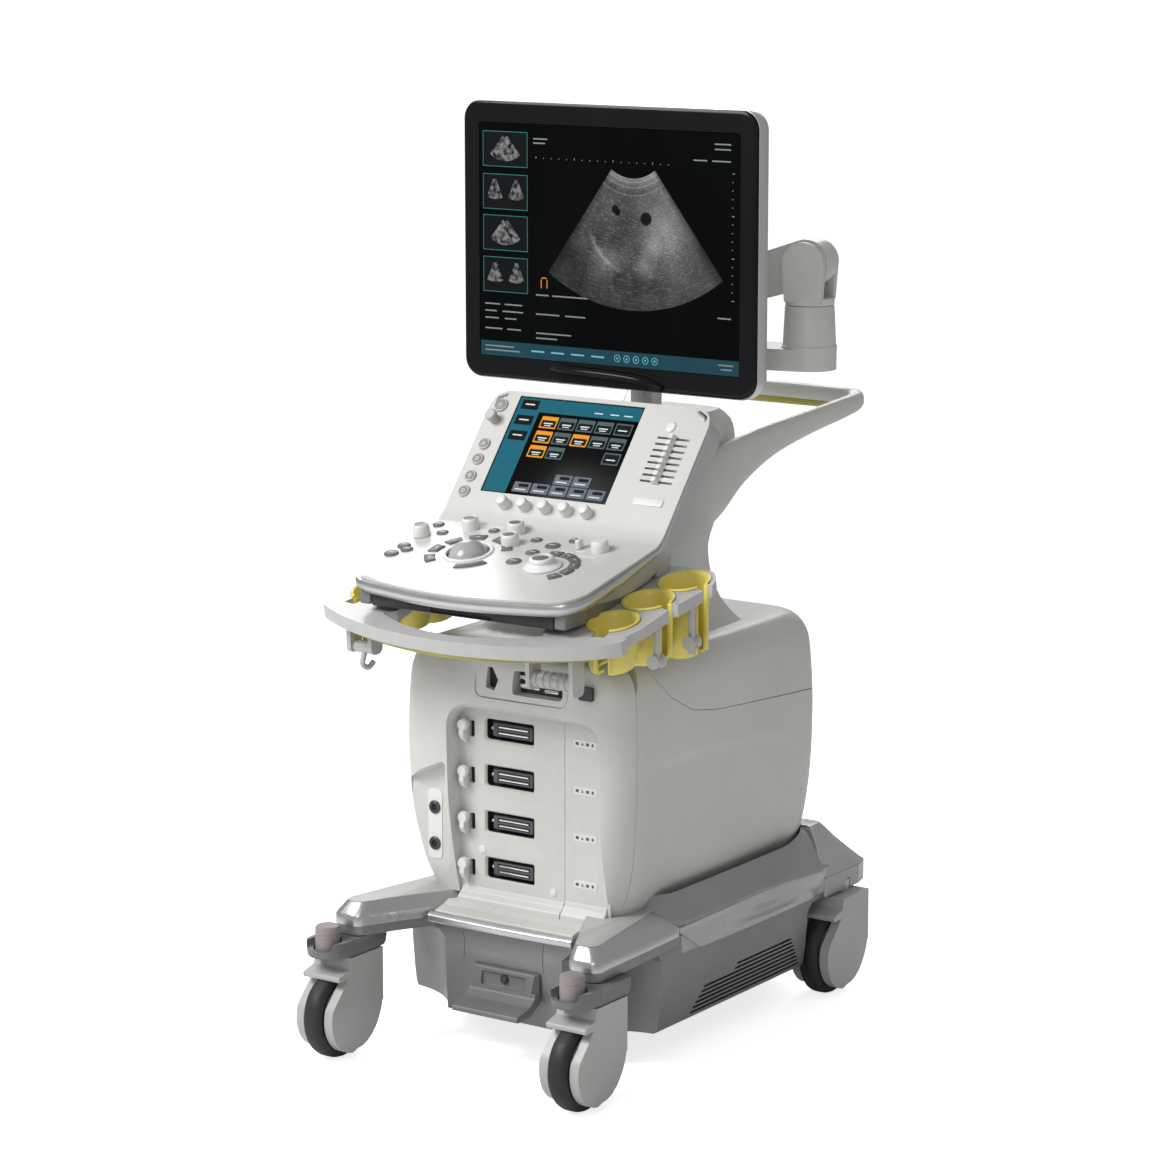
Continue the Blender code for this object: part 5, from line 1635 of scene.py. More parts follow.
def console_surface(inset, drop):
    """Rows of points across the console's top: narrowed by an inset and lowered by a drop."""
    line = along_line(console_line(), 64)
    rows = []
    for i, point in enumerate(line):
        ahead = line[min(i + 1, len(line) - 1)] - line[max(i - 1, 0)]
        ahead.normalize()
        normal = Vector((-ahead.y, ahead.x))
        from_end = (len(line) - 1 - i) / 64
        half = half_at(point.x) - inset
        if from_end < 0.07:
            half -= 0.022 * (1 - math.sqrt(max(0.0, 1 - (1 - from_end / 0.07) ** 2)))
        row = []
        for k in range(33):
            t = -1 + k / 16
            bow = 0.018 * t * t * max(0.0, 1 - i / 20)
            crown = -0.0016 * t**6
            place = point + normal * (crown - drop)
            y = place.x + bow
            z = place.y + bow * math.tan(DECK_TILT)
            row.append(Vector((t * half, y, z)))
        rows.append(row)
    return rows


def sheet(rows, thickness_rows):
    """A closed slab between two grids of points of the same size."""
    bm = bmesh.new()
    top = [[bm.verts.new(p) for p in row] for row in rows]
    low = [[bm.verts.new(p) for p in row] for row in thickness_rows]
    for a, flip in ((top, False), (low, True)):
        for i in range(len(a) - 1):
            for k in range(len(a[0]) - 1):
                quad = (a[i][k], a[i][k + 1], a[i + 1][k + 1], a[i + 1][k])
                bm.faces.new(tuple(reversed(quad)) if flip else quad)
    rim_top = top[0] + [r[-1] for r in top[1:]] + top[-1][-2::-1] + [r[0] for r in top[-2:0:-1]]
    rim_low = low[0] + [r[-1] for r in low[1:]] + low[-1][-2::-1] + [r[0] for r in low[-2:0:-1]]
    for i in range(len(rim_top)):
        j = (i + 1) % len(rim_top)
        bm.faces.new((rim_top[i], rim_low[i], rim_low[j], rim_top[j]))
    return bm


def rim_of(rows):
    """The outer edge of a grid of points, from the head of the +X side round the front to -X."""
    right = [row[-1] for row in reversed(rows[1:])]
    front = list(reversed(rows[0]))
    left = [row[0] for row in rows[1:]]
    return right + front + left


def build_console_skin():
    """The pale moulded skin of deck and panel, with its window, ball hole and slider slots."""
    slab = sheet(console_surface(0.0018, 0.0), console_surface(0.0018, 0.0032))
    window = block(
        (-TOUCH_W / 2, -TOUCH_H / 2, -0.02), (TOUCH_W / 2, TOUCH_H / 2, 0.05),
        panel_place(TOUCH_CENTRE.x, 0.0)
    )
    ball_hole = drum(TRACKBALL_R + 0.0012, -0.03, 0.03, 48, deck_place(*TRACKBALL_AT))
    cutters = [window, ball_hole]
    for k in range(TGC_ROWS):
        up = TGC_TOP - TGC_PITCH * k
        low, high = 0.112 - TGC_X, 0.164 - TGC_X
        cutters.append(round_block(
            (low, -0.0017, -0.0040), (high, 0.0017, 0.01), 0.0009, 2, panel_place(TGC_X, up)
        ))
    emit(
        "console_skin", cut(slab, *cutters), "deck", "console", 0.0010, 3, 34.0,
        cad="control_panel"
    )
    # near-black plate under the slider slots: painted shade inside them
    gain_slot_shade_plate = block((-0.030, -0.042, -0.0056), (0.030, 0.042, -0.0040), panel_place(TGC_X, -0.0007))
    emit("gain_slot_painted_shade", gain_slot_shade_plate, "gap", "console")


def build_console_band():
    """The bright band that runs round under the skin's edge, thick in front and thin at the sides."""
    rows = console_surface(0.0, 0.0)
    rim = rim_of(rows)
    count = len(rim)
    sections = []
    for i, point in enumerate(rim):
        before, after = rim[max(i - 1, 0)], rim[min(i + 1, count - 1)]
        ahead = (after - before).normalized()
        share = min(i, count - 1 - i) / (count / 2)
        tall = 0.0060 + 0.0120 * smooth((share - 0.30) / 0.30)
        fat = 0.0020 + 0.0045 * smooth((share - 0.30) / 0.35)
        out = Vector((-ahead.y, ahead.x, 0.0))
        if ahead.xy.length <= 0.2:
            out = Vector((math.copysign(1, point.x), 0, 0))
        out.normalize()
        if out.dot(Vector((point.x, point.y + 0.10, 0))) < 0:
            out = -out
        down = ahead.cross(out)
        if down.z > 0:
            down = -down
        base = point - out * 0.0020 + down * 0.0028
        section = []
        for across, along in (
            (0.0, 0.0), (fat * 0.8, tall * 0.06), (fat, tall * 0.32), (fat * 0.85, tall * 0.66),
            (fat * 0.2, tall * 0.95), (-0.0035, tall), (-0.0060, tall * 0.6), (-0.0060, 0.0)
        ):
            section.append(base + out * across + down * along)
        sections.append(section)
    emit("console_band", skin(sections), "silver", "console", sharp=50.0)


def build_console_shell():
    """The lower shell: inset from the band, deep under the panel, with the swivel boss and hangers."""
    top = console_surface(0.0075, 0.0060)
    line = along_line(console_line(), 64)
    under = []
    for i, row in enumerate(top):
        y = line[i].x
        depth = 0.012 + 0.030 * smooth((y - DECK_FRONT) / 0.20)
        slope = smooth((y + 0.115) / 0.05)
        low_row = []
        for point in row:
            shift = Vector((0.0, 0.046 * slope, -depth + 0.012 * slope))
            tuck = 1 - 0.055 * smooth((abs(point.x) - 0.10) / 0.08)
            spot = point + shift
            if slope < 0.02:
                spot.z = min(spot.z, max(0.6685, 0.6685 + 0.10 * (y - DECK_FRONT - 0.02)))
            low_row.append(Vector((spot.x * tuck, spot.y, spot.z)))
        under.append(low_row)
    shell = sheet(top, under)
    boss = turned(
        [(0, 0.6870), (0.030, 0.6870), (0.034, 0.6930), (0.034, 0.7060), (0, 0.7060)], 48,
        at(0, SPIGOT_Y, 0)
    )
    shell = joined(shell, boss)
    bore = drum(0.0156, 0.66, 0.7035, 40, at(0, SPIGOT_Y, 0))
    hangers = []
    for _, side in SIDES:
        low, high = span(side, 0.148, 0.168)
        hangers.append(round_block((low, -0.078, 0.678), (high, -0.042, 0.712), 0.004, 3))
    shell = cut(joined(shell, *hangers), bore)
    emit(
        "console_lower_shell", shell, "cap_grey", "console", 0.0016, 3, 34.0,
        cad="console_base"
    )


def build_keyboard():
    """The keyboard drawer: a graphite slab with rows of flat keys and grey end brackets."""
    slab = round_block((-0.120, -0.298, 0.6425), (0.120, -0.112, 0.6500), 0.002, 2)
    lip = round_block((-0.150, -0.3000, 0.6420), (0.150, -0.2865, 0.6612), 0.0025, 3)
    finger = round_block((-0.050, -0.3030, 0.6440), (0.050, -0.2960, 0.6490), 0.002, 2)
    emit(
        "keyboard_slab", cut(joined(slab, lip), finger), "graphite", "keyboard", 0.0006, sharp=34.0,
        cad="keyboard_tray"
    )
    keys = []
    for row in range(5):
        y = -0.272 + 0.021 * row
        for k in range(12):
            x = -0.108 + 0.0186 * k + 0.0022 * (row % 2)
            keys.append(round_block(
                (x - 0.0078, y - 0.0082, 0.6498), (x + 0.0078, y + 0.0082, 0.6526), 0.0012, 2
            ))
    emit("keyboard_keys", gathered(*keys), "dark_grey", "keyboard")
    brackets = []
    for _, side in SIDES:
        low, high = span(side, 0.1512, 0.1700)
        brackets.append(round_block((low, -0.3010, 0.6430), (high, -0.2500, 0.6672), 0.0035, 3))
        low, high = span(side, 0.1560, 0.1660)
        brackets.append(round_block((low, -0.2600, 0.6480), (high, -0.0750, 0.6800), 0.0025, 2))
    emit("keyboard_brackets", gathered(*brackets), "base_grey", "console")


def key_oval(x, y, wide, tall, turn=0.0):
    """A low oval key with a rounded crown."""
    bm = turned([(0, -0.0015), (1.0, -0.0015), (1.0, 0.0008), (0.93, 0.0016), (0.6, 0.0021), (0, 0.0023)], 28)
    bm.transform(Matrix.Diagonal((wide / 2, tall / 2, 1.0, 1.0)))
    bm.transform(deck_place(x, y) @ Matrix.Rotation(turn, 4, "Z"))
    return bm


def key_arc(centre, radius, width, first, last):
    """A key in the shape of a piece of a ring."""
    steps = 8
    outline = []
    for k in range(steps + 1):
        t = math.radians(first + (last - first) * k / steps)
        outline.append((math.cos(t) * (radius + width / 2), math.sin(t) * (radius + width / 2)))
    for k in range(steps, -1, -1):
        t = math.radians(first + (last - first) * k / steps)
        outline.append((math.cos(t) * (radius - width / 2), math.sin(t) * (radius - width / 2)))
    place = deck_place(*centre)
    low = [place @ Vector((a, b, -0.0015)) for a, b in outline]
    high = [place @ Vector((a, b, 0.0016)) for a, b in outline]
    middle = Vector((sum(a for a, _ in outline) / len(outline), sum(b for _, b in outline) / len(outline)))
    top = [
        place @ Vector((middle.x + (a - middle.x) * 0.93, middle.y + (b - middle.y) * 0.93, 0.0021))
        for a, b in outline
    ]
    return skin([low, high, top])


# Oval keys on the deck, as (x, y, width).
OVAL_KEYS = (
    (-0.170, -0.119, 0.0175),
    (-0.145, -0.144, 0.0175),
    (-0.170, -0.199, 0.0195),
    (-0.157, -0.210, 0.0182),
    (-0.170, -0.228, 0.0215),
    (-0.075, -0.119, 0.0169),
    (0.006, -0.132, 0.0175),
    (0.041, -0.144, 0.0228),
    (0.027, -0.172, 0.0208),
    (0.020, -0.206, 0.0228),
    (0.061, -0.120, 0.0175),
)


def build_deck_keys():
    """Oval and arc keys with small pale legends, set low in the deck."""
    ovals = []
    for x, y, wide in OVAL_KEYS:
        ovals.append(key_oval(x, y, wide, wide * 0.92))
    arcs = []
    for first, last in ((22, 44), (56, 80), (98, 124), (134, 158), (168, 192), (206, 232)):
        arcs.append(key_arc(TRACKBALL_AT, 0.0535, 0.0150, first, last))
    arcs.append(key_arc(TRACKBALL_AT, 0.0510, 0.0120, 284, 332))
    for first, last in ((88, 112), (60, 82), (33, 55), (7, 28), (-20, 2), (-47, -25)):
        arcs.append(key_arc(ENCODER_AT, 0.0440, 0.0150, first, last))
    emit("deck_keys", gathered(*ovals, *arcs), "button", "console", sharp=50.0)
    legends = []
    for x, y, wide in OVAL_KEYS:
        legends.append(block(
            (-wide * 0.22, -0.0006, 0.0021), (wide * 0.22, 0.0006, 0.0026), deck_place(x, y)
        ))
    spots = [(TRACKBALL_AT, 0.0525, a) for a in (33, 68, 111, 146, 180, 219)]
    spots += [(ENCODER_AT, 0.0440, a) for a in (100, 71, 44, 17, -9, -36)]
    for centre, radius, angle in spots:
        t = math.radians(angle)
        spot = deck_place(centre[0] + radius * math.cos(t), centre[1] + radius * math.sin(t))
        legends.append(block(
            (-0.0030, -0.0005, 0.0019), (0.0030, 0.0005, 0.0024),
            spot @ Matrix.Rotation(t + math.pi / 2, 4, "Z")
        ))
    emit("deck_key_legends", gathered(*legends), "label", "console")
    plates = []
    for x, y, wide in ((0.075, -0.158, 0.024), (0.112, -0.164, 0.028), (0.092, -0.150, 0.014)):
        plates.append(block((-wide / 2, -0.0022, 0.0), (wide / 2, 0.0022, 0.0005), deck_place(x, y)))
    emit("deck_labels", gathered(*plates), "white", "console")


def soft_knob(radius, height, flare=1.0):
    """The profile of a turned knob with a rounded, hollowed top."""
    return [
        (0, 0.0),
        (radius * flare, 0.0),
        (radius * flare * 0.99, height * 0.12),
        (radius, height * 0.30),
        (radius * 0.93, height * 0.80),
        (radius * 0.86, height * 0.94),
        (radius * 0.74, height),
        (radius * 0.66, height * 0.97),
        (radius * 0.60, height * 0.86),
        (0, height * 0.86),
    ]


def build_deck_knobs():
    """The white turned knobs on the deck with dark recessed tops, a plain one and a small paddle."""
    knobs = []
    tops = []
    for x, y, radius in (
        (-0.170, -0.158, 0.0125), (-0.114, -0.119, 0.0125), (-0.039, -0.115, 0.0130),
        (-0.021, -0.155, 0.0130)
    ):
        place = deck_place(x, y)
        knobs.append(turned(soft_knob(radius, 0.0165), 40, place))
        tops.append(turned(
            [(0, 0.0138), (radius * 0.62, 0.0138), (radius * 0.60, 0.0152), (0, 0.0156)], 32, place
        ))
    plain = [(0, 0), (0.0125, 0), (0.0125, 0.0050), (0.0112, 0.0135), (0.0098, 0.0148), (0, 0.0152)]
    knobs.append(turned(plain, 40, deck_place(0.116, -0.139)))
    paddle = round_block(
        (-0.0035, -0.0060, 0.0), (0.0035, 0.0060, 0.0130), 0.0018, 3, deck_place(0.083, -0.140)
    )
    emit("deck_knobs", gathered(*knobs, paddle), "white", "console", sharp=40.0)
    emit("deck_knob_tops", gathered(*tops), "button", "console")
    ring = turned(
        [
            (TRACKBALL_R + 0.0008, -0.0005), (TRACKBALL_R + 0.0008, 0.0020),
            (TRACKBALL_R + 0.0018, 0.0028), (TRACKBALL_R + 0.0040, 0.0026),
            (TRACKBALL_R + 0.0060, 0.0010), (TRACKBALL_R + 0.0060, -0.0005)
        ],
        64, deck_place(*TRACKBALL_AT)
    )
    emit("trackball_ring", ring, "white", "console", sharp=45.0)
    bm = bmesh.new()
    bmesh.ops.create_uvsphere(bm, u_segments=48, v_segments=32, radius=TRACKBALL_R - 0.0006)
    bm.transform(deck_place(*TRACKBALL_AT, lift=-0.012))
    emit("trackball_ball", bm, "ball", "trackball", cad="trackball")
    dial = [
        (0, 0.0003), (0.0262, 0.0003), (0.0265, 0.0022), (0.0235, 0.0042), (0.0190, 0.0062),
        (0.0170, 0.0080), (0.0168, 0.0128), (0.0152, 0.0144), (0.0128, 0.0146), (0.0118, 0.0132),
        (0.0114, 0.0105), (0, 0.0105)
    ]
    emit(
        "encoder_wheel", turned(dial, 64, deck_place(*ENCODER_AT)), "white", "encoder", sharp=45.0,
        cad="encoder_dial"
    )
    core = turned(
        [(0, 0.0104), (0.0108, 0.0104), (0.0104, 0.0122), (0.0090, 0.0128), (0, 0.0122)], 48,
        deck_place(*ENCODER_AT)
    )
    emit("encoder_core", core, "button", "encoder", sharp=45.0)
    lamp = turned([(0, 0), (0.0014, 0), (0.0012, 0.0008), (0, 0.0010)], 16, deck_place(0.049, -0.238))
    emit("deck_lamp", lamp, "label", "console")


def build_panel_controls():
    """The round buttons at the left of the touch screen, the menu knobs and the gain sliders."""
    shells = []
    faces = []
    signs = []
    for up, radius in (
        (0.060, 0.0108), (-0.005, 0.0092), (-0.030, 0.0092), (-0.058, 0.0092), (-0.083, 0.0092)
    ):
        place = panel_place(-0.163, up)
        shells.append(turned(
            [
                (0, -0.001), (radius, -0.001), (radius, 0.0016), (radius - 0.0008, 0.0026),
                (radius - 0.0020, 0.0028), (radius - 0.0026, 0.0018), (0, 0.0018)
            ],
            40, place
        ))
        faces.append(turned(
            [
                (0, 0.0017), (radius - 0.0030, 0.0017), (radius - 0.0032, 0.0026),
                (radius - 0.0042, 0.0031), (0, 0.0033)
            ],
            32, place
        ))
        signs.append(turned(
            [(0.0018, 0.0030), (0.0026, 0.0030), (0.0026, 0.0035), (0.0018, 0.0035)], 20, place
        ))
    emit("side_button_rings", gathered(*shells), "cap_grey", "console", sharp=40.0)
    emit("side_button_faces", gathered(*faces), "pedal", "console", sharp=40.0)
    emit("side_button_signs", gathered(*signs), "label", "console")
    stalk = turned(
        [
            (0, 0), (0.0075, 0), (0.0070, 0.0080), (0.0085, 0.0095), (0.0085, 0.0160), (0.0070, 0.0175),
            (0, 0.0178)
        ],
        32, panel_place(-0.163, 0.036)
    )
    emit("side_knob", stalk, "cap_grey", "console", sharp=40.0)
    for k, x in enumerate(MENU_KNOBS_X):
        ribbed = skin(menu_knob_rows())
        ribbed.transform(panel_place(x, MENU_KNOB_UP, 0.0003))
        emit(
            f"menu_knob_cap_{k + 1}", ribbed, "white", f"menu_knob_{k + 1}", sharp=50.0,
            cad=f"menu_knob_{k + 1}"
        )
    for k in range(TGC_ROWS):
        place = panel_place(TGC_X, TGC_TOP - TGC_PITCH * k, 0.0003)
        foot = round_block((-0.0012, -0.0010, -0.0040), (0.0012, 0.0010, 0.0015), 0.0002, 1)
        wedge = skin([
            [Vector((a, b, h)) for a, b in ((-w, -d), (w, -d), (w, d), (-w, d))]
            for w, d, h in (
                (0.0056, 0.0036, 0.0004), (0.0056, 0.0036, 0.0026), (0.0034, 0.0033, 0.0080),
                (0.0026, 0.0028, 0.0086)
            )
        ])
        bm = joined(wedge, foot)
        bm.transform(place)
        emit(
            f"gain_slider_{k + 1}", bm, "white", f"tgc_{k + 1}", 0.0004, sharp=30.0,
            cad=f"tgc_slider_{k + 1}"
        )
    oval = turned([(0, -0.001), (0.0085, -0.001), (0.0085, 0.0010), (0.0072, 0.0019), (0, 0.0023)], 36)
    oval.transform(Matrix.Diagonal((0.85, 1.0, 1.0, 1.0)))
    oval.transform(panel_place(0.127, 0.052))
    emit("panel_oval", oval, "white", "console")
    plate = round_block(
        (-0.0235, -0.0055, -0.0003), (0.0235, 0.0055, 0.0008), 0.0004, 2, panel_place(0.1395, -0.068)
    )
    emit("panel_label", plate, "label", "console")


def menu_knob_rows():
    """A tapered knob with fine ribs, standing on local Z."""
    rows = []
    for radius, height, rib in (
        (0.0092, 0.0, 0.0), (0.0092, 0.0010, 0.0), (0.0089, 0.0016, 0.0004), (0.0080, 0.0135, 0.0004),
        (0.0074, 0.0150, 0.0), (0.0064, 0.0158, 0.0)
    ):
        row = []
        for k in range(48):
            t = 2 * math.pi * k / 48
            reach = radius - (rib if k % 4 in (2, 3) else 0.0)
            row.append(Vector((reach * math.cos(t), reach * math.sin(t), height)))
        rows.append(row)
    return rows


# Touch screen -------------------------------------------------------------------------------------


def tile(x, up, wide, tall, lift):
    """A flat rectangle on the touch screen, from its lower left corner, in shares of the screen."""
    left = TOUCH_CENTRE.x - TOUCH_W / 2 + 0.002 + x * (TOUCH_W - 0.004)
    low = -TOUCH_H / 2 + 0.002 + up * (TOUCH_H - 0.004)
    width, height = wide * (TOUCH_W - 0.004), tall * (TOUCH_H - 0.004)
    place = panel_place(left + width / 2, low + height / 2, -0.0012 + lift)
    corner = 0.0012
    outline = oblong(-width / 2, width / 2, -height / 2, height / 2, corner, 2)
    return prism(outline, 0.00012, place)


def build_touch_screen():
    """The touch screen's glass and a made-up menu on it: rows of tiles with blank legend bars."""
    glass = round_block(
        (-TOUCH_W / 2 + 0.0004, -TOUCH_H / 2 + 0.0004, -0.0040),
        (TOUCH_W / 2 - 0.0004, TOUCH_H / 2 - 0.0004, -0.0013), 0.0004, 2,
        panel_place(TOUCH_CENTRE.x, 0.0)
    )
    emit("touch_glass", glass, "glass", "console", cad="touch_screen")
    teal = [tile(0.0, 0.0, 0.19, 1.0, 0.0), tile(0.19, 0.86, 0.81, 0.14, 0.0)]
    emit("touch_teal", gathered(*teal), "ui_teal", "console")
    frames, faces, oranges, greys, bars, blanks = [], [], [], [], [], []
    for up in (0.88, 0.715, 0.55):
        blanks.append(tile(0.025, up, 0.14, 0.10, 0.0002))
    rows = ((0.235, 0.70, 4, (0,)), (0.235, 0.545, 5, (0, 2)), (0.235, 0.39, 2, (0,)))
    for left, up, count, marked in rows:
        for k in range(count):
            x = left + 0.150 * k
            (oranges if k in marked else frames).append(tile(x, up, 0.135, 0.125, 0.0002))
            faces.append(tile(x + 0.010, up + 0.014, 0.115, 0.070, 0.0004))
            bars.append(tile(x + 0.030, up + 0.045, 0.075, 0.012, 0.0006))
            bars.append(tile(x + 0.040, up + 0.024, 0.055, 0.009, 0.0006))
    for x, up in ((0.840, 0.70), (0.840, 0.39)):
        frames.append(tile(x, up, 0.135, 0.125, 0.0002))
        faces.append(tile(x + 0.010, up + 0.014, 0.115, 0.095, 0.0004))
        bars.append(tile(x + 0.030, up + 0.045, 0.075, 0.012, 0.0006))
    for k in range(5):
        x = 0.235 + 0.150 * k
        for up in (0.02, 0.135) if k in (2, 3) else (0.02,):
            greys.append(tile(x, up, 0.138, 0.105, 0.0002))
            faces.append(tile(x + 0.040, up + 0.055, 0.080, 0.032, 0.0004))
            bars.append(tile(x + 0.020, up + 0.022, 0.090, 0.011, 0.0006))
    for x in (0.63, 0.76, 0.87):
        bars.append(tile(x, 0.90, 0.07, 0.011, 0.0002))
    for up in (0.925, 0.76, 0.595):
        bars.append(tile(0.055, up, 0.08, 0.013, 0.0006))
    emit("touch_tile_frames", gathered(*frames), "ui_slate", "console")
    emit("touch_tile_marked", gathered(*oranges), "ui_orange", "console")
    emit("touch_tile_grey", gathered(*greys), "ui_grey", "console")
    emit("touch_tile_faces", gathered(*faces, *blanks), "ui_dark", "console")
    emit("touch_legend_bars", gathered(*bars), "ui_text", "console")


def build_console():
    """Makes everything that rides on the console."""
    build_console_skin()
    build_console_band()
    build_console_shell()
    build_keyboard()
    build_deck_keys()
    build_deck_knobs()
    build_panel_controls()
    build_touch_screen()


# Front handle and probe holders -------------------------------------------------------------------

FRAME_TILT = math.radians(12.0)
FRAME_POINT = Vector((0.0, -0.385, 0.604))
FRAME_T = 0.022
# Each cup on the +X side: x, y, depth and the direction its slit faces, in degrees.
CUPS = ((0.196, -0.228, 0.0615, -80.0), (0.200, -0.150, 0.0785, -12.0), (0.211, -0.078, 0.0955, -12.0))
CUP_R = 0.0347
# The plate round the cups from above, as (x, y, radius).
PLATE = (
    (0.120, -0.2860, 0.010),
    (0.236, -0.2860, 0.010),
    (0.2465, -0.2350, 0.012),
    (0.2465, -0.1620, 0.012),
    (0.2560, -0.0700, 0.030),
    (0.2320, -0.0290, 0.030),
    (0.1450, -0.0290, 0.020),
    (0.1370, -0.0900, 0.030),
    (0.1290, -0.2000, 0.010),
)


def frame_place(lift=0.0):
    """The tilted plane that the handle and the probe holders share."""
    spot = Matrix.Translation(FRAME_POINT) @ Matrix.Rotation(FRAME_TILT, 4, "X")
    return spot @ at(0, 0, lift)


def in_frame(x, y):
    """A plan position as local coordinates of the tilted plane."""
    return x, (y - FRAME_POINT.y) / math.cos(FRAME_TILT)


def frame_z(y):
    """The height of the tilted plane at a place along the machine."""
    return FRAME_POINT.z + (y - FRAME_POINT.y) * math.tan(FRAME_TILT)


def bar_outline():
    """The bowed grab bar from above."""
    outline = []
    for k in range(25):
        t = -1 + k / 12
        outline.append(in_frame(t * 0.238, -0.3495 + 0.050 * t * t + 0.008 * t**6))
    outline += [in_frame(0.2465, -0.282), in_frame(0.2465, -0.268), in_frame(0.150, -0.268)]
    for k in range(17):
        t = 1 - k / 8
        outline.append(in_frame(t * 0.150, -0.3300 + 0.041 * t * t + 0.0105 * t**6))
    outline += [in_frame(-0.150, -0.268), in_frame(-0.2465, -0.268), in_frame(-0.2465, -0.282)]
    return outline


def cup_place(side, x, y):
    """A cup's own place: its walls are upright, and its rim slopes with the frame."""
    slope = Matrix.Identity(4)
    slope[2][1] = math.tan(FRAME_TILT)
    return at(side * x, y, frame_z(y) + 0.0100) @ slope


def slit_turn(side, angle):
    """The direction of a cup's slit, as an angle about Z."""
    return math.radians(angle) if side > 0 else math.radians(180 - angle)


def build_holder_frame():
    """One grey frame: the grab bar in front and a plate at each side with a seat for three cups."""
    bar = soften(prism(bar_outline(), 0.0195, frame_place(-0.0008)), 0.0075, 4, 60.0)
    parts = []
    cutters = []
    for _, side in SIDES:
        outline = [(side * x, y) for x, y in rounded([(*in_frame(x, y), r) for x, y, r in PLATE], 7)]
        parts.append(prism(outline, FRAME_T * 0.72, frame_place(0.0005)))
        for x, y, _, angle in CUPS:
            place = cup_place(side, x, y)
            parts.append(drum(CUP_R + 0.0078, -0.020, -0.0010, 64, place))
            cutters.append(drum(CUP_R + 0.0005, -0.10, 0.05, 56, place))
            cutters.append(block(
                (0, -0.0098, -0.10), (0.051, 0.0098, 0.05),
                place @ Matrix.Rotation(slit_turn(side, angle), 4, "Z")
            ))
    frame_solid = cut(joined(bar, *parts), *cutters)
    emit("holder_frame", frame_solid, "handle", "console", 0.0022, 3, 38.0, cad="front_handle")
    grip = [
        in_frame(x, y)
        for x, y in ((t * 0.205, -0.3475 + 0.047 * t * t) for t in (-1 + k / 10 for k in range(21)))
    ]
    inner = [
        in_frame(x, y)
        for x, y in ((t * 0.205, -0.3340 + 0.043 * t * t) for t in (1 - k / 10 for k in range(21)))
    ]
    strip = prism(grip + inner, 0.0070, frame_place(-FRAME_T / 2 - 0.0012))
    emit("handle_grip_strip", soften(strip, 0.0022, 3, 50.0), "olive", "console")


def cup_profile(deep):
    """A cup's wall, rolled rim and drained floor, as (radius, height) below the rim."""
    return [
        (CUP_R - 0.0045, 0.007 - deep),
        (CUP_R - 0.0038, -0.006),
        (CUP_R - 0.0024, 0.0010),
        (CUP_R - 0.0004, 0.0024),
        (CUP_R + 0.0012, 0.0018),
        (CUP_R + 0.0018, 0.0002),
        (CUP_R + 0.0010, -0.0008),
        (CUP_R - 0.0002, -0.0012),
        (CUP_R - 0.0008, -0.030),
        (CUP_R - 0.0022, 0.008 - deep),
        (CUP_R - 0.0055, -deep),
        (0.0180, -deep),
        (0.0180, 0.004 - deep),
        (CUP_R - 0.0070, 0.0045 - deep),
    ]


def build_cups():
    """Yellow cups with a rolled rim and a slit for the probe's cable, and an outer web on each."""
    for word, side in SIDES:
        solids = []
        for x, y, deep, angle in CUPS:
            gap = 15.5
            turn = math.degrees(slit_turn(side, angle))
            place = cup_place(side, x, y)
            solids.append(turned(cup_profile(deep), 64, place, turn + gap, 360.0 - 2 * gap))
            for edge in (-1, 1):
                lip_place = place @ Matrix.Rotation(math.radians(turn + edge * (gap + 1.0)), 4, "Z")
                solids.append(round_block(
                    (CUP_R - 0.0045, -0.0018, 0.004 - deep), (CUP_R + 0.0025, 0.0018, -0.0020), 0.0012,
                    2, lip_place
                ))
        emit(
            f"probe_cups_{word}", gathered(*solids), "yellow", "console", sharp=42.0,
            cad=f"probe_holder_{word}"
        )


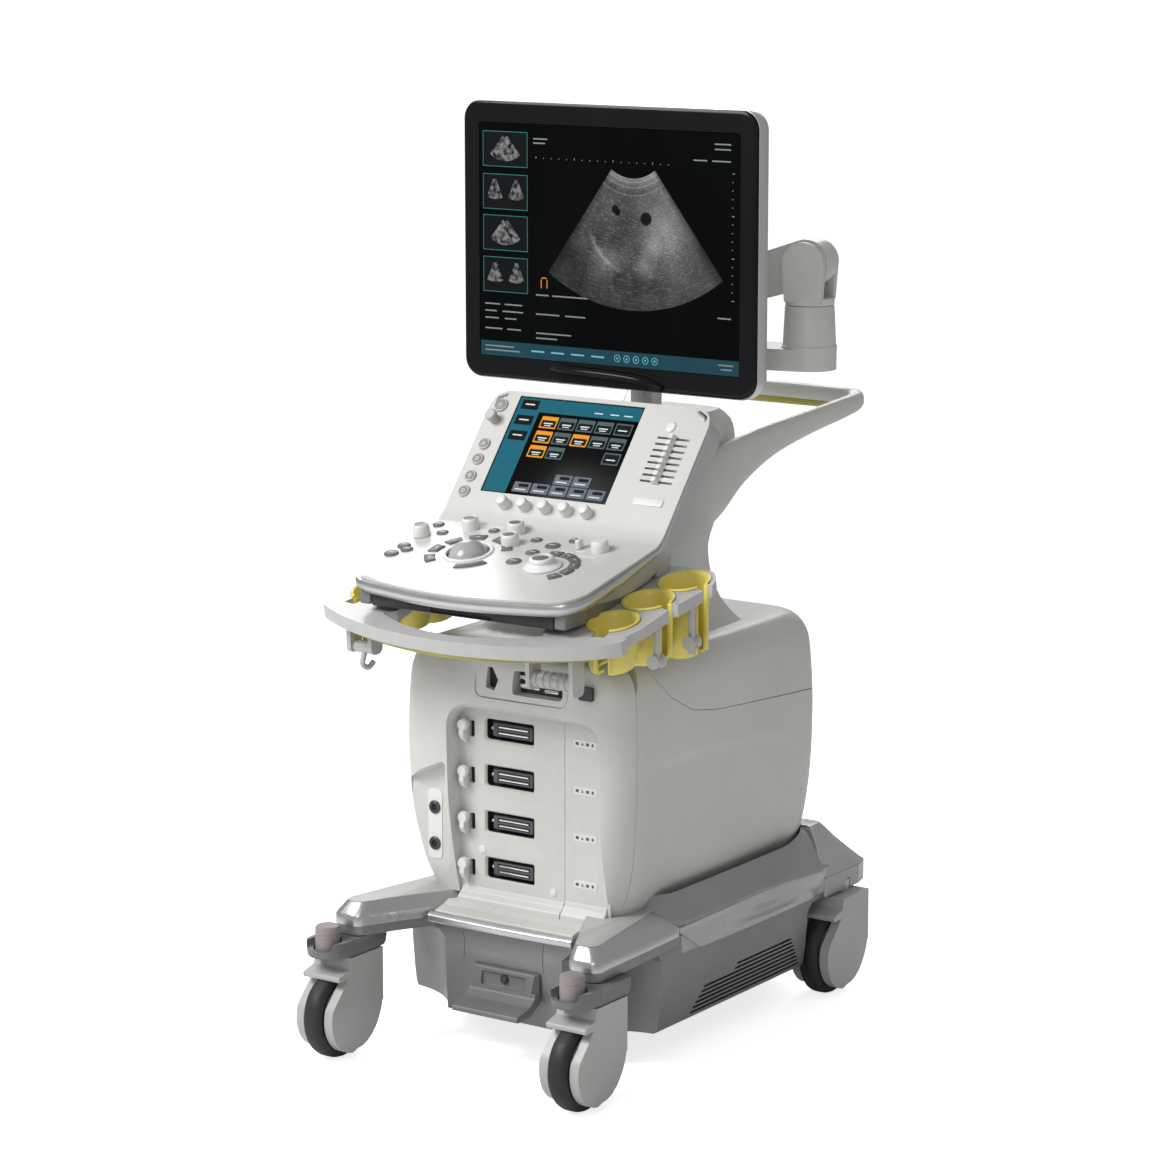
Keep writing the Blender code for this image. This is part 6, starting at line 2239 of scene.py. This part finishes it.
def build_cable_hooks():
    """Grey cable hooks that hang under the frame: a ribbed roller at the right, a small hook at the left."""
    solids = []
    ribs = [(0, -0.033)]
    for k in range(6):
        x = -0.033 + 0.0115 * k
        ribs += [(0.0118, x), (0.0118, x + 0.0070), (0.0100, x + 0.0080), (0.0100, x + 0.0105)]
    ribs.append((0, ribs[-1][1]))
    roller_place = at(0.132, -0.268, 0.566) @ SIDEWAYS
    solids.append(turned(ribs, 36, roller_place))
    for x, low in ((0.096, 0.552), (0.166, 0.549)):
        profile = rounded(
            [(-0.282, low, 0.008), (-0.256, low, 0.008), (-0.254, 0.604, 0.002), (-0.284, 0.604, 0.002)],
            5
        )
        solids.append(soften(side_prism(profile, x - 0.0032, x + 0.0032), 0.0012, 2, 40.0))
    for x in (-0.170, -0.206):
        profile = rounded(
            [
                (-0.280, 0.566, 0.010), (-0.254, 0.566, 0.010), (-0.254, 0.602, 0.002),
                (-0.280, 0.602, 0.002)
            ],
            5
        )
        solids.append(soften(side_prism(profile, x - 0.0035, x + 0.0035), 0.0014, 2, 40.0))
    left_place = at(-0.188, -0.267, 0.575) @ SIDEWAYS
    solids.append(drum(0.0090, -0.016, 0.016, 32, left_place))
    hook = curve_through(
        [
            (-0.188, -0.267, 0.566), (-0.188, -0.272, 0.552), (-0.186, -0.262, 0.545),
            (-0.184, -0.252, 0.552)
        ],
        5
    )
    solids.append(tube(hook, 0.0040, 14, 1.0, Vector((1, 0, 0))))
    for _, side in SIDES:
        for y in (-0.190, -0.116):
            x = side * (0.2405 if y < -0.15 else 0.2480)
            spool = at(x, y, 0.592 if y < -0.15 else 0.606) @ FACING
            solids.append(turned(
                [
                    (0, -0.010), (0.0095, -0.010), (0.0095, -0.007), (0.0070, -0.006), (0.0070, 0.006),
                    (0.0095, 0.007), (0.0095, 0.010), (0, 0.010)
                ],
                28, spool
            ))
            post = at(x, y, 0.0)
            top = frame_z(y) - 0.004
            solids.append(round_block((-0.0035, -0.0045, 0.590), (0.0035, 0.0045, top), 0.0012, 2, post))
    emit("cable_hooks", gathered(*solids), "handle", "console", sharp=40.0)


# Rear handle --------------------------------------------------------------------------------------


def band(path, sizes, sides=20):
    """A bar with its own half height and half thickness at each point of its path."""
    rows = []
    points = [Vector(p) for p in path]
    for i, point in enumerate(points):
        ahead = (points[min(i + 1, len(points) - 1)] - points[max(i - 1, 0)]).normalized()
        across = ahead.cross(Vector((0, 0, 1))).normalized()
        lift = across.cross(ahead)
        tall, thick = sizes[i]
        row = []
        for k in range(sides):
            t = 2 * math.pi * k / sides
            c, s = math.cos(t), math.sin(t)
            a = math.copysign(abs(c) ** 0.75, c) * thick
            b = math.copysign(abs(s) ** 0.75, s) * tall
            row.append(point + across * a + lift * b)
        rows.append(row)
    return skin(rows)


def build_rear_handle():
    """The push handle: two tapering arms that sweep back from the neck to a bar."""
    stations = (
        (0.080, 0.130, 0.735, 0.050, 0.010),
        (0.090, 0.175, 0.762, 0.046, 0.011),
        (0.102, 0.222, 0.792, 0.034, 0.011),
        (0.124, 0.275, 0.818, 0.023, 0.011),
        (0.152, 0.335, 0.839, 0.017, 0.011),
        (0.176, 0.390, 0.855, 0.0145, 0.0115),
        (0.1835, 0.418, 0.8625, 0.0130, 0.0120),
        (0.1740, 0.4345, 0.8665, 0.0122, 0.0122),
        (0.150, 0.4370, 0.8680, 0.0120, 0.0122),
        (0.0, 0.4370, 0.8690, 0.0118, 0.0122),
    )
    full = list(stations) + [(-x, y, z, t, w) for x, y, z, t, w in reversed(stations[:-1])]
    path = curve_through([(x, y, z) for x, y, z, _, _ in full], 5)
    sizes = curve_through([(t, w, 0.0) for _, _, _, t, w in full], 5)
    bar = band(path, [(s.x, s.y) for s in sizes])
    emit("rear_handle_bar", bar, "shell", "base", cad="rear_handle")
    strip = band([(x, 0.4370, 0.8545) for x in levels(-0.150, 0.150, 0.02)], [(0.0065, 0.0085)] * 16, 16)
    emit("rear_handle_strip", strip, "olive", "base")


# Monitor ------------------------------------------------------------------------------------------

MONITOR_HALF = 0.245
MONITOR_Z = (0.910, 1.305)
MONITOR_Y = 0.046
BEZEL_T = 0.022
SCREEN_X = (-0.216, 0.217)
SCREEN_Z = (0.943, 1.272)
GLASS_Y = MONITOR_Y + 0.0014
TILT_AT = (0.1325, 1.100)
VENT_TALL = 0.0040
FAN_APEX = (0.0425, 1.265)
FAN_REACH = (0.0605, 0.243)
FAN_ANGLES = (-35.5, 37.5)
# Dark vessels in the picture, as (x, z, radius).
VESSELS = ((0.065, 1.150, 0.0100), (0.014, 1.161, 0.0062), (0.018, 1.157, 0.0052))
# Brighter and dimmer fields of the picture, as (x, z, radius, gain or what is left).
BRIGHT = (
    (0.092, 1.135, 0.042, 0.55), (0.064, 1.085, 0.022, 0.55), (-0.005, 1.085, 0.030, 0.50),
    (0.075, 1.110, 0.020, 0.6)
)
DIM = (
    (0.160, 1.110, 0.050, 0.35), (-0.060, 1.090, 0.045, 0.30), (0.130, 1.190, 0.030, 0.30),
    (0.020, 1.120, 0.034, 0.55)
)


def screen_outline(inset, radius, steps=8):
    """The monitor's round-cornered outline, moved in by an inset, as (x, z)."""
    low, high = MONITOR_Z[0] + inset, MONITOR_Z[1] - inset
    half = MONITOR_HALF - inset
    return oblong(-half, half, low, high, radius, steps)


def front_rows(steps):
    """A solid through the monitor's outline at several depths, as (y, inset, radius)."""
    return skin([[Vector((x, y, z)) for x, z in screen_outline(inset, radius)] for y, inset, radius in steps])


def build_bezel():
    """The black bezel, the pale rim round it, the glass and the grip under the screen."""
    face = front_rows((
        (MONITOR_Y + 0.016, 0.0012, 0.027), (MONITOR_Y + 0.004, 0.0012, 0.027),
        (MONITOR_Y + 0.0012, 0.0024, 0.026), (MONITOR_Y + 0.0002, 0.0050, 0.024),
        (MONITOR_Y, 0.0080, 0.022)
    ))
    (left, right), (low, high) = SCREEN_X, SCREEN_Z
    window = skin(
        [
            [Vector((x, y, z)) for x, z in oblong(left - g, right + g, low - g, high + g, 0.002, 3)]
            for y, g in ((MONITOR_Y - 0.002, 0.0022), (GLASS_Y + 0.0004, 0.0004), (GLASS_Y + 0.004, 0.0004))
        ]
    )
    emit(
        "monitor_front", cut(face, window), "black", "monitor", sharp=40.0,
        cad="monitor_bezel"
    )
    rim = front_rows((
        (MONITOR_Y + 0.0060, 0.0006, 0.0275), (MONITOR_Y + 0.0072, 0.0, 0.028),
        (MONITOR_Y + BEZEL_T, 0.0, 0.028)
    ))
    core = front_rows(((MONITOR_Y - 0.01, 0.0030, 0.026), (MONITOR_Y + 0.0165, 0.0030, 0.026)))
    emit("monitor_rim", cut(rim, core), "rim_white", "monitor", 0.0008, sharp=34.0)
    glass = front_prism(
        box_outline(left - 0.0002, right + 0.0002, low - 0.0002, high + 0.0002), GLASS_Y,
        GLASS_Y + 0.002
    )
    emit("screen_glass", glass, "glass", "monitor")
    path = curve_through(
        [
            (-0.088, 0.0450, 0.9340), (-0.066, 0.0375, 0.9330), (-0.020, 0.0345, 0.9325),
            (0.040, 0.0350, 0.9300), (0.072, 0.0390, 0.9250), (0.092, 0.0455, 0.9170)
        ],
        6
    )
    grip = tube(path, 0.0062, 16, 0.85)
    shelf = front_prism(
        rounded(
            [
                (-0.080, 0.9150, 0.006), (0.080, 0.9150, 0.006), (0.060, 0.9290, 0.006),
                (-0.072, 0.9310, 0.006)
            ],
            5
        ),
        MONITOR_Y - 0.0045, MONITOR_Y + 0.004
    )
    emit(
        "monitor_grip", gathered(grip, soften(shelf, 0.0025, 3, 40.0)), "black", "monitor", sharp=40.0,
    )


def build_monitor_back():
    """The light rear housing: a shallow dish, a raised middle with vents, and the tilt lugs."""
    start = MONITOR_Y + BEZEL_T + 0.0004
    dish = front_rows((
        (start, 0.0015, 0.027), (start + 0.010, 0.0025, 0.027), (start + 0.015, 0.0060, 0.025),
        (start + 0.0185, 0.0160, 0.022), (start + 0.0210, 0.0320, 0.020),
        (start + 0.0275, 0.0520, 0.018), (start + 0.0300, 0.0620, 0.016)
    ))
    cutters = []
    for k in range(11):
        z = 1.150 + 0.0085 * k
        tops = [z, z - 0.185] if z < 1.21 else [z]
        for low in tops:
            high = low + VENT_TALL
            cutters.append(round_block(
                (-0.120, start + 0.0265, low), (0.120, start + 0.034, high), 0.0015, 1
            ))
    housing = cut(dish, *cutters)
    emit(
        "monitor_housing", housing, "handle", "monitor", 0.0008, sharp=34.0,
        cad="monitor_back"
    )
    y, z = TILT_AT
    lugs = []
    for side in (-1, 1):
        profile = [(start + 0.024, z - 0.020), (start + 0.024, z + 0.020)]
        for k in range(9):
            t = math.radians(90 - 180 * k / 8)
            profile.append((y - 0.002 + 0.0145 * math.cos(t), z + 0.0145 * math.sin(t)))
        bore = drum(0.0064, -0.2, 0.2, 24, at(0, y, z) @ SIDEWAYS)
        low, high = span(side, 0.050, 0.066)
        lugs.append(cut(side_prism(profile, low, high), bore))
    emit("monitor_lugs", gathered(*lugs), "housing", "monitor", 0.0012, sharp=40.0)


def screen_tile(x, z, wide, tall, lift=0.0):
    """A flat rectangle on the screen, from its lower left corner."""
    y = GLASS_Y - 0.00004 - lift
    return front_prism(box_outline(x, x + wide, z, z + tall), y - 0.00004, y)


def fan(apex, reach, angles, lift, columns=48, rows=24):
    """A sector of a ring on the screen, as a grid."""
    bm = bmesh.new()
    grid = []
    for i in range(rows + 1):
        r = reach[0] + (reach[1] - reach[0]) * i / rows
        line = []
        for k in range(columns + 1):
            t = math.radians(angles[0] + (angles[1] - angles[0]) * k / columns)
            line.append(bm.verts.new((apex[0] + r * math.sin(t), GLASS_Y - lift, apex[1] - r * math.cos(t))))
        grid.append(line)
    for i in range(rows):
        for k in range(columns):
            bm.faces.new((grid[i][k], grid[i + 1][k], grid[i + 1][k + 1], grid[i][k + 1]))
    return bm


def scan_material(name):
    """A made-up grey scan picture: speckle that follows the beam, soft tissue shades and dark vessels."""
    nodes = Nodes(name)
    place = nodes.add("TexCoord")["Object"]
    shift = (-FAN_APEX[0] - HOME.x, 0.0, -FAN_APEX[1])
    local = nodes.add("VectorMath", {0: place, 1: shift}, operation="ADD")["Vector"]
    parts = nodes.add("SeparateXYZ", {0: local})
    reach = nodes.math(
        "SQRT",
        nodes.math("ADD", nodes.math("POWER", parts["X"], 2.0), nodes.math("POWER", parts["Z"], 2.0))
    )
    angle = nodes.math("ARCTAN2", parts["X"], nodes.math("MULTIPLY", parts["Z"], -1.0))
    polar = nodes.add(
        "CombineXYZ",
        {0: nodes.math("MULTIPLY", angle, 14.0), 1: nodes.math("MULTIPLY", reach, 330.0), 2: 0.0}
    )[0]
    speckle = nodes.span(nodes.noise(3.4, 4.0, polar), 0.30, 0.72, 0.25, 1.25)
    tissue = nodes.span(nodes.noise(30.0, 3.0), 0.30, 0.70, 0.14, 0.42)
    streaks = nodes.span(nodes.noise(1.1, 2.0, polar), 0.52, 0.72, 0.0, 0.35)
    near = nodes.span(reach, FAN_REACH[0], FAN_REACH[0] + 0.020, 0.55, 0.0)
    far = nodes.span(reach, 0.170, FAN_REACH[1], 1.0, 0.42)
    right = nodes.span(angle, 0.05, 0.45, 0.0, 0.28)
    edge = nodes.span(nodes.math("ABSOLUTE", nodes.math("SUBTRACT", angle, 0.017)), 0.56, 0.64, 1.0, 0.35)
    value = nodes.math("ADD", nodes.math("ADD", tissue, near), nodes.math("ADD", right, streaks))

    def distance(x, z):
        """How far the shaded spot is from a place on the screen."""
        offset = (-x - HOME.x, -GLASS_Y - HOME.y, -z)
        gone = nodes.add("VectorMath", {0: place, 1: offset}, operation="ADD")["Vector"]
        return nodes.add("VectorMath", {0: gone}, operation="LENGTH")["Value"]

    def field(x, z, full, none, inside, outside):
        """One value inside a disc on the screen and another outside it, with a soft edge."""
        return nodes.span(distance(x, z), full, none, inside, outside)

    for x, z, radius, gain in BRIGHT:
        value = nodes.math("ADD", value, field(x, z, 0.0, radius, gain, 0.0))
    for x, z, radius, left in DIM:
        value = nodes.math("MULTIPLY", value, field(x, z, 0.0, radius, left, 1.0))
    value = nodes.math("MULTIPLY", nodes.math("MULTIPLY", value, speckle), nodes.math("MULTIPLY", far, edge))
    wavy = nodes.math(
        "ADD", distance(0.045, 1.150), nodes.span(nodes.noise(70.0, 3.0), 0.3, 0.7, -0.003, 0.003)
    )
    off = nodes.math("ABSOLUTE", nodes.math("SUBTRACT", wavy, 0.0760))
    arc = nodes.math(
        "MULTIPLY", nodes.span(off, 0.0004, 0.0042, 1.0, 0.0),
        nodes.span(parts["X"], -0.078, -0.010, 1.0, 0.0)
    )
    low = nodes.span(parts["Z"], -0.168, -0.128, 1.0, 0.0)
    value = nodes.math("ADD", value, nodes.math("MULTIPLY", nodes.math("MULTIPLY", arc, low), speckle))
    for radius in (0.0660, 0.0735, 0.0840):
        line = nodes.math("ABSOLUTE", nodes.math("SUBTRACT", reach, radius))
        value = nodes.math("ADD", value, nodes.span(line, 0.0, 0.0014, 0.30, 0.0))
    for x, z, radius in VESSELS:
        value = nodes.math("MULTIPLY", value, field(x, z, radius * 0.80, radius * 1.05, 0.03, 1.0))
    value = nodes.math("MULTIPLY", value, 0.62)
    glow = nodes.add("CombineColor", {0: value, 1: value, 2: value})[0]
    return nodes.shaded((0.004, 0.004, 0.004, 1.0), 0.35, glow=glow, power=0.55, shine=0.05)


def build_screen_picture():
    """What the screen shows: a made-up scan, four small ones, scales, blank text bars and a task bar."""
    emit("scan_picture", fan(FAN_APEX, FAN_REACH, FAN_ANGLES, 0.00010), "scan", "monitor")
    small = []
    frames = []
    blanks = []
    for k, z in enumerate((1.211, 1.151, 1.093, 1.034)):
        frames.append(screen_tile(-0.211, z, 0.077, 0.0500))
        blanks.append(screen_tile(-0.2098, z + 0.0012, 0.0746, 0.0476, 0.0001))
        pairs = ((-0.1725, 0.040),) if k in (0, 2) else ((-0.1905, 0.034), (-0.1535, 0.034))
        for x, tall in pairs:
            wide = 40 if len(pairs) == 1 else 24
            small.append(fan((x, z + 0.0480), (0.006, tall), (-wide, wide), 0.00028, 16, 6))
    emit("thumbnail_frames", gathered(*frames), "ui_green", "monitor")
    emit("thumbnail_fields", gathered(*blanks), "ui_dark", "monitor")
    emit("thumbnail_scans", gathered(*small), "thumb", "monitor")
    bars = []
    for x, z, wide in (
        (-0.124, 1.2515, 0.024),
        (-0.124, 1.2455, 0.020),
        (0.176, 1.2560, 0.026),
        (0.176, 1.2490, 0.026),
        (0.142, 1.2330, 0.022),
        (0.172, 1.2330, 0.030),
        (0.182, 1.0200, 0.022),
        (-0.120, 1.0330, 0.022),
        (-0.092, 1.0330, 0.060),
        (-0.120, 1.0060, 0.040),
        (-0.070, 1.0060, 0.034),
        (-0.120, 0.9790, 0.060),
        (-0.120, 0.9720, 0.036),
        (-0.208, 1.0160, 0.026),
        (-0.174, 1.0160, 0.030),
        (-0.208, 1.0060, 0.020),
        (-0.178, 1.0060, 0.036),
        (-0.208, 0.9960, 0.024),
        (-0.174, 0.9960, 0.020),
        (-0.208, 0.9810, 0.030),
        (-0.170, 0.9810, 0.024),
        (-0.208, 0.9560, 0.050),
        (-0.208, 0.9500, 0.060),
        (0.184, 0.9560, 0.024),
        (0.188, 0.9500, 0.018),
    ):
        bars.append(screen_tile(x, z, wide, 0.0019, 0.0002))
    for k in range(16):
        long_tick = k % 5 == 0
        bars.append(screen_tile(0.2045, 1.045 + 0.0115 * k, 0.0040 if long_tick else 0.0018, 0.0012, 0.0002))
    for k in range(18):
        bars.append(screen_tile(
            -0.120 + 0.0130 * k, 1.2250, 0.0012, 0.0030 if k % 5 == 0 else 0.0014, 0.0002
        ))
    emit("screen_text_bars", gathered(*bars), "ui_faint", "monitor")
    bar = screen_tile(SCREEN_X[0], SCREEN_Z[0], SCREEN_X[1] - SCREEN_X[0], 0.0210)
    emit("task_bar", bar, "ui_taskbar", "monitor")
    icons = []
    for k in range(5):
        place = at(0.018 + 0.0155 * k, GLASS_Y - 0.00030, 0.9540) @ FACING
        icons.append(turned([(0.0042, 0.0), (0.0052, 0.0), (0.0052, 0.0001), (0.0042, 0.0001)], 20, place))
        icons.append(drum(0.0016, 0.0, 0.0001, 12, place))
    for k in range(4):
        icons.append(screen_tile(-0.128 + 0.034 * k, 0.9525, 0.022, 0.0024, 0.0002))
    emit("task_bar_icons", gathered(*icons), "ui_cyan", "monitor")
    mark = fan((-0.106, 1.050), (0.0080, 0.0092), (150, 210), 0.00028, 12, 1)
    stem = screen_tile(-0.1115, 1.0440, 0.0012, 0.0120, 0.0002)
    other = screen_tile(-0.1015, 1.0440, 0.0012, 0.0120, 0.0002)
    emit("body_mark", gathered(mark, stem, other), "ui_orange", "monitor")


# Monitor arm --------------------------------------------------------------------------------------

LINK_Z = (0.940, 0.970)
POST_AT = Vector((0.240, 0.195, 0.0))
ELBOW_Z = 1.088
ARM_END = Vector((0.030, 0.150, 1.022))


def stadium(a, b, radius_a, radius_b, steps=16):
    """The outline round two circles joined by straight sides."""
    a, b = Vector(a), Vector(b)
    turn = math.atan2(b.y - a.y, b.x - a.x)
    points = []
    for centre, radius, start in ((a, radius_a, turn + math.pi / 2), (b, radius_b, turn - math.pi / 2)):
        for k in range(steps + 1):
            t = start + math.pi * k / steps
            points.append((centre.x + radius * math.cos(t), centre.y + radius * math.sin(t)))
    return points


def arm_frame():
    """Local X along the arm's level heading, local Y up, local Z across the arm, at the elbow."""
    along = ARM_END - POST_AT
    along.z = 0
    along.normalize()
    across = along.cross(Vector((0, 0, 1)))
    turn = Matrix((along, Vector((0, 0, 1)), across)).transposed().to_4x4()
    return at(POST_AT.x, POST_AT.y, ELBOW_Z) @ turn


def build_arm():
    """The arm from the mast to the monitor: link, post, turning head, sprung arm, head and bracket."""
    link = flat_prism(stadium((0, MAST_Y), POST_AT.xy, 0.040, 0.038), *LINK_Z)
    link = soften(link, 0.0050, 4, 50.0)
    post = turned(
        [
            (0, 0.966), (0.0385, 0.966), (0.0385, 0.973), (0.0372, 0.9745), (0.0345, 1.0265),
            (0.0335, 1.0295), (0, 1.0295)
        ],
        64, Matrix.Translation(POST_AT)
    )
    emit(
        "link_and_post", joined(link, post), "shell", "base_link", 0.0010, sharp=34.0,
        cad="arm_base_link"
    )
    frame_at = arm_frame()
    foot = turned(
        [(0, 1.0303), (0.0335, 1.0303), (0.0345, 1.0315), (0.0345, 1.0400), (0, 1.0400)], 64,
        Matrix.Translation(POST_AT)
    )
    cheeks = []
    for side in (-1, 1):
        outline = [(-0.0265, -0.052), (0.0265, -0.052)]
        for k in range(21):
            t = math.radians(-12 + 204 * k / 20)
            outline.append((0.0305 * math.cos(t), 0.0305 * math.sin(t)))
        solid = prism(outline, 0.0125, frame_at @ at(0, 0, side * 0.0276))
        cheeks.append(solid)
    head = joined(foot, *cheeks)
    emit("knuckle_head", head, "shell", "knuckle", 0.0030, 3, 40.0, cad="arm_knuckle")
    local_end = frame_at.inverted() @ ARM_END
    beam = prism(stadium((0, 0), (local_end.x, local_end.y), 0.0335, 0.026), 0.0410, frame_at)
    beam = soften(beam, 0.0055, 4, 50.0)
    slot = drum(0.036, -0.0134, 0.0134, 56, frame_at @ Matrix.Translation(local_end))
    emit("sprung_arm", cut(beam, slot), "shell", "upper_arm", sharp=40.0, cad="arm_upper")
    place = frame_at @ Matrix.Translation(local_end)
    pins = drum(0.0060, -0.0200, 0.0200, 32, place)
    emit("arm_end_pin", pins, "steel", "upper_arm")
    knob = turned(
        [
            (0.0064, -0.0128), (0.0185, -0.0128), (0.0200, -0.0112), (0.0200, 0.0112), (0.0185, 0.0128),
            (0.0064, 0.0128)
        ],
        56, place
    )
    spindle = turned(
        [(0, 0.014), (0.0100, 0.014), (0.0100, 0.0560), (0.0090, 0.0570), (0, 0.0570)], 40,
        Matrix.Translation(ARM_END)
    )
    emit(
        "arm_head", gathered(knob, spindle), "housing", "arm_end", sharp=40.0,
        cad="arm_end_head"
    )
    low = 0.0374
    collar = turned(
        [
            (0.0104, low), (0.0165, low), (0.0175, low + 0.001), (0.0175, low + 0.0226),
            (0.0165, low + 0.0238), (0.0104, low + 0.0238)
        ],
        48, Matrix.Translation(ARM_END)
    )
    base = ARM_END.z + low
    plate = soften(block((-0.030, 0.1285, base + 0.004), (0.040, 0.1415, TILT_AT[1] + 0.012)), 0.0030, 3)
    web = block((0.013, 0.134, base + 0.001), (0.030, 0.1485, base + 0.021))
    bore = drum(0.0104, -0.02, 0.10, 40, Matrix.Translation(ARM_END))
    pin = drum(0.0060, -0.074, 0.076, 32, at(0, TILT_AT[0], TILT_AT[1]) @ SIDEWAYS)
    emit(
        "tilt_bracket", gathered(collar, cut(web, bore), plate), "housing", "bracket", sharp=40.0,
        cad="monitor_bracket"
    )
    emit("tilt_pin", pin, "steel", "bracket")


def build_top():
    """Makes the holders, the rear handle, the monitor and its arm."""
    build_holder_frame()
    build_cups()
    build_cable_hooks()
    build_rear_handle()
    build_bezel()
    build_monitor_back()
    build_screen_picture()
    build_arm()


def build_machine():
    """Makes every piece."""
    build_body()
    build_base()
    build_console()
    build_top()


# The frame's own nodes that stay in sight ---------------------------------------------------------

CARRIED = {
    "lift_mast": "steel",
    "lift_column": "steel",
    "chassis_plate": "steel",
    "electronics_module": "steel",
    "underbody_tray": "dark_grey",
}


def dress_frame():
    """Gives each CAD node that is still shown a procedural material."""
    for name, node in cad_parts.items():
        for spot in node.material_slots:
            own = spot.material.name.split(".")[0] if spot.material else "shell"
            known = own in FINISHES or own in SPECIAL
            spot.material = material(CARRIED.get(name, own if known else "shell"))


# The studio ---------------------------------------------------------------------------------------

VIEW_AZIMUTH = math.radians(34.29)
VIEW_ELEVATION = math.radians(10.99)
VIEW_DISTANCE = 5.136
VIEW_AIM = Vector((0.0, 0.0, 0.635))
VIEW_LENS = 112.43


def heading(azimuth, elevation):
    """The direction from the machine towards a viewer."""
    level = math.cos(elevation)
    return Vector((math.sin(azimuth) * level, -math.cos(azimuth) * level, math.sin(elevation)))


def aim(obj, point):
    """Turns a camera or a light towards a point."""
    obj.rotation_euler = (Vector(point) - obj.location).to_track_quat("-Z", "Y").to_euler()


def add_camera():
    """The camera, at a three-quarter view from the machine's left."""
    data = bpy.data.cameras.new("camera")
    data.lens = VIEW_LENS
    data.sensor_width = 36.0
    camera = bpy.data.objects.new("camera", data)
    bpy.context.scene.collection.objects.link(camera)
    target = VIEW_AIM + HOME
    camera.location = target + heading(VIEW_AZIMUTH, VIEW_ELEVATION) * VIEW_DISTANCE
    aim(camera, target)
    bpy.context.scene.camera = camera


def add_light(name, azimuth, elevation, distance, size, power):
    """A rectangular light at a heading and distance from the machine's middle."""
    data = bpy.data.lights.new(name, "AREA")
    data.shape = "RECTANGLE"
    data.size, data.size_y = size
    data.energy = power
    light = bpy.data.objects.new(name, data)
    bpy.context.scene.collection.objects.link(light)
    middle = Vector((0, 0, 0.7))
    light.visible_camera = False
    light.location = middle + heading(math.radians(azimuth), math.radians(elevation)) * distance
    aim(light, middle)


def add_studio():
    """A pale floor, a dim surround that the camera sees as plain white, and soft lights."""
    mesh = bpy.data.meshes.new("floor")
    bm = bmesh.new()
    bmesh.ops.create_grid(bm, x_segments=1, y_segments=1, size=30.0)
    bm.to_mesh(mesh)
    bm.free()
    floor = bpy.data.objects.new("floor", mesh)
    bpy.context.scene.collection.objects.link(floor)
    nodes = Nodes("floor_paint")
    tone = nodes.span(nodes.noise(0.8, 3.0), 0.3, 0.7, 0.90, 0.92)
    colour = nodes.add("CombineColor", {0: tone, 1: tone, 2: tone})[0]
    # The floor glows a little, but only to the camera, so that it reads as plain white.
    seen = nodes.math("MULTIPLY", nodes.add("LightPath")["Is Camera Ray"], 0.75)
    mesh.materials.append(nodes.shaded(colour, 0.8, glow=(1.0, 1.0, 1.0, 1.0), power=seen, shine=0.1))
    world = bpy.data.worlds.new("surround")
    world.use_nodes = True
    tree = world.node_tree
    background = tree.nodes["Background"]
    background.inputs["Color"].default_value = (0.98, 0.99, 1.0, 1.0)
    path = tree.nodes.new("ShaderNodeLightPath")
    strength = tree.nodes.new("ShaderNodeMapRange")
    strength.inputs["To Min"].default_value = 0.38
    strength.inputs["To Max"].default_value = 1.15
    tree.links.new(path.outputs["Is Camera Ray"], strength.inputs["Value"])
    tree.links.new(strength.outputs["Result"], background.inputs["Strength"])
    bpy.context.scene.world = world
    add_light("key", -30.0, 38.0, 3.2, (1.4, 1.4), 88.0)
    add_light("front", 25.0, 20.0, 3.6, (1.2, 1.2), 14.0)
    add_light("rear", 214.0, 35.0, 2.6, (2.0, 1.2), 40.0)
    bpy.context.scene.view_settings.view_transform = "Standard"


build_machine()
dress_frame()
add_studio()
add_camera()
